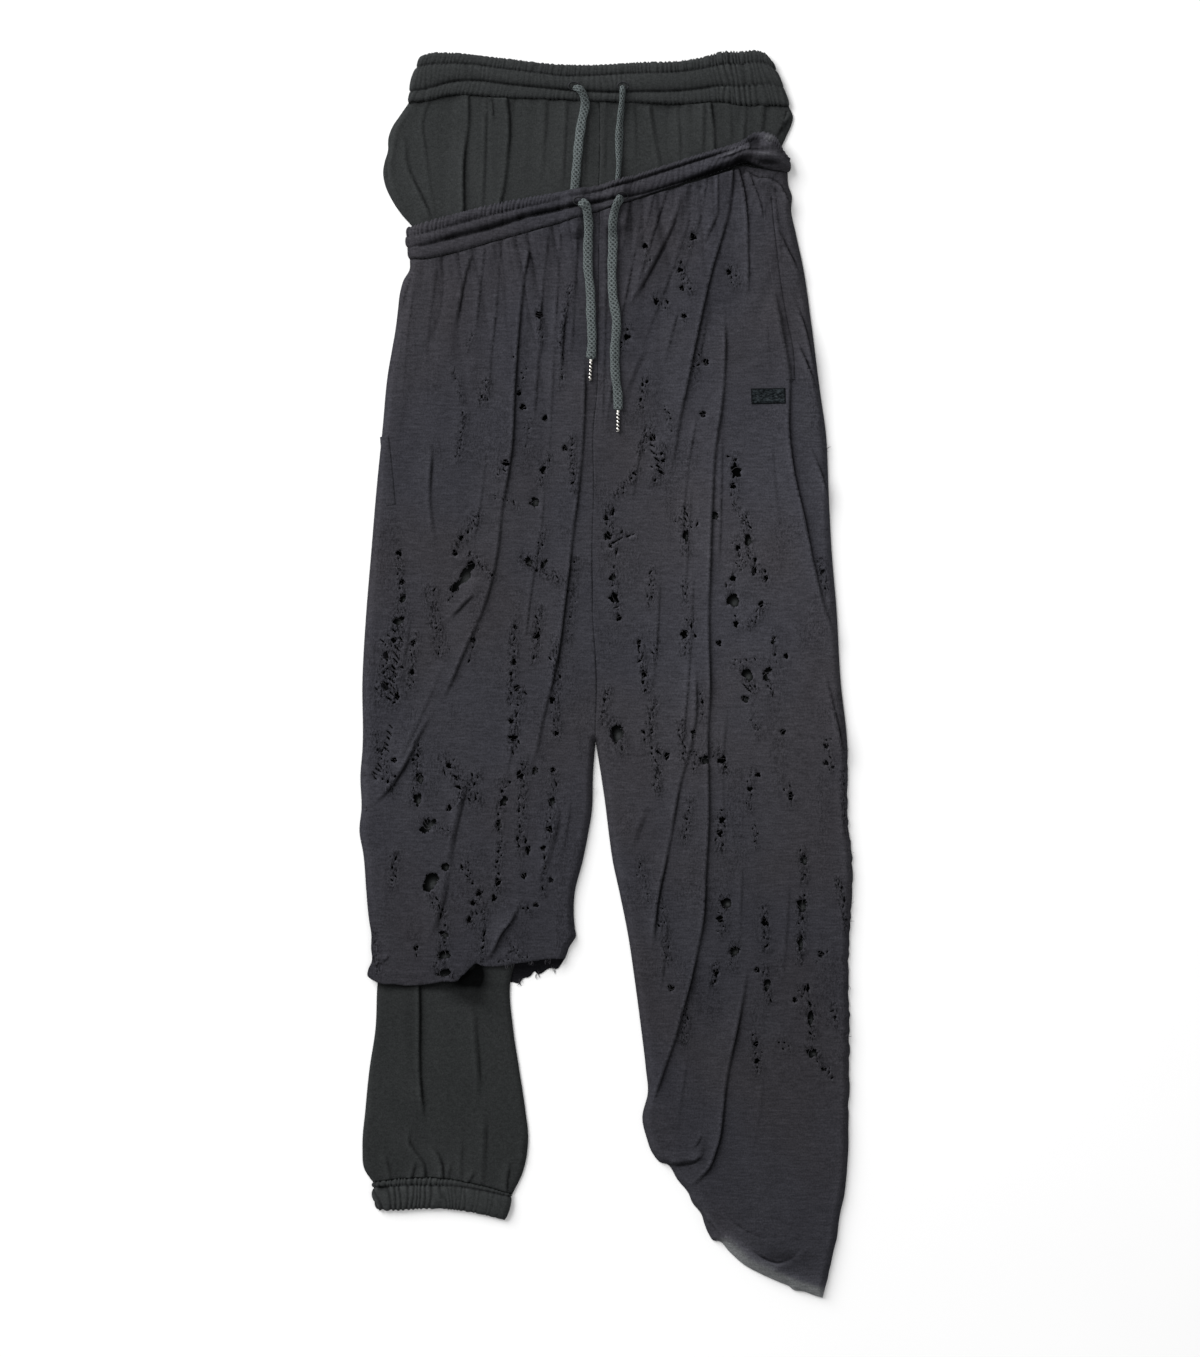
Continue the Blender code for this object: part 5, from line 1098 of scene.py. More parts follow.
def fold_form(folds, spots, form, held=()):
    """How far the folds lift each spot and shift it aside, and the painted light and shade they put on it: a
    highlight behind each crest and a shaded line at its foot. A crest leans over its own foot. A fold that
    starts or ends at a held seam is full there."""
    lifted = np.zeros(len(spots))
    shift = np.zeros((len(spots), 2))
    painted_light_and_wear = np.zeros(len(spots))
    for number, fold in enumerate(folds):
        route = smooth_line(place(fold.route), FOLD_STEP)
        fall = fold.fall * form.sharpen
        height = fold.height * form.share
        index, distance, along, length, left = near_course(route, spots, max(fold.rise, fall + 0.003))
        free = min(FOLD_END, FOLD_END_SHARE * length)
        starts, stops = (HELD_END if at_seam(end, held) else free for end in (route[0], route[-1]))
        ends = ease(along / starts) * ease((length - along) / stops)
        course = np.column_stack([along, along * 0])
        size = ends * (0.85 + 0.35 * waves(course, (0.035, 1), 70 + number))
        share = np.clip(1 - np.abs(distance) / np.where(distance < 0, fold.rise, fall), 0, 1)
        lifted[index] += height * size * (0.45 * ease(share) + 0.55 * share**2.2)
        reach = np.where(distance < 0, LEAN_REACH * fold.rise, fall)
        near = np.clip(1 - np.abs(distance) / reach, 0, 1)
        shift[index] += (LEAN * min(height, 1.3 * fall) * size * near**1.5)[:, None] * left
        # Painted highlight just behind the crest, and a line of painted shade at the fold's foot.
        foot = FOOT_WIDTH + 0.16 * fall
        crest = CREST_LIGHT * np.exp(-((distance + CREST_BACK) / CREST_WIDTH) ** 2)
        crest -= form.line * size**1.2 * np.exp(-((distance - fall) / foot) ** 2)
        painted_light_and_wear[index] += crest * size * min(1.0, fold.height / FULL_FOLD)
    return lifted, shift, painted_light_and_wear


def hollow_form(hollows, spots):
    """How far the hollows sink each spot, and how dark their painted shade makes it; those below zero raise
    it and paint a highlight.
    """
    sunk, painted_light_and_wear = np.zeros(len(spots)), np.zeros(len(spots))
    for hollow in hollows:
        apart = (spots - place([(hollow.x, hollow.y)])[0]) / PIXEL
        cos, sin = np.cos(hollow.turn), np.sin(hollow.turn)
        along = (apart[:, 0] * cos - apart[:, 1] * sin) / hollow.wide
        across = (apart[:, 0] * sin + apart[:, 1] * cos) / hollow.high
        share = np.exp(-(along**2 + across**2))
        sunk += hollow.depth * share
        painted_light_and_wear -= hollow.dark * share
    return sunk, painted_light_and_wear


def window_rows(tears):
    """Points inside the largest tears, where the cloth within shows."""
    rows = []
    for tear in tears:
        line = place(tear)
        if np.ptp(line, axis=0).max() > WINDOW_SIZE:
            rows.append(grid_points(line, WINDOW_STEP, np.random.default_rng(len(rows))))
    return np.vstack(rows)


def window_form(tears, spots):
    """How far the inner cloth bulges and takes painted light in the largest tears, away from their shade."""
    lifted = np.zeros(len(spots))
    for tear in tears:
        line = place(tear)
        size = np.ptp(line, axis=0)
        if size.max() > WINDOW_SIZE:
            apart = (spots - line.mean(axis=0)) / (0.42 * size) - WINDOW_SIDE
            lifted = np.maximum(lifted, np.exp(-(apart**2).sum(axis=1)))
    return lifted


def fold_rows(folds, form):
    """Points in rows along each fold's crest and fall, so that the mesh follows it."""
    taken = set()
    rows = []
    for fold in folds:
        route = smooth_line(place(fold.route), ROW_STEP)
        fall = fold.fall * form.sharpen
        for aside in (0.0, fall, 0.5 * fall, -CREST_ROW):
            for x, y in moved_aside(route, aside):
                cell = (int(x / ROW_CELL), int(y / ROW_CELL))
                if any((cell[0] + i, cell[1] + j) in taken for i in (-1, 0, 1) for j in (-1, 0, 1)):
                    continue
                taken.add(cell)
                rows.append((x, y))
    return np.array(rows)


def gather_form(gathers, seam, spots, side):
    """Gathers that run down from a seam and die away, each of its own length and height: how far they
    lift each spot, and how dark the painted shade in their narrow valleys makes it."""
    lifted, painted_light_and_wear = np.zeros(len(spots)), np.zeros(len(spots))
    index, distance, along, _, _ = near_course(seam, spots, 4.2 * gathers.length)
    down = np.abs(distance)
    along = along + gathers.lean * down * side
    spot = np.column_stack([along, down * 0.35])
    for number, (pitch, share, power) in enumerate(((1.0, 1.0, 0.5), (FINE_PITCH, FINE_SHARE, 0.9))):
        seed = gathers.seed + 20 * number
        pitch = pitch * gathers.pitch
        phase = along / pitch + 0.9 * waves(spot, (2.4 * pitch, 0.05), seed)
        phase += 0.35 * waves(spot, (pitch, 0.03), seed + 1)
        each = np.column_stack([phase, phase * 0])
        reach = gathers.length * (1 + 0.55 * waves(each, (1.3, 1), seed + 2)) * (1 - 0.35 * number)
        size = share * (0.75 + 0.55 * waves(each, (1.9, 1), seed + 3))
        wave = np.abs(np.sin(np.pi * phase))
        fade = np.exp(-((down / reach) ** 1.3)) * ease((down + 0.0012) / 0.003)
        lifted[index] += gathers.height * size * (wave**power - 0.65) * fade
        painted_light_and_wear[index] -= gathers.dark * size * np.clip(1 - wave / VALLEY, 0, 1) * fade
    return lifted, painted_light_and_wear


def long_ripples(spots, seam_y, lean, height, fade, seed):
    """Soft ripples that hang from the waist, long in one direction."""
    down = seam_y - spots[:, 1]
    across = spots[:, 0] + lean * down
    spot = np.column_stack([across, down])
    fine = waves(spot, (0.0075, 0.085), seed) * np.exp(-np.clip(down, 0, None) / fade)
    broad = waves(spot, (0.021, 0.150), seed + 1) * np.exp(-np.clip(down, 0, None) / (2.6 * fade))
    return height * (fine + 0.9 * broad)


# The waves of laid cloth: how high they are, and their grain across and down.
CLOTH_WAVES = ((0.0005, (0.055, 0.085)), (0.00022, (0.017, 0.026)), (0.00007, (0.0055, 0.0075)))


def cloth_waves(spots, seed):
    """The faint unevenness of any laid cloth."""
    each = enumerate(CLOTH_WAVES)
    return sum(height * waves(spots, grain, seed + number) for number, (height, grain) in each)


# How far the cloth round a hole curls up and sags, how far from the hole at most, from which radius on a
# hole does both in full, and how wide and light its frayed edge is.
CURL = 0.00075
SAG = 0.0006
CURL_REACH = 0.006
LARGE_HOLE = 0.003
HOLE_EDGE = 0.0009
HOLE_LIGHT = 0.5


def hole_form(holes, spots, seed):
    """The cloth round a hole curls up or sags, and frays."""
    rng = np.random.default_rng(seed)
    lifted = np.zeros(len(spots))
    painted_light_and_wear = np.zeros(len(spots))
    for hole in holes:
        centre = hole.mean(axis=0)
        radius = np.linalg.norm(hole - centre, axis=1).mean()
        reach = radius + CURL_REACH
        index = np.flatnonzero((np.abs(spots - centre) < reach).all(axis=1))
        out = spots[index] - centre
        distance = np.linalg.norm(out, axis=1) - radius
        angle = np.arctan2(out[:, 1], out[:, 0])
        size = min(1.0, radius / LARGE_HOLE)
        curl = rng.uniform(-0.3, 1.0) * size * CURL
        uneven = 0.6 + 0.6 * np.sin(2 * angle + rng.uniform(0, 6))
        uneven += 0.4 * np.sin(5 * angle + rng.uniform(0, 6))
        out_of = np.clip(distance, 0, None)
        near = np.exp(-out_of / (HOLE_EDGE + 0.25 * radius))
        lifted[index] += curl * uneven * near - SAG * size * near**2
        painted_light_and_wear[index] = np.maximum(painted_light_and_wear[index], np.exp(-out_of / HOLE_EDGE) * HOLE_LIGHT)
    return lifted, painted_light_and_wear


# The ridge over a hidden cord: how far its foot and its level top reach from the cord, and its height.
RIDGE_FOOT = 0.014
RIDGE_TOP = 0.0045
RIDGE_HEIGHT = 0.0050


def cord_ridge(spots):
    """The outer pair rides over the inner drawcords where they pass under it."""
    lifted = np.zeros(len(spots))
    for course in (UNDER_CORD_R, UNDER_CORD_L):
        hidden = place([point for point in course if point[1] > HIDDEN_FROM])
        distance = distance_from(hidden, spots, RIDGE_FOOT)
        lifted = np.maximum(lifted, ease((RIDGE_FOOT - distance) / (RIDGE_FOOT - RIDGE_TOP)))
    return lifted * RIDGE_HEIGHT


def open_hem(spots):
    """How far the outer right leg stands open round the inner one: 0 up the leg, 1 at its hem."""
    start, end, middle = place([(0, HEM_OPENS_FROM), (0, HEM_OPEN), (HEM_OPEN_TO, 0)])
    down = (start[1] - spots[:, 1]) / (start[1] - end[1])
    return ease(down) * ease((middle[0] - spots[:, 0]) / HEM_OPEN_FADE)


# ---------------------------------------------------------------- materials


class Graph:
    """A material's nodes, made with short calls."""

    def __init__(self, name):
        """A new material with its shader."""
        self.material = bpy.data.materials.new(name)
        self.material.use_nodes = True
        self.tree = self.material.node_tree
        self.shader = self.tree.nodes["Principled BSDF"]
        self.place = self.add("ShaderNodeTexCoord").outputs["Object"]

    def add(self, kind, **values):
        """A node of some kind, with its own settings."""
        node = self.tree.nodes.new(kind)
        for name, value in values.items():
            setattr(node, name, value)
        return node

    def link(self, source, target):
        """Leads one socket to another."""
        self.tree.links.new(source, target)

    def stretched(self, x, y, z=1.0, turn=0.0):
        """The object's own coordinates, scaled along each axis and turned."""
        mapping = self.add("ShaderNodeMapping")
        self.link(self.place, mapping.inputs["Vector"])
        mapping.inputs["Scale"].default_value = (x, y, z)
        mapping.inputs["Rotation"].default_value = (0, 0, turn)
        return mapping.outputs["Vector"]

    def noise(self, scale, stretch=(1.0, 1.0), detail=3.0, roughness=0.5, turn=0.0):
        """Noise over the object's own coordinates."""
        node = self.add("ShaderNodeTexNoise")
        self.link(self.stretched(*stretch, turn=turn), node.inputs["Vector"])
        node.inputs["Scale"].default_value = scale
        node.inputs["Detail"].default_value = detail
        node.inputs["Roughness"].default_value = roughness
        return node.outputs["Fac"]

    def spread(self, value, low, high, to_low, to_high):
        """A value's range from low to high, spread over another range and held at its ends."""
        node = self.add("ShaderNodeMapRange", clamp=True)
        self.link(value, node.inputs["Value"])
        for name, number in zip(("From Min", "From Max", "To Min", "To Max"), (low, high, to_low, to_high)):
            node.inputs[name].default_value = number
        return node.outputs["Result"]

    def math(self, operation, a, b):
        """One sum of two values, each a number or a socket."""
        node = self.add("ShaderNodeMath", operation=operation)
        for socket, value in zip(node.inputs, (a, b)):
            if isinstance(value, (int, float)):
                socket.default_value = value
            else:
                self.link(value, socket)
        return node.outputs["Value"]

    def mix(self, share, a, b, blend="MIX"):
        """Two colours mixed, each three numbers or a socket."""
        node = self.add("ShaderNodeMix", data_type="RGBA", blend_type=blend)
        for name, value in (("Factor", share), ("A", a), ("B", b)):
            socket = next(s for s in node.inputs if s.name == name and s.enabled)
            if isinstance(value, (int, float)):
                socket.default_value = value
            elif isinstance(value, tuple):
                socket.default_value = (*value, 1)
            else:
                self.link(value, socket)
        return next(s for s in node.outputs if s.enabled)

    def bump(self, height, strength, depth, onto=None):
        """A height drawn as bump, onto another bump where one is given."""
        node = self.add("ShaderNodeBump")
        node.inputs["Strength"].default_value = strength
        node.inputs["Distance"].default_value = depth
        self.link(height, node.inputs["Height"])
        if onto is not None:
            self.link(onto, node.inputs["Normal"])
        return node.outputs["Normal"]

    def attribute(self, name):
        """A value that the mesh's points hold."""
        return self.add("ShaderNodeAttribute", attribute_name=name).outputs["Fac"]

    def product(self, *values):
        """The values multiplied one by one."""
        total = values[0]
        for value in values[1:]:
            total = self.math("MULTIPLY", total, value)
        return total

    def toned(self, colour, tone):
        """A colour made lighter or darker by one number."""
        gain = self.add("ShaderNodeCombineColor")
        for socket in gain.inputs[:3]:
            self.link(tone, socket)
        return self.mix(1.0, colour, gain.outputs["Color"], "MULTIPLY")

    def finish(self, colour, roughness, normal=None, sheen=0.0, metallic=0.0, specular=0.0):
        """The material with these values on its shader."""
        sockets = self.shader.inputs
        self.link(colour, sockets["Base Color"])
        sockets["Roughness"].default_value = roughness
        sockets["Metallic"].default_value = metallic
        sockets["Specular IOR Level"].default_value = specular
        sockets["Sheen Weight"].default_value = sheen
        sockets["Sheen Roughness"].default_value = 0.45
        sockets["Sheen Tint"].default_value = (0.75, 0.77, 0.80, 1)
        if normal is not None:
            self.link(normal, sockets["Normal"])
        return self.material


def knit(graph, wale, course, strength, onto=None):
    """Rows of knit stitches, as bump: V-shaped loops, wale wide and course tall."""
    lines = []
    for way, pitch in (("X", wale), ("Y", course)):
        wave = graph.add("ShaderNodeTexWave", wave_type="BANDS", bands_direction=way, wave_profile="SIN")
        graph.link(graph.stretched(1, 1), wave.inputs["Vector"])
        wave.inputs["Scale"].default_value = 2 * np.pi / (20 * pitch)
        wave.inputs["Distortion"].default_value = 1.2
        wave.inputs["Detail Scale"].default_value = 2.0
        lines.append(wave.outputs["Fac"])
    return graph.bump(graph.product(*lines), strength, 0.0002, onto)


def jersey_looks():
    """Washed charcoal jersey: a heathered knit with faint brown and violet patches, with painted highlights
    on its crests and rolls and painted shade in its creases, hollows and lines of stitches.
    """
    graph = Graph("jersey")
    base = (0.0335, 0.0334, 0.0400)
    warm = (0.0360, 0.0342, 0.0385)
    faded = (0.0425, 0.0425, 0.0492)
    pale_and_lit = (0.0385, 0.0398, 0.0405)
    colour = graph.mix(graph.spread(graph.noise(7, detail=2), 0.42, 0.62, 0, 0.8), base, warm)
    colour = graph.mix(graph.spread(graph.noise(16, (1.6, 0.7), 3), 0.45, 0.75, 0, 0.35), colour, faded)
    rows = graph.spread(graph.noise(90, (0.9, 5.5), 4, 0.65, turn=0.06), 0.3, 0.7, 0.80, 1.20)
    grain = graph.spread(graph.noise(760, (1, 0.8), 2, 0.6), 0.3, 0.7, 0.74, 1.26)
    slubs = graph.spread(graph.noise(240, (0.6, 2.4), 3, 0.6), 0.3, 0.72, 0.86, 1.15)
    painted_light_and_wear = graph.attribute("painted_light_and_wear")
    # A paler tint where the painted light is strongest, and on the hem's paler facing.
    colour = graph.mix(graph.spread(painted_light_and_wear, 1.1, 2.6, 0.0, 1.0), colour, pale_and_lit)
    in_line = graph.spread(painted_light_and_wear, -1.5, 1.0, 0.35, 1.30)
    in_shade = graph.spread(painted_light_and_wear, -4.0, -1.6, 0.25, 1.0)
    in_light = graph.spread(painted_light_and_wear, 1.0, 4.0, 1.0, 3.0)
    torn = graph.attribute("torn")
    specks = graph.noise(430, (1.5, 0.7), 3, 0.65, turn=0.6)
    dark = graph.math("SUBTRACT", 1.0, graph.product(torn, graph.spread(specks, 0.52, 0.60, 0.0, 0.82)))
    pale = graph.math("ADD", 1.0, graph.product(torn, graph.spread(specks, 0.34, 0.46, 0.30, 0.0)))
    colour = graph.toned(colour, graph.product(rows, grain, slubs, in_line, in_shade, in_light, dark, pale))
    fine = graph.bump(graph.noise(1300, (1, 0.7), 2), 0.35, 0.0003)
    rows_bump = graph.bump(graph.noise(90, (0.9, 5.0), 4, 0.6, turn=0.06), 0.12, 0.0005, fine)
    normal = knit(graph, 0.0011, 0.0009, 0.3, rows_bump)
    normal = graph.bump(graph.product(torn, specks), 1.0, 0.0022, normal)
    return graph.finish(colour, 0.95, normal, sheen=0.03)


def fleece_looks():
    """Heavy green-black fleece with a smooth face and a little pile, with painted shade in its creases and
    where it is covered, and painted light in the largest tears.
    """
    graph = Graph("fleece")
    base = (0.0280, 0.0300, 0.0303)
    painted_light_and_wear = (0.0335, 0.0356, 0.0360)
    colour = graph.mix(graph.spread(graph.noise(14, detail=3), 0.40, 0.68, 0, 0.55), base, painted_light_and_wear)
    grain = graph.spread(graph.noise(800, (1, 0.9), 2, 0.6), 0.3, 0.7, 0.76, 1.24)
    nap = graph.spread(graph.noise(260, (0.8, 1.6), 4, 0.65), 0.3, 0.7, 0.84, 1.16)
    painted_shading = graph.attribute("painted_light_and_wear")
    in_line = graph.spread(painted_shading, -1.5, 1.0, 0.38, 1.28)
    in_shade = graph.spread(painted_shading, -4.0, -1.6, 0.16, 1.0)
    colour = graph.toned(colour, graph.product(grain, nap, in_line, in_shade))
    normal = graph.bump(graph.noise(1100, (1, 0.8), 3), 0.3, 0.0003)
    normal = knit(graph, 0.0013, 0.0011, 0.2, normal)
    return graph.finish(colour, 0.97, normal, sheen=0.03)


def cord_looks():
    """Grey-green braided cotton, flecked, with painted shade between its strands and painted light on them.
    """
    graph = Graph("cord")
    fleck = graph.spread(graph.noise(1500, (1, 1), 2, 0.7), 0.38, 0.66, 0, 1)
    colour = graph.mix(fleck, (0.046, 0.054, 0.054), (0.150, 0.172, 0.174))
    colour = graph.toned(colour, graph.spread(graph.attribute("painted_light_and_wear"), -2.0, 1.0, 0.30, 1.25))
    normal = graph.bump(graph.noise(1800, (1, 1), 2), 0.5, 0.0003)
    return graph.finish(colour, 0.95, normal, sheen=0.04)


def thread_looks(name, low, high, gloss=0.7):
    """Sewing thread or a torn yarn."""
    graph = Graph(name)
    colour = graph.mix(graph.spread(graph.noise(420, (1, 1), 2), 0.35, 0.65, 0, 1), low, high)
    return graph.finish(colour, gloss, sheen=0.02, specular=0.03)


def patch_looks():
    """A dark woven patch: uneven satin stitches inside a darker border."""
    graph = Graph("patch")
    tone = graph.spread(graph.noise(330, (1, 1.8), 3, 0.6, turn=0.5), 0.42, 0.66, 0, 1)
    colour = graph.mix(tone, (0.0030, 0.0040, 0.0048), (0.026, 0.032, 0.036))
    border = graph.spread(graph.attribute("painted_light_and_wear"), -1.0, -0.1, 1, 0)
    colour = graph.mix(border, colour, (0.0030, 0.0036, 0.0044))
    return graph.finish(colour, 0.6, sheen=0.02, specular=0.03)


def metal_looks():
    """Satin metal, tarnished in patches, with painted shade in the grooves of its spiral."""
    graph = Graph("tip_metal")
    tarnish = graph.spread(graph.noise(700, (1, 0.3), 3, 0.6), 0.4, 0.7, 0, 0.7)
    colour = graph.mix(tarnish, (0.86, 0.84, 0.80), (0.42, 0.39, 0.34))
    # Painted shade in the spiral's grooves.
    colour = graph.mix(graph.spread(graph.attribute("painted_light_and_wear"), -0.75, -0.25, 1, 0), colour, (0.02, 0.02, 0.018))
    normal = graph.bump(graph.noise(2400, (1, 0.2), 2), 0.2, 0.0001)
    return graph.finish(colour, 0.30, normal, metallic=1.0, specular=0.5)


# ---------------------------------------------------------------- the panels


def edge_form(away, full, edge, ramp):
    """A closed side: the cloth curves down from its full height to its edge."""
    return edge + (full - edge) * np.sin(np.pi / 2 * np.clip(away / ramp, 0, 1))


def nearest_edge(edges, spots, reach):
    """Each spot's distance from the nearest of some edges, up to reach."""
    return np.min([distance_from(edge, spots, reach) for edge in edges], axis=0)


def over_front(name, seed, outline, closing, seam, folds, torn_places, gathers, looks, hollows=()):
    """An outer front: its rips are holes, and all its folds and gathers are in its form. torn_places are
    its rips, streaks, tears and ladders."""
    holes = torn_holes(*torn_places, outline, seed)
    flat, faces = filled(outline, holes, CLOTH_STEP, seed + 1, rows=fold_rows(folds, JERSEY_FORM))
    away = nearest_edge(closing, flat, EDGE_RAMP)
    within = SIDE_ROUND * np.maximum(away / SIDE_ROUND, open_hem(flat))
    height = edge_form(within, OUTER_REST, SIDE_EDGE, SIDE_ROUND) + JERSEY
    lifted, shift, painted_light_and_wear = fold_form(folds, flat, JERSEY_FORM, (seam,))
    fade = ease(away / FOLD_FADE)
    torn, frayed = hole_form(holes, flat, seed + 2)
    loose, valleys = gather_form(gathers, seam, flat, 1)
    painted_light_and_wear += valleys
    loose += long_ripples(flat, seam[:, 1].mean(), gathers.lean, OVER_RIPPLES, OVER_RIPPLES_FADE, seed + 3)
    loose += cloth_waves(flat, seed + 5)
    sunk, shaded = hollow_form(hollows, flat)
    height += cord_ridge(flat) + (lifted + loose) * fade + torn - sunk
    shift *= fade[:, None]
    facing = distance_from(smooth_line(place(HEM_FACING_L), FOLD_STEP), flat, 0.03)
    # Painted light along the closed sides and painted shade in the hollows join the paler frayed edges and
    # the faded patches; the hem's paler facing takes painted light too.
    frayed += SIDE_LIGHT * np.exp(-((away / SIDE_REACH) ** 2)) * fade + shaded + fading(flat)
    frayed += FACING_PALE_AND_LIT * np.exp(-((facing / FACING_REACH) ** 1.6))
    piece = shell(name, flat, faces, height, shift, JERSEY, looks, painted_light_and_wear * fade + frayed)
    spots = mesh_points(piece)[:, :2]
    add_values(piece, "torn", np.maximum(torn_share(torn_places[1], spots), thin_places(spots, seed + 9)))
    return piece, holes


def torn_share(streaks, spots):
    """How worn through the cloth is: 1 in the middle of a streak of holes, 0 away from it."""
    share = np.zeros(len(spots))
    for streak in streaks:
        course = place([(streak.x0, streak.y0), (streak.x1, streak.y1)])
        reach = (streak.stray + TORN_REACH) * PIXEL
        near = np.exp(-(distance_from(course, spots, 2.2 * reach) / reach) ** 2) - 0.008
        share = np.maximum(share, near * min(1.0, streak.count / 10))
    return np.clip(share, 0, 1)


def thin_places(spots, seed):
    """How thin the cloth is between its streaks of holes, in patches down the legs."""
    patches = np.clip(2.4 * waves(spots, (0.020, 0.034), seed) - 0.30, 0, 1)
    top, bottom = place([(PICTURE_CENTRE[0], THIN_TOP), (PICTURE_CENTRE[0], THIN_BOTTOM)])[:, 1]
    return THIN_SHARE * patches * ease((top - spots[:, 1]) / 0.06) * ease((spots[:, 1] - bottom) / 0.04)


def under_front(name, seed, outline, closing, held, folds, gathers, cover, tears, looks):
    """An inner front: on the surface where it shows, and pressed flat inside the outer pair, whose tears
    show it."""
    rows = np.vstack([fold_rows(folds, FLEECE_FORM), window_rows(tears)])
    flat, faces = filled(outline, [], CLOTH_STEP, seed, cover, rows)
    away = nearest_edge(closing, flat, EDGE_RAMP)
    covered = cover_share(flat, cover)
    full = (FLEECE + GAP + FLEECE) * (1 - covered) + PRESSED * covered
    height = edge_form(away, full, FLEECE * 0.9, EDGE_ROUND)
    lifted, shift, painted_light_and_wear = fold_form(folds, flat, FLEECE_FORM, held)
    fade = ease(away / FOLD_FADE) * (1 - covered)
    loose, valleys = gather_form(gathers, held[0], flat, 1)
    loose += long_ripples(flat, held[0][:, 1].mean(), 0.0, UNDER_RIPPLES, UNDER_RIPPLES_FADE, seed + 3)
    loose += 1.2 * cloth_waves(flat, seed + 5)
    window = window_form(tears, flat) * (covered > 0.99)
    height += (lifted + loose) * fade + WINDOW_LIFT * window
    # Painted shade where the outer pair covers it, darker down the leg, painted shade where the hem stands
    # open, and painted light in the largest tears.
    leg = ease((place([(0, LEG_DARK_FROM)])[0, 1] - flat[:, 1]) / LEG_DARK_FADE)
    painted_light_and_wear = (painted_light_and_wear + valleys) * fade - COVERED_DARK * covered - LEG_DARK * leg
    painted_light_and_wear += hollow_form(LEG_HOLLOWS, flat)[1] + WINDOW_LIGHT * window
    return shell(name, flat, faces, height, shift * fade[:, None], FLEECE * 0.8, looks, painted_light_and_wear)


def cover_share(spots, cover):
    """How far a spot lies inside the outer pair: 0 outside it, 1 well within."""
    margin = distance_from(closed(cover), spots, COVER_REACH)
    return np.where(inside(cover, spots), ease(margin / COVER_REACH), 0)


def back_panel(name, outline, closing, seam, folds, gathers, thickness, looks, seed, hollows=()):
    """A back: flat on the surface that it rests on, with shallow creases and gathers of its own."""
    flat, faces = filled(outline, [], BACK_STEP, seed)
    lifted, _, painted_light_and_wear = fold_form(folds, flat, JERSEY_FORM)
    loose = np.abs(gather_form(gathers, seam, flat, -1)[0]) + 0.7 * np.abs(cloth_waves(flat, seed + 5))
    away = nearest_edge(closing, flat, EDGE_RAMP)
    height = 0.35 * np.clip(lifted, 0, 0.004) + np.clip(loose, 0, 0.0012)
    height += 0.0006 * (1 - np.sin(np.pi / 2 * np.clip(away / EDGE_ROUND, 0, 1)))
    # Its creases' painted light and shade, weaker, and the painted shade of its hollows.
    painted_light_and_wear = painted_light_and_wear * 0.6 + hollow_form(hollows, flat)[1]
    return shell(name, flat, faces, height, np.zeros_like(flat), -thickness, looks, painted_light_and_wear)


def back_folds(folds, share):
    """The hidden side's creases: like those in front, fewer and set a little aside."""
    return tuple(
        fold._replace(
            height=fold.height * share,
            route=tuple((x + BACK_ASIDE, y + BACK_ASIDE) for x, y in fold.route),
        )
        for fold in folds[::2]
    )


# ---------------------------------------------------------------- bands


# A band's channels: the lines of stitches between them, as shares along and across it, how far each
# channel puffs, how strongly and closely it is gathered, and how deep each line draws in along it and how
# dark its painted shade is, the band's own two edges included.
Channels = namedtuple("Channels", "lines puffs gathers pitches grooves")
UNDER_BAND_CHANNELS = Channels(
    (((0.03, 0.24), (0.19, 0.25), (0.31, 0.28), (0.41, 0.33), (0.54, 0.28), (0.65, 0.26), (1.0, 0.21)),
     ((0.03, 0.75), (0.10, 0.68), (0.19, 0.62), (0.31, 0.67), (0.41, 0.72), (0.54, 0.75), (0.79, 0.67),
      (1.0, 0.60))),
    (0.0026, 0.0036, 0.0020), (1.7, 1.1, 1.3), (0.85, 1.1, 0.95),
    (((0, 0.0),), ((0, 0.75), (1, 0.65)),
     ((0, 0.5), (0.08, 1.2), (0.45, 1.5), (0.8, 1.3), (0.9, 0.4), (1, 0.2)), ((0, 0.8), (1, 0.6))),
)
OVER_BAND_CHANNELS = Channels(
    (((0.0, 0.30), (0.25, 0.27), (0.5, 0.24), (0.6, 0.23), (1.0, 0.25)),
     ((0.0, 0.62), (0.05, 0.60), (0.13, 0.60), (0.21, 0.62), (0.26, 0.59), (0.31, 0.54), (0.40, 0.57),
      (0.45, 0.60), (0.52, 0.68), (0.62, 0.86), (0.8, 0.90))),
    (0.0030, 0.0036, 0.0020), (1.5, 0.8, 0.4), (0.78, 1.3, 1.8),
    (((0, 0.0),), ((0, 0.0), (0.06, 0.5), (0.11, 0.9), (0.16, 1.3), (0.20, 0.5), (0.25, 0.9), (0.32, 0.3),
                   (0.44, 0.4), (0.52, 1.5), (0.8, 1.6), (0.86, 0.2), (1, 0.0)),
     ((0, 0.1), (0.05, 1.0), (0.12, 2.4), (0.20, 2.8), (0.46, 2.8), (0.6, 1.6), (0.84, 2.6), (0.9, 0.5),
      (1, 0.0)),
     ((0, 0.8), (0.5, 0.8), (0.62, 1.6), (0.85, 2.2), (1, 0.6))),
)
CUFF_CHANNELS = Channels(
    (((0.0, 0.20), (0.4, 0.27), (1.0, 0.12)),),
    (0.0018, 0.0030), (2.0, 1.5), (0.44, 0.66), (((0, 0.7),), ((0, 0.9),), ((0, 0.0),)),
)
PLAIN_CHANNELS = Channels(
    (((0.0, 0.22), (1.0, 0.22)),),
    (0.0004, 0.0006), (0.2, 0.3), (1.0, 1.0), (((0, 0.5),), ((0, 0.5),), ((0, 0.0),)),
)
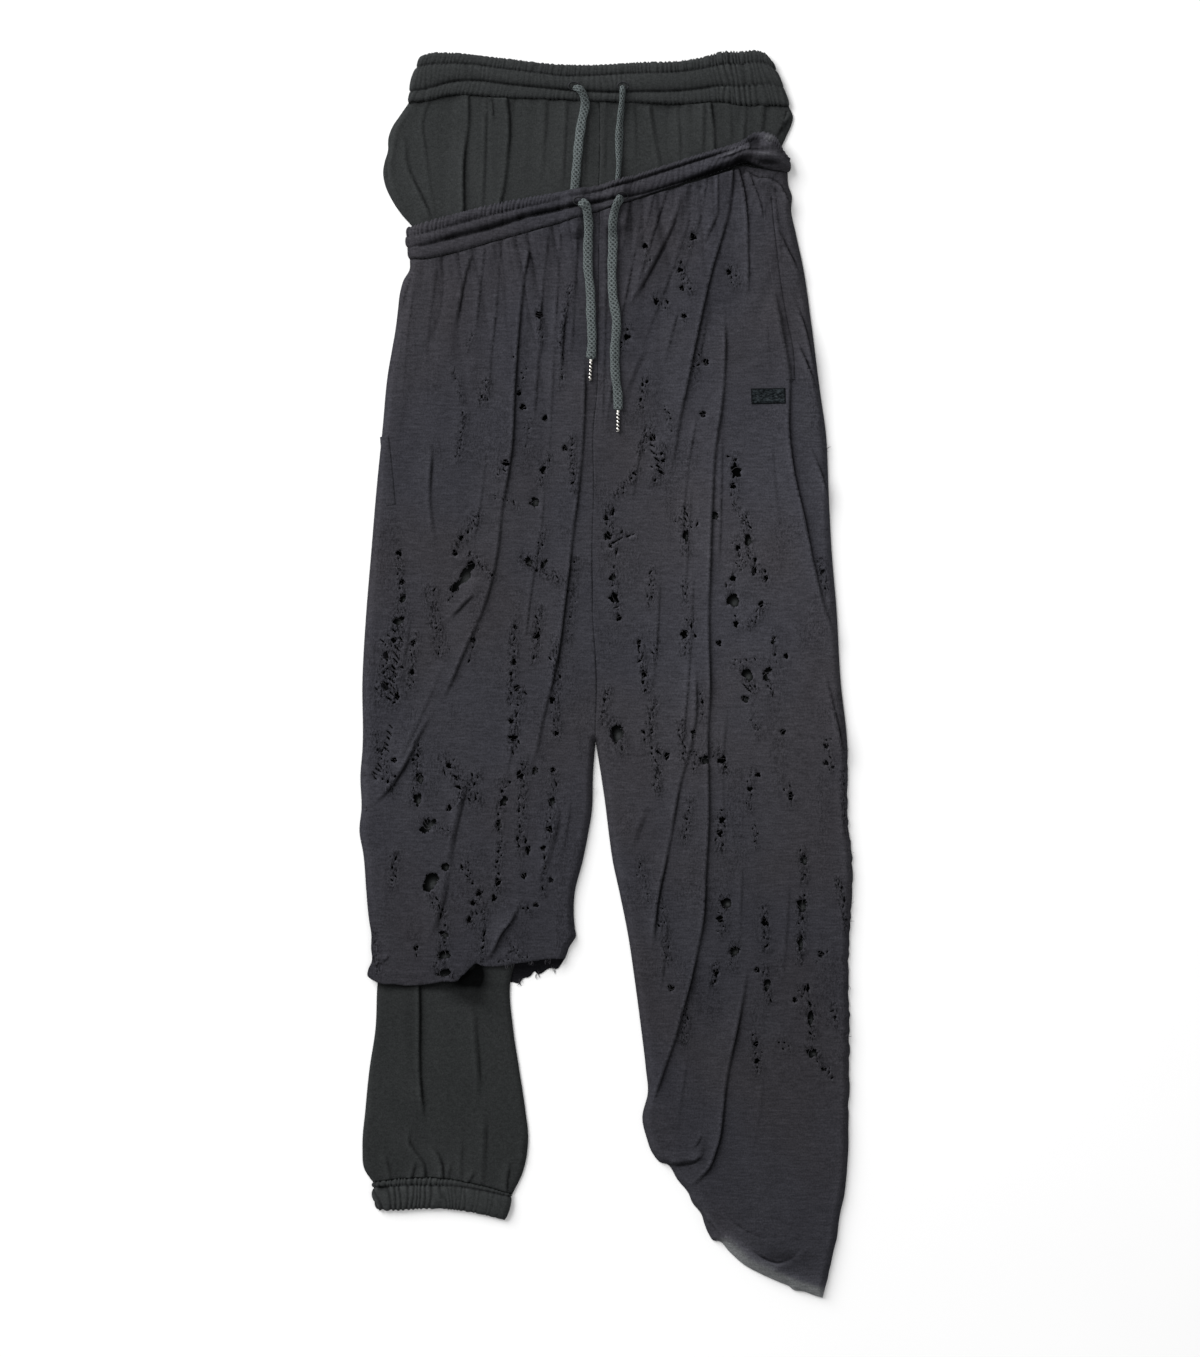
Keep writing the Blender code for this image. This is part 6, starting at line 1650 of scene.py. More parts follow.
# How fine a band's mesh is in front and behind, how high its ribs stand, and its lines of stitches: the
# least that one draws in, the pitch of its stitches, its width, depth and the reach of the painted shade
# above it.
BAND_STEP = 0.0008
BAND_BACK_STEP = 0.0012
RIB_HEIGHT = 0.0016
LEAST_DRAW = 0.30
DASH_PITCH = 0.0044
GROOVE_WIDTH = 0.0010
GROOVE_DEPTH = 0.0005
GROOVE_SHADE = 0.0036
# How a band's ends and edges puff out, and the widths over which its ends, lips and edges round.
END_PUFF = 0.85
END_REACH = 0.006
EDGE_PUFF = 0.0009
LIP = 0.0016
EDGE_ROLL = 0.0035
SIDE_ROLL = 0.0045
# How far a band's back lies off the surface between its ribs, and how high the hidden cuff lies.
BACK_HOLLOW = 0.0016
IN_LEG = 0.0024


def band_points(stations, edge, count):
    """Points at even shares of a band's upper or lower edge."""
    line = band_edge(stations, edge)
    run = run_along(line)
    return read_along(line, run, np.linspace(0, run[-1], count))


def station_lifts(stations, shares):
    """Each column's roll height, read between the stations."""
    run = run_along(sum(station_ends(stations)) / 2)
    return np.interp(shares, run / run[-1], [s.lift for s in stations])


def band_form(run, u, v, depth, channels, pitch, seed, swell):
    """How far a band stands out at each place, and how much painted light and shade it takes: its
    channels' puff, the gathers across them, with painted light on their ribs and painted shade between,
    and the lines of stitches between them, in painted shade."""
    rise = np.zeros(len(run))
    painted_light_and_wear = np.zeros(len(run))
    lines = [np.zeros(len(u))]
    lines += [np.interp(u, *np.array(line).T) for line in channels.lines]
    lines += [np.ones(len(u))]
    draws = [np.ones(len(u))]
    draws += [LEAST_DRAW + (1 - LEAST_DRAW) * np.clip(np.interp(u, *np.array(groove, float).T) / 1.4, 0, 1)
              for groove in channels.grooves[1:-1]]
    draws += [np.ones(len(u))]
    puffs = (0, *channels.puffs, 0)
    for number, (top, bottom) in enumerate(zip(lines, lines[1:])):
        within = (v >= top) & (v <= bottom)
        share = ((v - top) / (bottom - top))[within]
        crown = np.clip(4 * share * (1 - share), 0, 1) ** 0.6
        spot = np.column_stack([run[within], v[within] * 0.009])
        each = pitch * channels.pitches[number]
        slant = run[within] + 0.0012 * np.sin(5 * v[within] + number)
        phase = slant / each + 0.9 * waves(spot, (3 * each, 0.012), seed + 7 * number)
        phase += 0.5 * waves(spot, (1.1 * each, 0.009), seed + 7 * number + 1)
        ridge = np.abs(np.sin(np.pi * phase)) ** 0.7 - 0.65
        size = 0.72 + 0.55 * waves(spot, (0.026, 0.02), seed + 7 * number + 2)
        size = np.clip(size * swell(run[within]), 0.12, 1.4) * channels.gathers[number]
        above, puff, below = puffs[number:number + 3]
        kept = np.where(share < 0.5, (1 - draws[number][within]) * (above + puff) / 2,
                        (1 - draws[number + 1][within]) * (below + puff) / 2)
        puffed = kept + (puff - kept) * crown
        puffed *= 1 + 0.22 * waves(spot, (0.03, 0.02), seed + 7 * number + 3)
        rise[within] = puffed + RIB_HEIGHT * ridge * size * (1.05 - 0.5 * crown)
        # Painted light on each rib's crest and painted shade in its valleys.
        painted_light_and_wear[within] = 1.5 * ridge * size * (1.15 - 0.6 * crown)
    for line, groove in zip(lines, channels.grooves):
        depths = np.interp(u, *np.array(groove, float).T)
        apart = (v - line) * depth
        width = GROOVE_WIDTH * (1 + np.where(apart < 0, 1.2, 0.1) * np.clip(depths - 1, 0, 2))
        near = np.exp(-((apart / width) ** 2))
        spot = np.column_stack([run, run * 0])
        dashes = np.sin(2 * np.pi * run / DASH_PITCH + 3 * waves(spot, (0.011, 1), seed + 91))
        uneven = 0.85 + 0.5 * waves(spot, (0.006, 1), seed + 90) + 0.5 * np.clip(1.6 - depths, 0, 1) * dashes
        # Painted shade along each line of stitches, in dashes where the line is shallow, and a softer painted
        # shade above it.
        painted_light_and_wear -= depths * near * uneven
        painted_light_and_wear -= 0.30 * depths * np.exp(-((apart / GROOVE_SHADE) ** 2)) * (apart < 0)
        rise -= GROOVE_DEPTH * depths * near * (np.abs(v - 0.5) < 0.48)
    return rise, painted_light_and_wear


def band_grid(stations, step):
    """A band's fine grid of columns and rows: flat points, shares along and across, length along."""
    upper, lower = station_ends(stations)
    length = run_along(upper)[-1]
    depth = np.linalg.norm(upper - lower, axis=1).mean()
    columns, rows = int(length / step), int(depth / step)
    top = band_points(stations, "top", columns)
    bottom = band_points(stations, "bottom", columns)
    v = np.repeat(np.linspace(0, 1, rows), columns)
    u = np.tile(np.linspace(0, 1, columns), rows)
    spots = np.tile(top, (rows, 1)) * (1 - v[:, None]) + np.tile(bottom, (rows, 1)) * v[:, None]
    index = np.arange(rows * columns).reshape(rows, columns)
    a, b, c, d = (part.ravel() for part in (index[:-1, :-1], index[1:, :-1], index[1:, 1:], index[:-1, 1:]))
    faces = np.vstack([np.column_stack([a, b, c]), np.column_stack([a, c, d])])
    return spots, faces, u, v, length, depth


def band_piece(name, stations, channels, pitch, seed, floor, thickness, looks, swell, roll=(), hollows=()):
    """A gathered band. floor gives the height that its cloth starts from."""
    step = min(BAND_STEP, pitch * min(channels.pitches) / 4.5)
    spots, faces, u, v, length, depth = band_grid(stations, step)
    run = u * length
    rise, painted_light_and_wear = band_form(run, u, v, depth, channels, pitch, seed, swell)
    near_end = np.minimum(run, length - run)
    near_edge = np.minimum(v, 1 - v)
    outward = np.where(run < length / 2, -1, 1) * np.exp(-near_end / END_REACH)
    spots[:, 0] += outward * END_PUFF * rise
    lip = np.exp(-near_edge * depth / LIP)
    spots[:, 1] += lip * np.where(v < 0.5, 1, -1) * EDGE_PUFF * (painted_light_and_wear + 0.15)
    lift = station_lifts(stations, u) * np.clip(4.2 * v * (1 - v), 0, 1) * (0.78 + 0.22 * np.cos(9.5 * v))
    edge = edge_form(near_edge * depth, 1, 0, EDGE_ROLL)
    side = edge_form(near_end, 1, 0, SIDE_ROLL)
    base = floor(spots)
    lifted, shift, painted_shading = fold_form(roll, spots, ROLL_FORM)
    sunk, dark = hollow_form(hollows, spots)
    fade = ease(near_edge / 0.10) * side
    height = base + thickness * (0.45 + 0.55 * edge * side) + rise * (0.45 + 0.55 * side) + lift
    height = np.maximum(height + (lifted - sunk) * fade, base + 0.3 * thickness)
    # The rolls' painted highlights and lines of painted shade, and the hollows' painted shade and highlights.
    painted_light_and_wear = painted_light_and_wear + painted_shading * fade + dark
    return shell(name, spots, faces, height, shift * fade[:, None], thickness * 0.4, looks, painted_light_and_wear)


def band_back(name, stations, channels, pitch, seed, lift, thickness, looks, swell):
    """A band's back half, flat where it rests, with its stitch lines and gathers drawn in."""
    spots, faces, u, v, length, depth = band_grid(stations, BAND_BACK_STEP)
    rise, painted_light_and_wear = band_form(u * length, u, v, depth, channels, pitch, seed, swell)
    height = lift + np.clip(BACK_HOLLOW - 0.35 * rise, 0.0, BACK_HOLLOW)
    # The back keeps its ribs' and lines' painted light and shade, weaker.
    return shell(name, spots, faces, height, np.zeros_like(spots), -thickness * 0.5, looks, painted_light_and_wear * 0.7)


# ---------------------------------------------------------------- what is sewn on


class Ground:
    """The cloth that something lies on."""

    def __init__(self, *pieces):
        """The cloth of some pieces."""
        self.trees = []
        for piece in pieces:
            corners = np.empty(len(piece.data.loops), np.int32)
            piece.data.loops.foreach_get("vertex_index", corners)
            points, faces = mesh_points(piece).tolist(), corners.reshape(-1, 3).tolist()
            self.trees.append(BVHTree.FromPolygons(points, faces))

    def height(self, x, y):
        """The highest cloth at a place."""
        found = 0.0
        for tree in self.trees:
            hit = tree.ray_cast(Vector((x, y, 0.1)), Vector((0, 0, -1)))[0]
            if hit is not None:
                found = max(found, hit.z)
        return found

    def heights(self, spots, reach=0.0):
        """The highest cloth within reach of each spot."""
        turns = [(0.0, 0.0)]
        if reach:
            turns += [(reach * np.cos(a), reach * np.sin(a)) for a in np.arange(6) * np.pi / 3]
        return np.array([max(self.height(x + dx, y + dy) for dx, dy in turns) for x, y in spots])


def smoothed(values, reach):
    """Values evened out along a line."""
    kernel = np.hanning(2 * reach + 3)[1:-1]
    padded = np.concatenate([np.full(reach, values[0]), values, np.full(reach, values[-1])])
    return np.convolve(padded, kernel / kernel.sum(), "valid")


class Tubes:
    """Many small tubes joined into one mesh, such as stitches and torn threads."""

    def __init__(self, sides=4):
        """No tubes yet, each to have so many sides."""
        self.sides = sides
        self.points = []
        self.faces = []
        self.count = 0

    def add(self, line, radius):
        """A tube along a line, narrower at its two ends."""
        line = np.asarray(line, float)
        ways = np.gradient(line, axis=0)
        ways /= np.maximum(np.linalg.norm(ways, axis=1), 1e-9)[:, None]
        up = np.array([0.0, 0.0, 1.0])
        across = np.cross(ways, up)
        flat = np.linalg.norm(across, axis=1) < 1e-6
        across[flat] = (1, 0, 0)
        across /= np.linalg.norm(across, axis=1)[:, None]
        over = np.cross(across, ways)
        turns = np.arange(self.sides) * 2 * np.pi / self.sides
        taper = np.ones(len(line))
        taper[0] = taper[-1] = 0.35
        rings = line[:, None] + (radius * taper)[:, None, None] * (
            np.cos(turns)[None, :, None] * across[:, None] + np.sin(turns)[None, :, None] * over[:, None])
        first = self.count
        self.points.append(rings.reshape(-1, 3))
        self.count += rings.shape[0] * self.sides
        for i in range(len(line) - 1):
            for j in range(self.sides):
                a = first + i * self.sides + j
                b = first + i * self.sides + (j + 1) % self.sides
                self.faces.append((a, b, b + self.sides))
                self.faces.append((a, b + self.sides, a + self.sides))
        start, end = first, self.count - self.sides
        for j in range(1, self.sides - 1):
            self.faces.append((start, start + j + 1, start + j))
            self.faces.append((end, end + j, end + j + 1))

    def piece(self, name, looks):
        """All the tubes as one piece."""
        return mesh_piece(name, np.vstack(self.points), np.array(self.faces), looks)


# Stitches: where the row along a band's seam lies, as a share of its depth; their length, pitch, thread,
# how far they sink in, and how far the cloth may drop under one.
SEAM_SHARE = 0.96
STITCH = 0.0024
STITCH_PITCH = 0.0034
SEWING = 0.00024
STITCH_SINK = 0.0001
STITCH_DROP = 0.0012
# How finely a band's rows are drawn, and how far a welt's rows lie in from its edges and the cuff's row
# above its seam.
SEWN_POINTS = 400
SEWN_IN = 0.0008
CUFF_SEWN = 0.0030


def stitch_row(tubes, line, ground):
    """A row of stitches on a course over the cloth. A stitch is left out where the cloth drops steeply."""
    run = run_along(line)
    for start in np.arange(0.001, run[-1] - STITCH, STITCH_PITCH):
        spots = read_along(line, run, start + np.linspace(0, STITCH, 4))
        heights = ground.heights(spots)
        if heights.min() <= 0 or np.ptp(heights) > STITCH_DROP:
            continue
        arch = np.array([-1.0, 0.6, 0.6, -1.0]) * SEWING + SEWING * 0.4 - STITCH_SINK
        tubes.add(np.column_stack([spots, heights + arch]), SEWING)


def strip_outline(course, width):
    """A narrow strip along a course."""
    line = smooth_line(place(course), OUTLINE_STEP)
    return np.vstack([moved_aside(line, width / 2), moved_aside(line, -width / 2)[::-1]])


def applied(name, outline, ground, lift, puff, step, looks, seed, texture=None):
    """A piece sewn on the cloth: it follows what it lies on."""
    flat, faces = filled(outline, [], step, seed)
    away = distance_from(closed(outline), flat, 0.004)
    height = ground.heights(flat, 0.0008) + lift + puff * ease(away / 0.002)
    if texture is not None:
        height = height + texture(flat) * ease(away / 0.0012)
    border = -1.6 * np.exp(-((away / 0.0009) ** 2)) * (texture is not None)
    return shell(name, flat, faces, height, np.zeros_like(flat), lift, looks, border)


def embroidery(spots):
    """Dense, uneven satin stitches."""
    rows = np.abs(np.sin((spots[:, 0] * 0.55 + spots[:, 1]) * np.pi / 0.0016)) * 0.00035
    return rows + 0.0004 * waves(spots, (0.0016, 0.0012), 61) + 0.0003 * waves(spots, (0.004, 0.003), 62)


# ---------------------------------------------------------------- drawcords


CORD_WIDTH = 0.0082
CORD_THICKNESS = 0.0044
CORD_STEP = 0.0014
CORD_SUNK = 0.0040
CORD_RISE = 0.007
CORD_SIDES = 28
BRAID_STEP = 0.0007
BRAID_PITCH = 0.0042
BRAID_DEPTH = 0.00085
TIP = 0.0032
TIP_LENGTH = 0.0205
TIP_SIDES = 20
TIP_TURNS = 6
# Where along its length a tip rests on the cloth, and how far it is set into its cord.
TIP_RESTS = (0.004, 0.010, 0.018)
TIP_SETS_IN = 0.0008


def tube_faces(count, sides):
    """The numbers of a tube's points, ring by ring, and the triangles between its rings."""
    index = np.arange(count * sides).reshape(count, sides)
    after = np.roll(index, -1, axis=1)
    a, b, c, d = (part.ravel() for part in (index[:-1], after[:-1], after[1:], index[1:]))
    return index, np.vstack([np.column_stack([a, c, b]), np.column_stack([a, d, c])])


def cord_line(course, ground):
    """A drawcord's centreline on the cloth. It comes out of the waistband through its eyelet."""
    line = smooth_line(place(course), CORD_STEP)
    heights = smoothed(ground.heights(line, CORD_WIDTH * 0.42), 5)
    start = np.arange(len(line)) * CORD_STEP
    level = heights + CORD_THICKNESS / 2 + 0.0002
    level -= CORD_SUNK * (1 - ease(start / CORD_RISE))
    return np.column_stack([line, level])


def braided_cord(name, line, edge_on, looks):
    """A flat braid: its strands cross in a herringbone, and edge_on turns it on its side."""
    run = run_along(line)
    at = np.arange(0, run[-1], BRAID_STEP)
    line = read_along(line, run, at)
    ways = directions(line)
    across = np.cross(ways, (0, 0, 1.0))
    across /= np.linalg.norm(across, axis=1)[:, None]
    over = np.cross(across, ways)
    turned = edge_on(at / at[-1]) * np.pi / 2
    wide = across * np.cos(turned)[:, None] + over * np.sin(turned)[:, None]
    high = over * np.cos(turned)[:, None] - across * np.sin(turned)[:, None]
    angles = np.arange(CORD_SIDES) * 2 * np.pi / CORD_SIDES
    x = np.sign(np.cos(angles)) * np.abs(np.cos(angles)) ** 0.8 * CORD_WIDTH / 2
    z = np.sign(np.sin(angles)) * np.abs(np.sin(angles)) ** 0.8 * CORD_THICKNESS / 2
    strand = np.pi * at[:, None] / BRAID_PITCH
    weave = np.maximum(np.abs(np.sin(strand + 3 * angles)), np.abs(np.sin(strand - 3 * angles)))
    uneven = 1 + 0.05 * np.sin(at * 310) + 0.04 * np.sin(at * 127 + 1)
    scale = uneven[:, None] * (1 + BRAID_DEPTH / CORD_THICKNESS * 2.6 * (weave - 0.85))
    close = np.minimum(at, at[-1] - at)
    scale *= np.sqrt(np.clip(close / 0.0022, 0.04, 1))[:, None]
    rings = line[:, None] + (x * scale)[..., None] * wide[:, None] + (z * scale)[..., None] * high[:, None]
    index, faces = tube_faces(len(line), CORD_SIDES)
    fan = np.arange(1, CORD_SIDES - 1)
    first, last = index[0], index[-1]
    caps = np.vstack([
        np.column_stack([np.full(len(fan), first[0]), first[fan], first[fan + 1]]),
        np.column_stack([np.full(len(fan), last[0]), last[fan + 1], last[fan]]),
    ])
    # Painted shade between the strands and painted light on their tops.
    painted_light_and_wear = (4 * weave**2 - 3).ravel()
    return mesh_piece(name, rings.reshape(-1, 3), np.vstack([faces, caps]), looks, painted_light_and_wear), line


def spiral_tip(name, start, way, looks):
    """A metal tip wound like a close spring, with a plain collar at its upper end."""
    at = np.linspace(0, TIP_LENGTH, 180)
    share = at / TIP_LENGTH
    angles = np.arange(TIP_SIDES) * 2 * np.pi / TIP_SIDES
    wound = ease((share - 0.12) / 0.05) * ease((0.97 - share) / 0.03)
    phase = 2 * np.pi * TIP_TURNS * share[:, None] - angles
    groove = wound[:, None] * (0.5 - 0.5 * np.cos(phase)) ** 1.2
    radius = TIP / 2 * (1 - 0.30 * groove)
    radius *= np.sqrt(np.clip(np.minimum(at, TIP_LENGTH - at) / 0.0006, 0.05, 1))[:, None]
    way = np.append(way, 0.0)
    across = np.cross(way, (0, 0, 1.0))
    up = np.array([0, 0, 1.0])
    rings = (start + at[:, None] * way)[:, None] + radius[..., None] * (
        np.cos(angles)[None, :, None] * across + np.sin(angles)[None, :, None] * up)
    # The grooves' depth goes to the material, which paints shade in them.
    return mesh_piece(name, rings.reshape(-1, 3), tube_faces(len(at), TIP_SIDES)[1], looks, -groove.ravel())


def eyelet(tubes, x, y, ground):
    """The stitched ring of a buttonhole that a drawcord leaves by."""
    angles = np.linspace(0, 2 * np.pi, 25)
    ring = place([(x, y)])[0] + np.column_stack([np.cos(angles) * 0.0052, np.sin(angles) * 0.0034])
    heights = smoothed(ground.heights(ring), 3)
    tubes.add(np.column_stack([ring, heights + 0.0003]), 0.0007)


# ---------------------------------------------------------------- torn threads


# Holes of this mean radius and more have loose threads, and larger ones have threads across them.
THREADED = 0.0016
BRIDGED = 0.0026
# Tufts point away from this column. Those of the short leg's hem, between these columns and rows, hang down.
TUFTS_CENTRE = 580
HEM_TUFTS = (500, 570, 955, 990)


def add_threads(tubes, holes, ground, seed):
    """Threads across the larger holes and loose ends at their edges."""
    rng = np.random.default_rng(seed)
    for hole in holes:
        centre = hole.mean(axis=0)
        reach = np.linalg.norm(hole - centre, axis=1).mean()
        if reach < THREADED:
            continue
        level = max(ground.height(*point) for point in hole[::4] + (hole[::4] - centre) * 0.35)
        if level <= 0:
            continue
        bridges = rng.integers(0, 3) if reach > BRIDGED else 0
        for _ in range(bridges):
            i = rng.integers(len(hole))
            j = (i + len(hole) // 2 + rng.integers(-3, 4)) % len(hole)
            ends = hole[[i, j]] + (hole[[i, j]] - centre) * 0.15
            add_thread(tubes, ends[0], ends[1], level, -0.0008 * rng.uniform(0.2, 1.4), rng)
        for _ in range(int(rng.integers(1, 3 + int(reach * 900)))):
            i = rng.integers(len(hole))
            out = (hole[i] - centre) / max(np.linalg.norm(hole[i] - centre), 1e-6)
            start = hole[i] + out * 0.0006
            aside = rng.normal(0, 0.6)
            way = -out + aside * np.array([-out[1], out[0]])
            end = start + way / np.linalg.norm(way) * rng.uniform(0.0012, 0.0034)
            add_thread(tubes, start, end, level, 0.0007 * rng.uniform(-0.8, 1.0), rng)


def add_thread(tubes, start, end, level, bow, rng):
    """One thin, bent thread from start to end."""
    share = np.linspace(0, 1, 6)[:, None]
    line = start + share * (end - start)
    way = end - start
    side = np.array([-way[1], way[0]])
    line = line + np.sin(np.pi * share) * side * rng.uniform(-0.35, 0.35)
    heights = level - 0.0003 + bow * np.sin(np.pi * share[:, 0])
    radius = rng.uniform(0.00013, 0.00026)
    tubes.add(np.column_stack([line, np.maximum(heights, 0.0004)]), radius)


def add_tufts(tubes, ground):
    """Short torn ends that stand out past the open edges."""
    rng = np.random.default_rng(77)
    left, right, top, bottom = HEM_TUFTS
    for tuft in TUFTS:
        centre = place([(tuft.x, tuft.y)])[0]
        out = 1.0 if tuft.x > TUFTS_CENTRE else -1.0
        down = left < tuft.x < right and top < tuft.y < bottom
        for _ in range(tuft.count):
            start = centre + rng.normal(0, 0.0014, 2) - (0.0056 * out * (not down), -0.0018 * down)
            way = np.array([0.15 * rng.normal(), -1.0]) if down else np.array([out, rng.normal(0, 0.7)])
            end = start + way / np.linalg.norm(way) * rng.uniform(0.0034, 0.0064)
            level = max(0.0012, ground.height(*start))
            add_thread(tubes, start, end, level, 0.0005 * rng.normal(), rng)


# ---------------------------------------------------------------- the garment


def pair_edges(body, leg_r, leg_l, band):
    """A pair's outer, centre and inner seams from the waist down, and its waist seam's two halves."""
    edges = side_edges(body, leg_r, leg_l)
    return (*edges, *split_at(band_edge(band, "bottom"), edges[2][0, 0]))


# An elastic band's cut length for its gathered one.
GATHERED_EASE = 1.25
# The raw edges' unevenness: the short leg's hem in front and behind, and the left side between two rows.
RAW_HEM = 0.0005
RAW_BACK_HEM = 0.0012
RAW_SIDE = 0.0007
RAW_SIDE_FROM = 745
RAW_SIDE_TO = 1135


def declare_strip(middle, held="laid"):
    """Works out a strip's cut length along its middle line, and does nothing with it. An elastic one is cut
    longer.
    """
    length = float(run_along(middle)[-1])
    if held == "gathered":
        length *= GATHERED_EASE


def declare_band(stations):
    """Works out a gathered band's or cuff's cut length, and does nothing with it."""
    top, bottom = station_ends(stations)
    declare_strip((top + bottom) / 2, "gathered")


def make_over(looks):
    """The outer pair's panels. Gives back its fronts, their holes and their outlines."""
    right, left, centre, inner_r, inner_l, seam_r, seam_l = pair_edges(
        OVER_BODY, OVER_LEG_R, OVER_LEG_L, OVER_BAND)
    raw_r = rough(smooth_line(place(OVER_HEM_R), OUTLINE_STEP), RAW_HEM, 31)
    hem_l = smooth_line(place(OVER_HEM_L), OUTLINE_STEP)
    back_r = rough(smooth_line(place(OVER_BACK_HEM_R), OUTLINE_STEP), RAW_BACK_HEM, 33)
    left = frayed_edge(left, RAW_SIDE_FROM, RAW_SIDE_TO, RAW_SIDE, 35)
    outline_r = half_outline(seam_r, centre, inner_r, right, raw_r, 1)
    outline_l = half_outline(seam_l, centre, inner_l, left, hem_l, -1)
    outline_back_r = half_outline(seam_r, centre, inner_r, right, back_r, 1)
    sides_r, sides_l = [right, inner_r], [left, inner_l, hem_l]
    cloth = looks["jersey"]
    front_r, holes_r = over_front(
        "over_front_R_cloth", 100, outline_r, sides_r, seam_r, OVER_FOLDS_R + OVER_CREASES_R,
        (RIPS_R, STREAKS_R, TEARS_R, LADDERS_R), OVER_GATHERS_R, cloth)
    front_l, holes_l = over_front(
        "over_front_L_cloth", 200, outline_l, sides_l, seam_l, OVER_FOLDS_L + OVER_CREASES_L + (HEM_LEDGE_L,),
        (RIPS_L, STREAKS_L, TEARS_L, LADDERS_L), OVER_GATHERS_L, cloth, OVER_HOLLOWS_L)
    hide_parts("over_front_R")
    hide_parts("over_front_L")
    behind_r = back_panel(
        "over_back_R_cloth", outline_back_r, sides_r, seam_r, back_folds(OVER_FOLDS_R, 0.7),
        OVER_GATHERS_R, JERSEY * 0.6, cloth, 501, BACK_HEM_HOLLOWS)
    behind_l = back_panel(
        "over_back_L_cloth", outline_l, sides_l, seam_l, back_folds(OVER_FOLDS_L, 0.7),
        OVER_GATHERS_L, JERSEY * 0.6, cloth, 502)
    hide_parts("over_back_R")
    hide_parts("over_back_L")
    return front_r, front_l, holes_r, holes_l, outline_r, outline_l


def make_under(looks, cover_r, cover_l):
    """The inner pair's panels. Gives back its fronts. The covers are the outer fronts' outlines."""
    right, left, centre, inner_r, inner_l, seam_r, seam_l = pair_edges(
        UNDER_BODY, UNDER_LEG_R, UNDER_LEG_L, UNDER_BAND)
    cuff_r, cuff_l = band_edge(CUFF_R, "top"), band_edge(CUFF_L, "top")
    outline_r = half_outline(seam_r, centre, inner_r, right, cuff_r, 1)
    outline_l = half_outline(seam_l, centre, inner_l, left, cuff_l, -1)
    cloth = looks["fleece"]
    fronts = []
    for side, seed, back_seed, outline, closing, held, folds, gathers, cover, tears in (
        ("R", 300, 592, outline_r, [right, inner_r], (seam_r, cuff_r), UNDER_FOLDS_R + UNDER_CREASES_R,
         UNDER_GATHERS_R, cover_r, TEARS_R),
        ("L", 400, 586, outline_l, [left, inner_l], (seam_l, cuff_l), UNDER_FOLDS_L + UNDER_CREASES_L,
         UNDER_GATHERS_L, cover_l, TEARS_L),
    ):
        front = under_front(f"under_front_{side}_cloth", seed, outline, closing, held, folds, gathers, cover,
                            tears, cloth)
        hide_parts(f"under_front_{side}")
        back = back_panel(f"under_back_{side}_cloth", outline, closing, held[0], back_folds(folds, 0.6),
                          gathers, FLEECE * 0.5, cloth, back_seed)
        lift_points(back, COVERED_BACK * inside(cover, mesh_points(back)[:, :2]))
        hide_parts(f"under_back_{side}")
        fronts.append(front)
    return fronts


def make_bands(looks):
    """The waistbands and cuffs. Gives back their fronts."""
    over_ends = [place([(s.top_x, s.top_y), (s.bottom_x, s.bottom_y)]) for s in (OVER_BAND[0], OVER_BAND[-1])]

    def on_back(spots):
        return np.full(len(spots), BAND + GAP)

    def on_inner_pair(spots):
        away = nearest_edge(over_ends, spots, EDGE_RAMP)
        return edge_form(away, OUTER_REST, BACK_BAND + GAP, EDGE_RAMP) + cord_ridge(spots)

    def on_cuff(spots):
        return np.full(len(spots), FLEECE)

    def in_leg(spots):
        return np.full(len(spots), IN_LEG)

    def tight_at_right(run):
        return 0.60 + 0.65 * np.exp(-(((run - 0.285) / 0.032) ** 2))

    def even(run):
        return np.full(len(run), 0.9)

    def weaker_at_right(run):
        return 1.1 - 0.7 * ease((run - 0.075) / 0.03)

    fronts = []
    for node, stations, channels, pitch, floor, thickness, slot, swell, roll, hollows in (
        ("under_band_front", UNDER_BAND, UNDER_BAND_CHANNELS, 0.0044, on_back, BAND * 0.8, "fleece",
         tight_at_right, (), ()),
        ("over_band_front", OVER_BAND, OVER_BAND_CHANNELS, 0.0048, on_inner_pair, BAND * 0.8, "jersey",
         even, ROLL_FOLDS, ROLL_HOLLOWS),
        ("under_cuff_front_R", CUFF_R, CUFF_CHANNELS, 0.0088, on_cuff, FLEECE, "fleece",
         weaker_at_right, (), ()),
        ("under_cuff_front_L", CUFF_L, PLAIN_CHANNELS, 0.0088, in_leg, 0.0008, "fleece", even, (), ()),
    ):
        seed = 600 + len(fronts) * 40
        piece = band_piece(f"{node}_cloth", stations, channels, pitch, seed, floor, thickness, looks[slot],
                           swell, roll, hollows)
        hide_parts(node)
        declare_band(stations)
        fronts.append(piece)
    for node, stations, channels, lift, thickness, slot in (
        ("under_band_back", UNDER_BAND, UNDER_BAND_CHANNELS, 0.0, BAND, "fleece"),
        ("over_band_back", OVER_BAND, OVER_BAND_CHANNELS, 0.0, BACK_BAND, "jersey"),
        ("under_cuff_back_R", CUFF_R, CUFF_CHANNELS, 0.0, FLEECE, "fleece"),
        ("under_cuff_back_L", CUFF_L, PLAIN_CHANNELS, 0.0010, FLEECE, "fleece"),
    ):
        piece = band_back(f"{node}_cloth", stations, channels, 0.0060, 800, lift, thickness, looks[slot],
                          even)
        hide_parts(node)
        declare_band(stations)
    return fronts


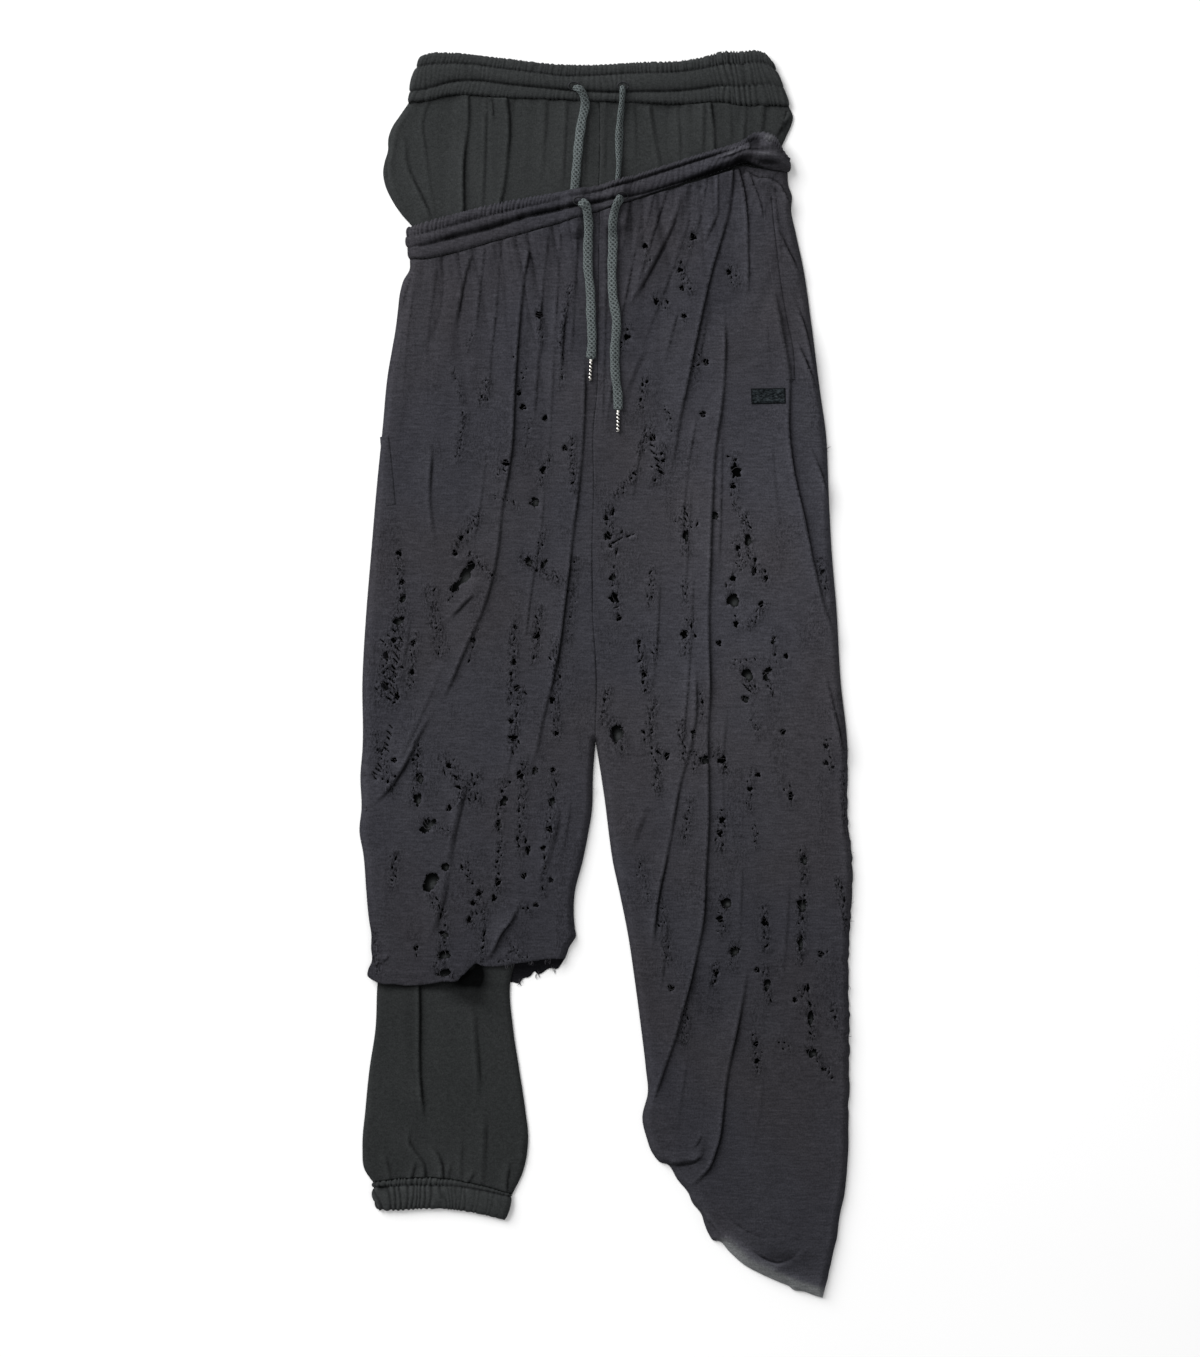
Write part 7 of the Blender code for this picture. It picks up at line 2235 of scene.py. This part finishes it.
def make_cords(looks, inner, outer, sewing):
    """The four drawcord ends, each with its tip."""
    def flat_lying(share):
        return 0.15 * np.sin(share * 7) + 0.25 * ease((0.10 - share) / 0.10)

    def edge_lying(share):
        return 0.85 - 0.35 * ease((share - 0.1) / 0.3) * ease((0.6 - share) / 0.2)

    def one_sided(share):
        return 0.35 * ease((0.25 - share) / 0.25) + 0.2 * np.sin(share * 9 + 1)

    for name, course, ground, turning in (
        ("under_cord_R", UNDER_CORD_R, inner, one_sided),
        ("under_cord_L", UNDER_CORD_L, inner, edge_lying),
        ("over_cord_R", OVER_CORD_R, outer, flat_lying),
        ("over_cord_L", OVER_CORD_L, outer, one_sided),
    ):
        line = cord_line(course, ground)
        cord, path = braided_cord(f"{name}_braid", line, turning, looks["cord"])
        way = path[-1, :2] - path[-4, :2]
        way /= np.linalg.norm(way)
        low = ground.heights([path[-1, :2] + way * along for along in TIP_RESTS], 0.0012).max()
        level = max(low + TIP / 2 + 0.0001, path[-1, 2] - TIP_SETS_IN)
        start = np.append(path[-1, :2] - way * TIP_SETS_IN, level)
        tip = spiral_tip(f"{name}_tip_metal", start, way, looks["tip"])
        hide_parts(name)
        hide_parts(name.replace("cord", "tip"))
        eyelet(sewing, *course[0], ground)


def make_trim(looks, outer):
    """The pocket mouths and the patch, sewn on the outer pair."""
    for name, course in (("over_pocket_R", POCKET_R), ("over_pocket_L", POCKET_L)):
        outline = strip_outline(course, POCKET_WIDTH)
        welt = applied(f"{name}_welt", outline, outer, 0.0003, 0.0004, 0.0016, looks["jersey"], 900)
        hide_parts(name)
        declare_strip(smooth_line(place(course), OUTLINE_STEP))
    sides = zip(PATCH, PATCH[1:] + PATCH[:1])
    patch_outline = joined(*[smooth_line(place(side), 0.001) for side in sides])
    patch = applied("over_patch_stitched", patch_outline, outer, 0.0005, 0.0003, 0.0006, looks["patch"], 901,
                    embroidery)
    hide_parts("over_patch")


def make_sewing(ground, sewing):
    """Every row of stitches that shows."""
    for stations, channels in ((UNDER_BAND, UNDER_BAND_CHANNELS), (OVER_BAND, OVER_BAND_CHANNELS),
                               (CUFF_R, CUFF_CHANNELS)):
        along = np.linspace(0, 1, SEWN_POINTS)
        top = band_points(stations, "top", SEWN_POINTS)
        bottom = band_points(stations, "bottom", SEWN_POINTS)
        for line in (*channels.lines, ((0.0, SEAM_SHARE), (1.0, SEAM_SHARE))):
            share = np.interp(along, *np.array(line).T)[:, None]
            stitch_row(sewing, top + share * (bottom - top), ground)
    for course in (POCKET_R, POCKET_L):
        line = smooth_line(place(course), 0.004)
        for aside in (POCKET_WIDTH / 2 - SEWN_IN, SEWN_IN - POCKET_WIDTH / 2):
            stitch_row(sewing, moved_aside(line, aside), ground)
        across = np.array([(-POCKET_WIDTH * 0.6, 0), (POCKET_WIDTH * 0.6, 0)])
        for end in (line[0], line[-1]):
            stitch_row(sewing, end + across, ground)
    for bar in POCKET_BARS:
        stitch_row(sewing, smooth_line(place(bar), 0.001), ground)
    stitch_row(sewing, moved_aside(band_edge(CUFF_R, "top"), CUFF_SEWN), ground)


# ---------------------------------------------------------------- the scene


# The camera's lens and film in millimetres, the level that it is set for, and the strength of the light
# from all round. The floor reaches this far each way.
LENS = 100
FILM = 36
CLOTH_LEVEL = 0.008
SURROUND = 0.46
FLOOR_REACH = 6.0


def make_camera():
    """The camera, straight above, as the photograph was taken."""
    data = bpy.data.cameras.new("camera")
    data.lens = LENS
    data.sensor_width = FILM
    camera = bpy.data.objects.new("camera", data)
    distance = LENS / FILM * PICTURE_HEIGHT * PIXEL
    camera.location = (*place([PICTURE_MIDDLE])[0], CLOTH_LEVEL + distance)
    bpy.context.collection.objects.link(camera)
    bpy.context.scene.camera = camera


def area_light(name, at, size, power):
    """A round soft light that faces the middle of the surface."""
    data = bpy.data.lights.new(name, "AREA")
    data.shape = "DISK"
    data.size = size
    data.energy = power
    lamp = bpy.data.objects.new(name, data)
    lamp.location = at
    lamp.rotation_euler = (-Vector(at)).to_track_quat("-Z", "Y").to_euler()
    bpy.context.collection.objects.link(lamp)


def make_studio():
    """The lights, the white surround and the floor."""
    world = bpy.data.worlds.new("studio")
    bpy.context.scene.world = world
    world.use_nodes = True
    background = world.node_tree.nodes["Background"]
    background.inputs["Color"].default_value = (1.0, 1.0, 1.0, 1)
    background.inputs["Strength"].default_value = SURROUND
    area_light("key", (-4.20, 4.20, 3.70), 5.0, 640)
    area_light("top", (0.3, 0.6, 5.0), 3.5, 36)
    bpy.context.scene.view_settings.view_transform = "Standard"
    graph = Graph("floor")
    tone = graph.spread(graph.noise(3), 0.3, 0.7, 0, 1)
    colour = graph.mix(tone, (0.905, 0.905, 0.905), (0.92, 0.92, 0.92))
    mesh = bpy.data.meshes.new("floor")
    corners = [(x * FLOOR_REACH, y * FLOOR_REACH, 0) for x, y in ((-1, -1), (1, -1), (1, 1), (-1, 1))]
    mesh.from_pydata(corners, [], [(0, 1, 2, 3)])
    mesh.materials.append(graph.finish(colour, 0.9, specular=0.05))
    floor = bpy.data.objects.new("floor", mesh)
    bpy.context.collection.objects.link(floor)


def main():
    """Builds the scene on the loaded frame."""
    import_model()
    make_camera()
    make_studio()
    looks = {
        "jersey": jersey_looks(),
        "fleece": fleece_looks(),
        "cord": cord_looks(),
        "tip": metal_looks(),
        "patch": patch_looks(),
    }
    front_r, front_l, holes_r, holes_l, outline_r, outline_l = make_over(looks)
    under_r, under_l = make_under(looks, outline_r, outline_l)
    under_band, over_band, cuff_r, _ = make_bands(looks)
    inner = Ground(under_r, under_l, under_band)
    outer = Ground(front_r, front_l, over_band)
    everything = Ground(under_r, under_l, under_band, front_r, front_l, over_band, cuff_r)
    sewing = Tubes()
    make_cords(looks, inner, outer, sewing)
    make_trim(looks, outer)
    make_sewing(everything, sewing)
    thread = thread_looks("sewing", (0.020, 0.021, 0.023), (0.034, 0.034, 0.037))
    stitched = sewing.piece("sewing", thread)
    frayed = Tubes(3)
    fronts = Ground(front_r, front_l)
    add_threads(frayed, holes_r, fronts, 41)
    add_threads(frayed, holes_l, fronts, 42)
    add_tufts(frayed, fronts)
    yarn = thread_looks("torn", (0.022, 0.021, 0.025), (0.056, 0.054, 0.060), 0.9)
    torn = frayed.piece("torn_threads", yarn)


main()
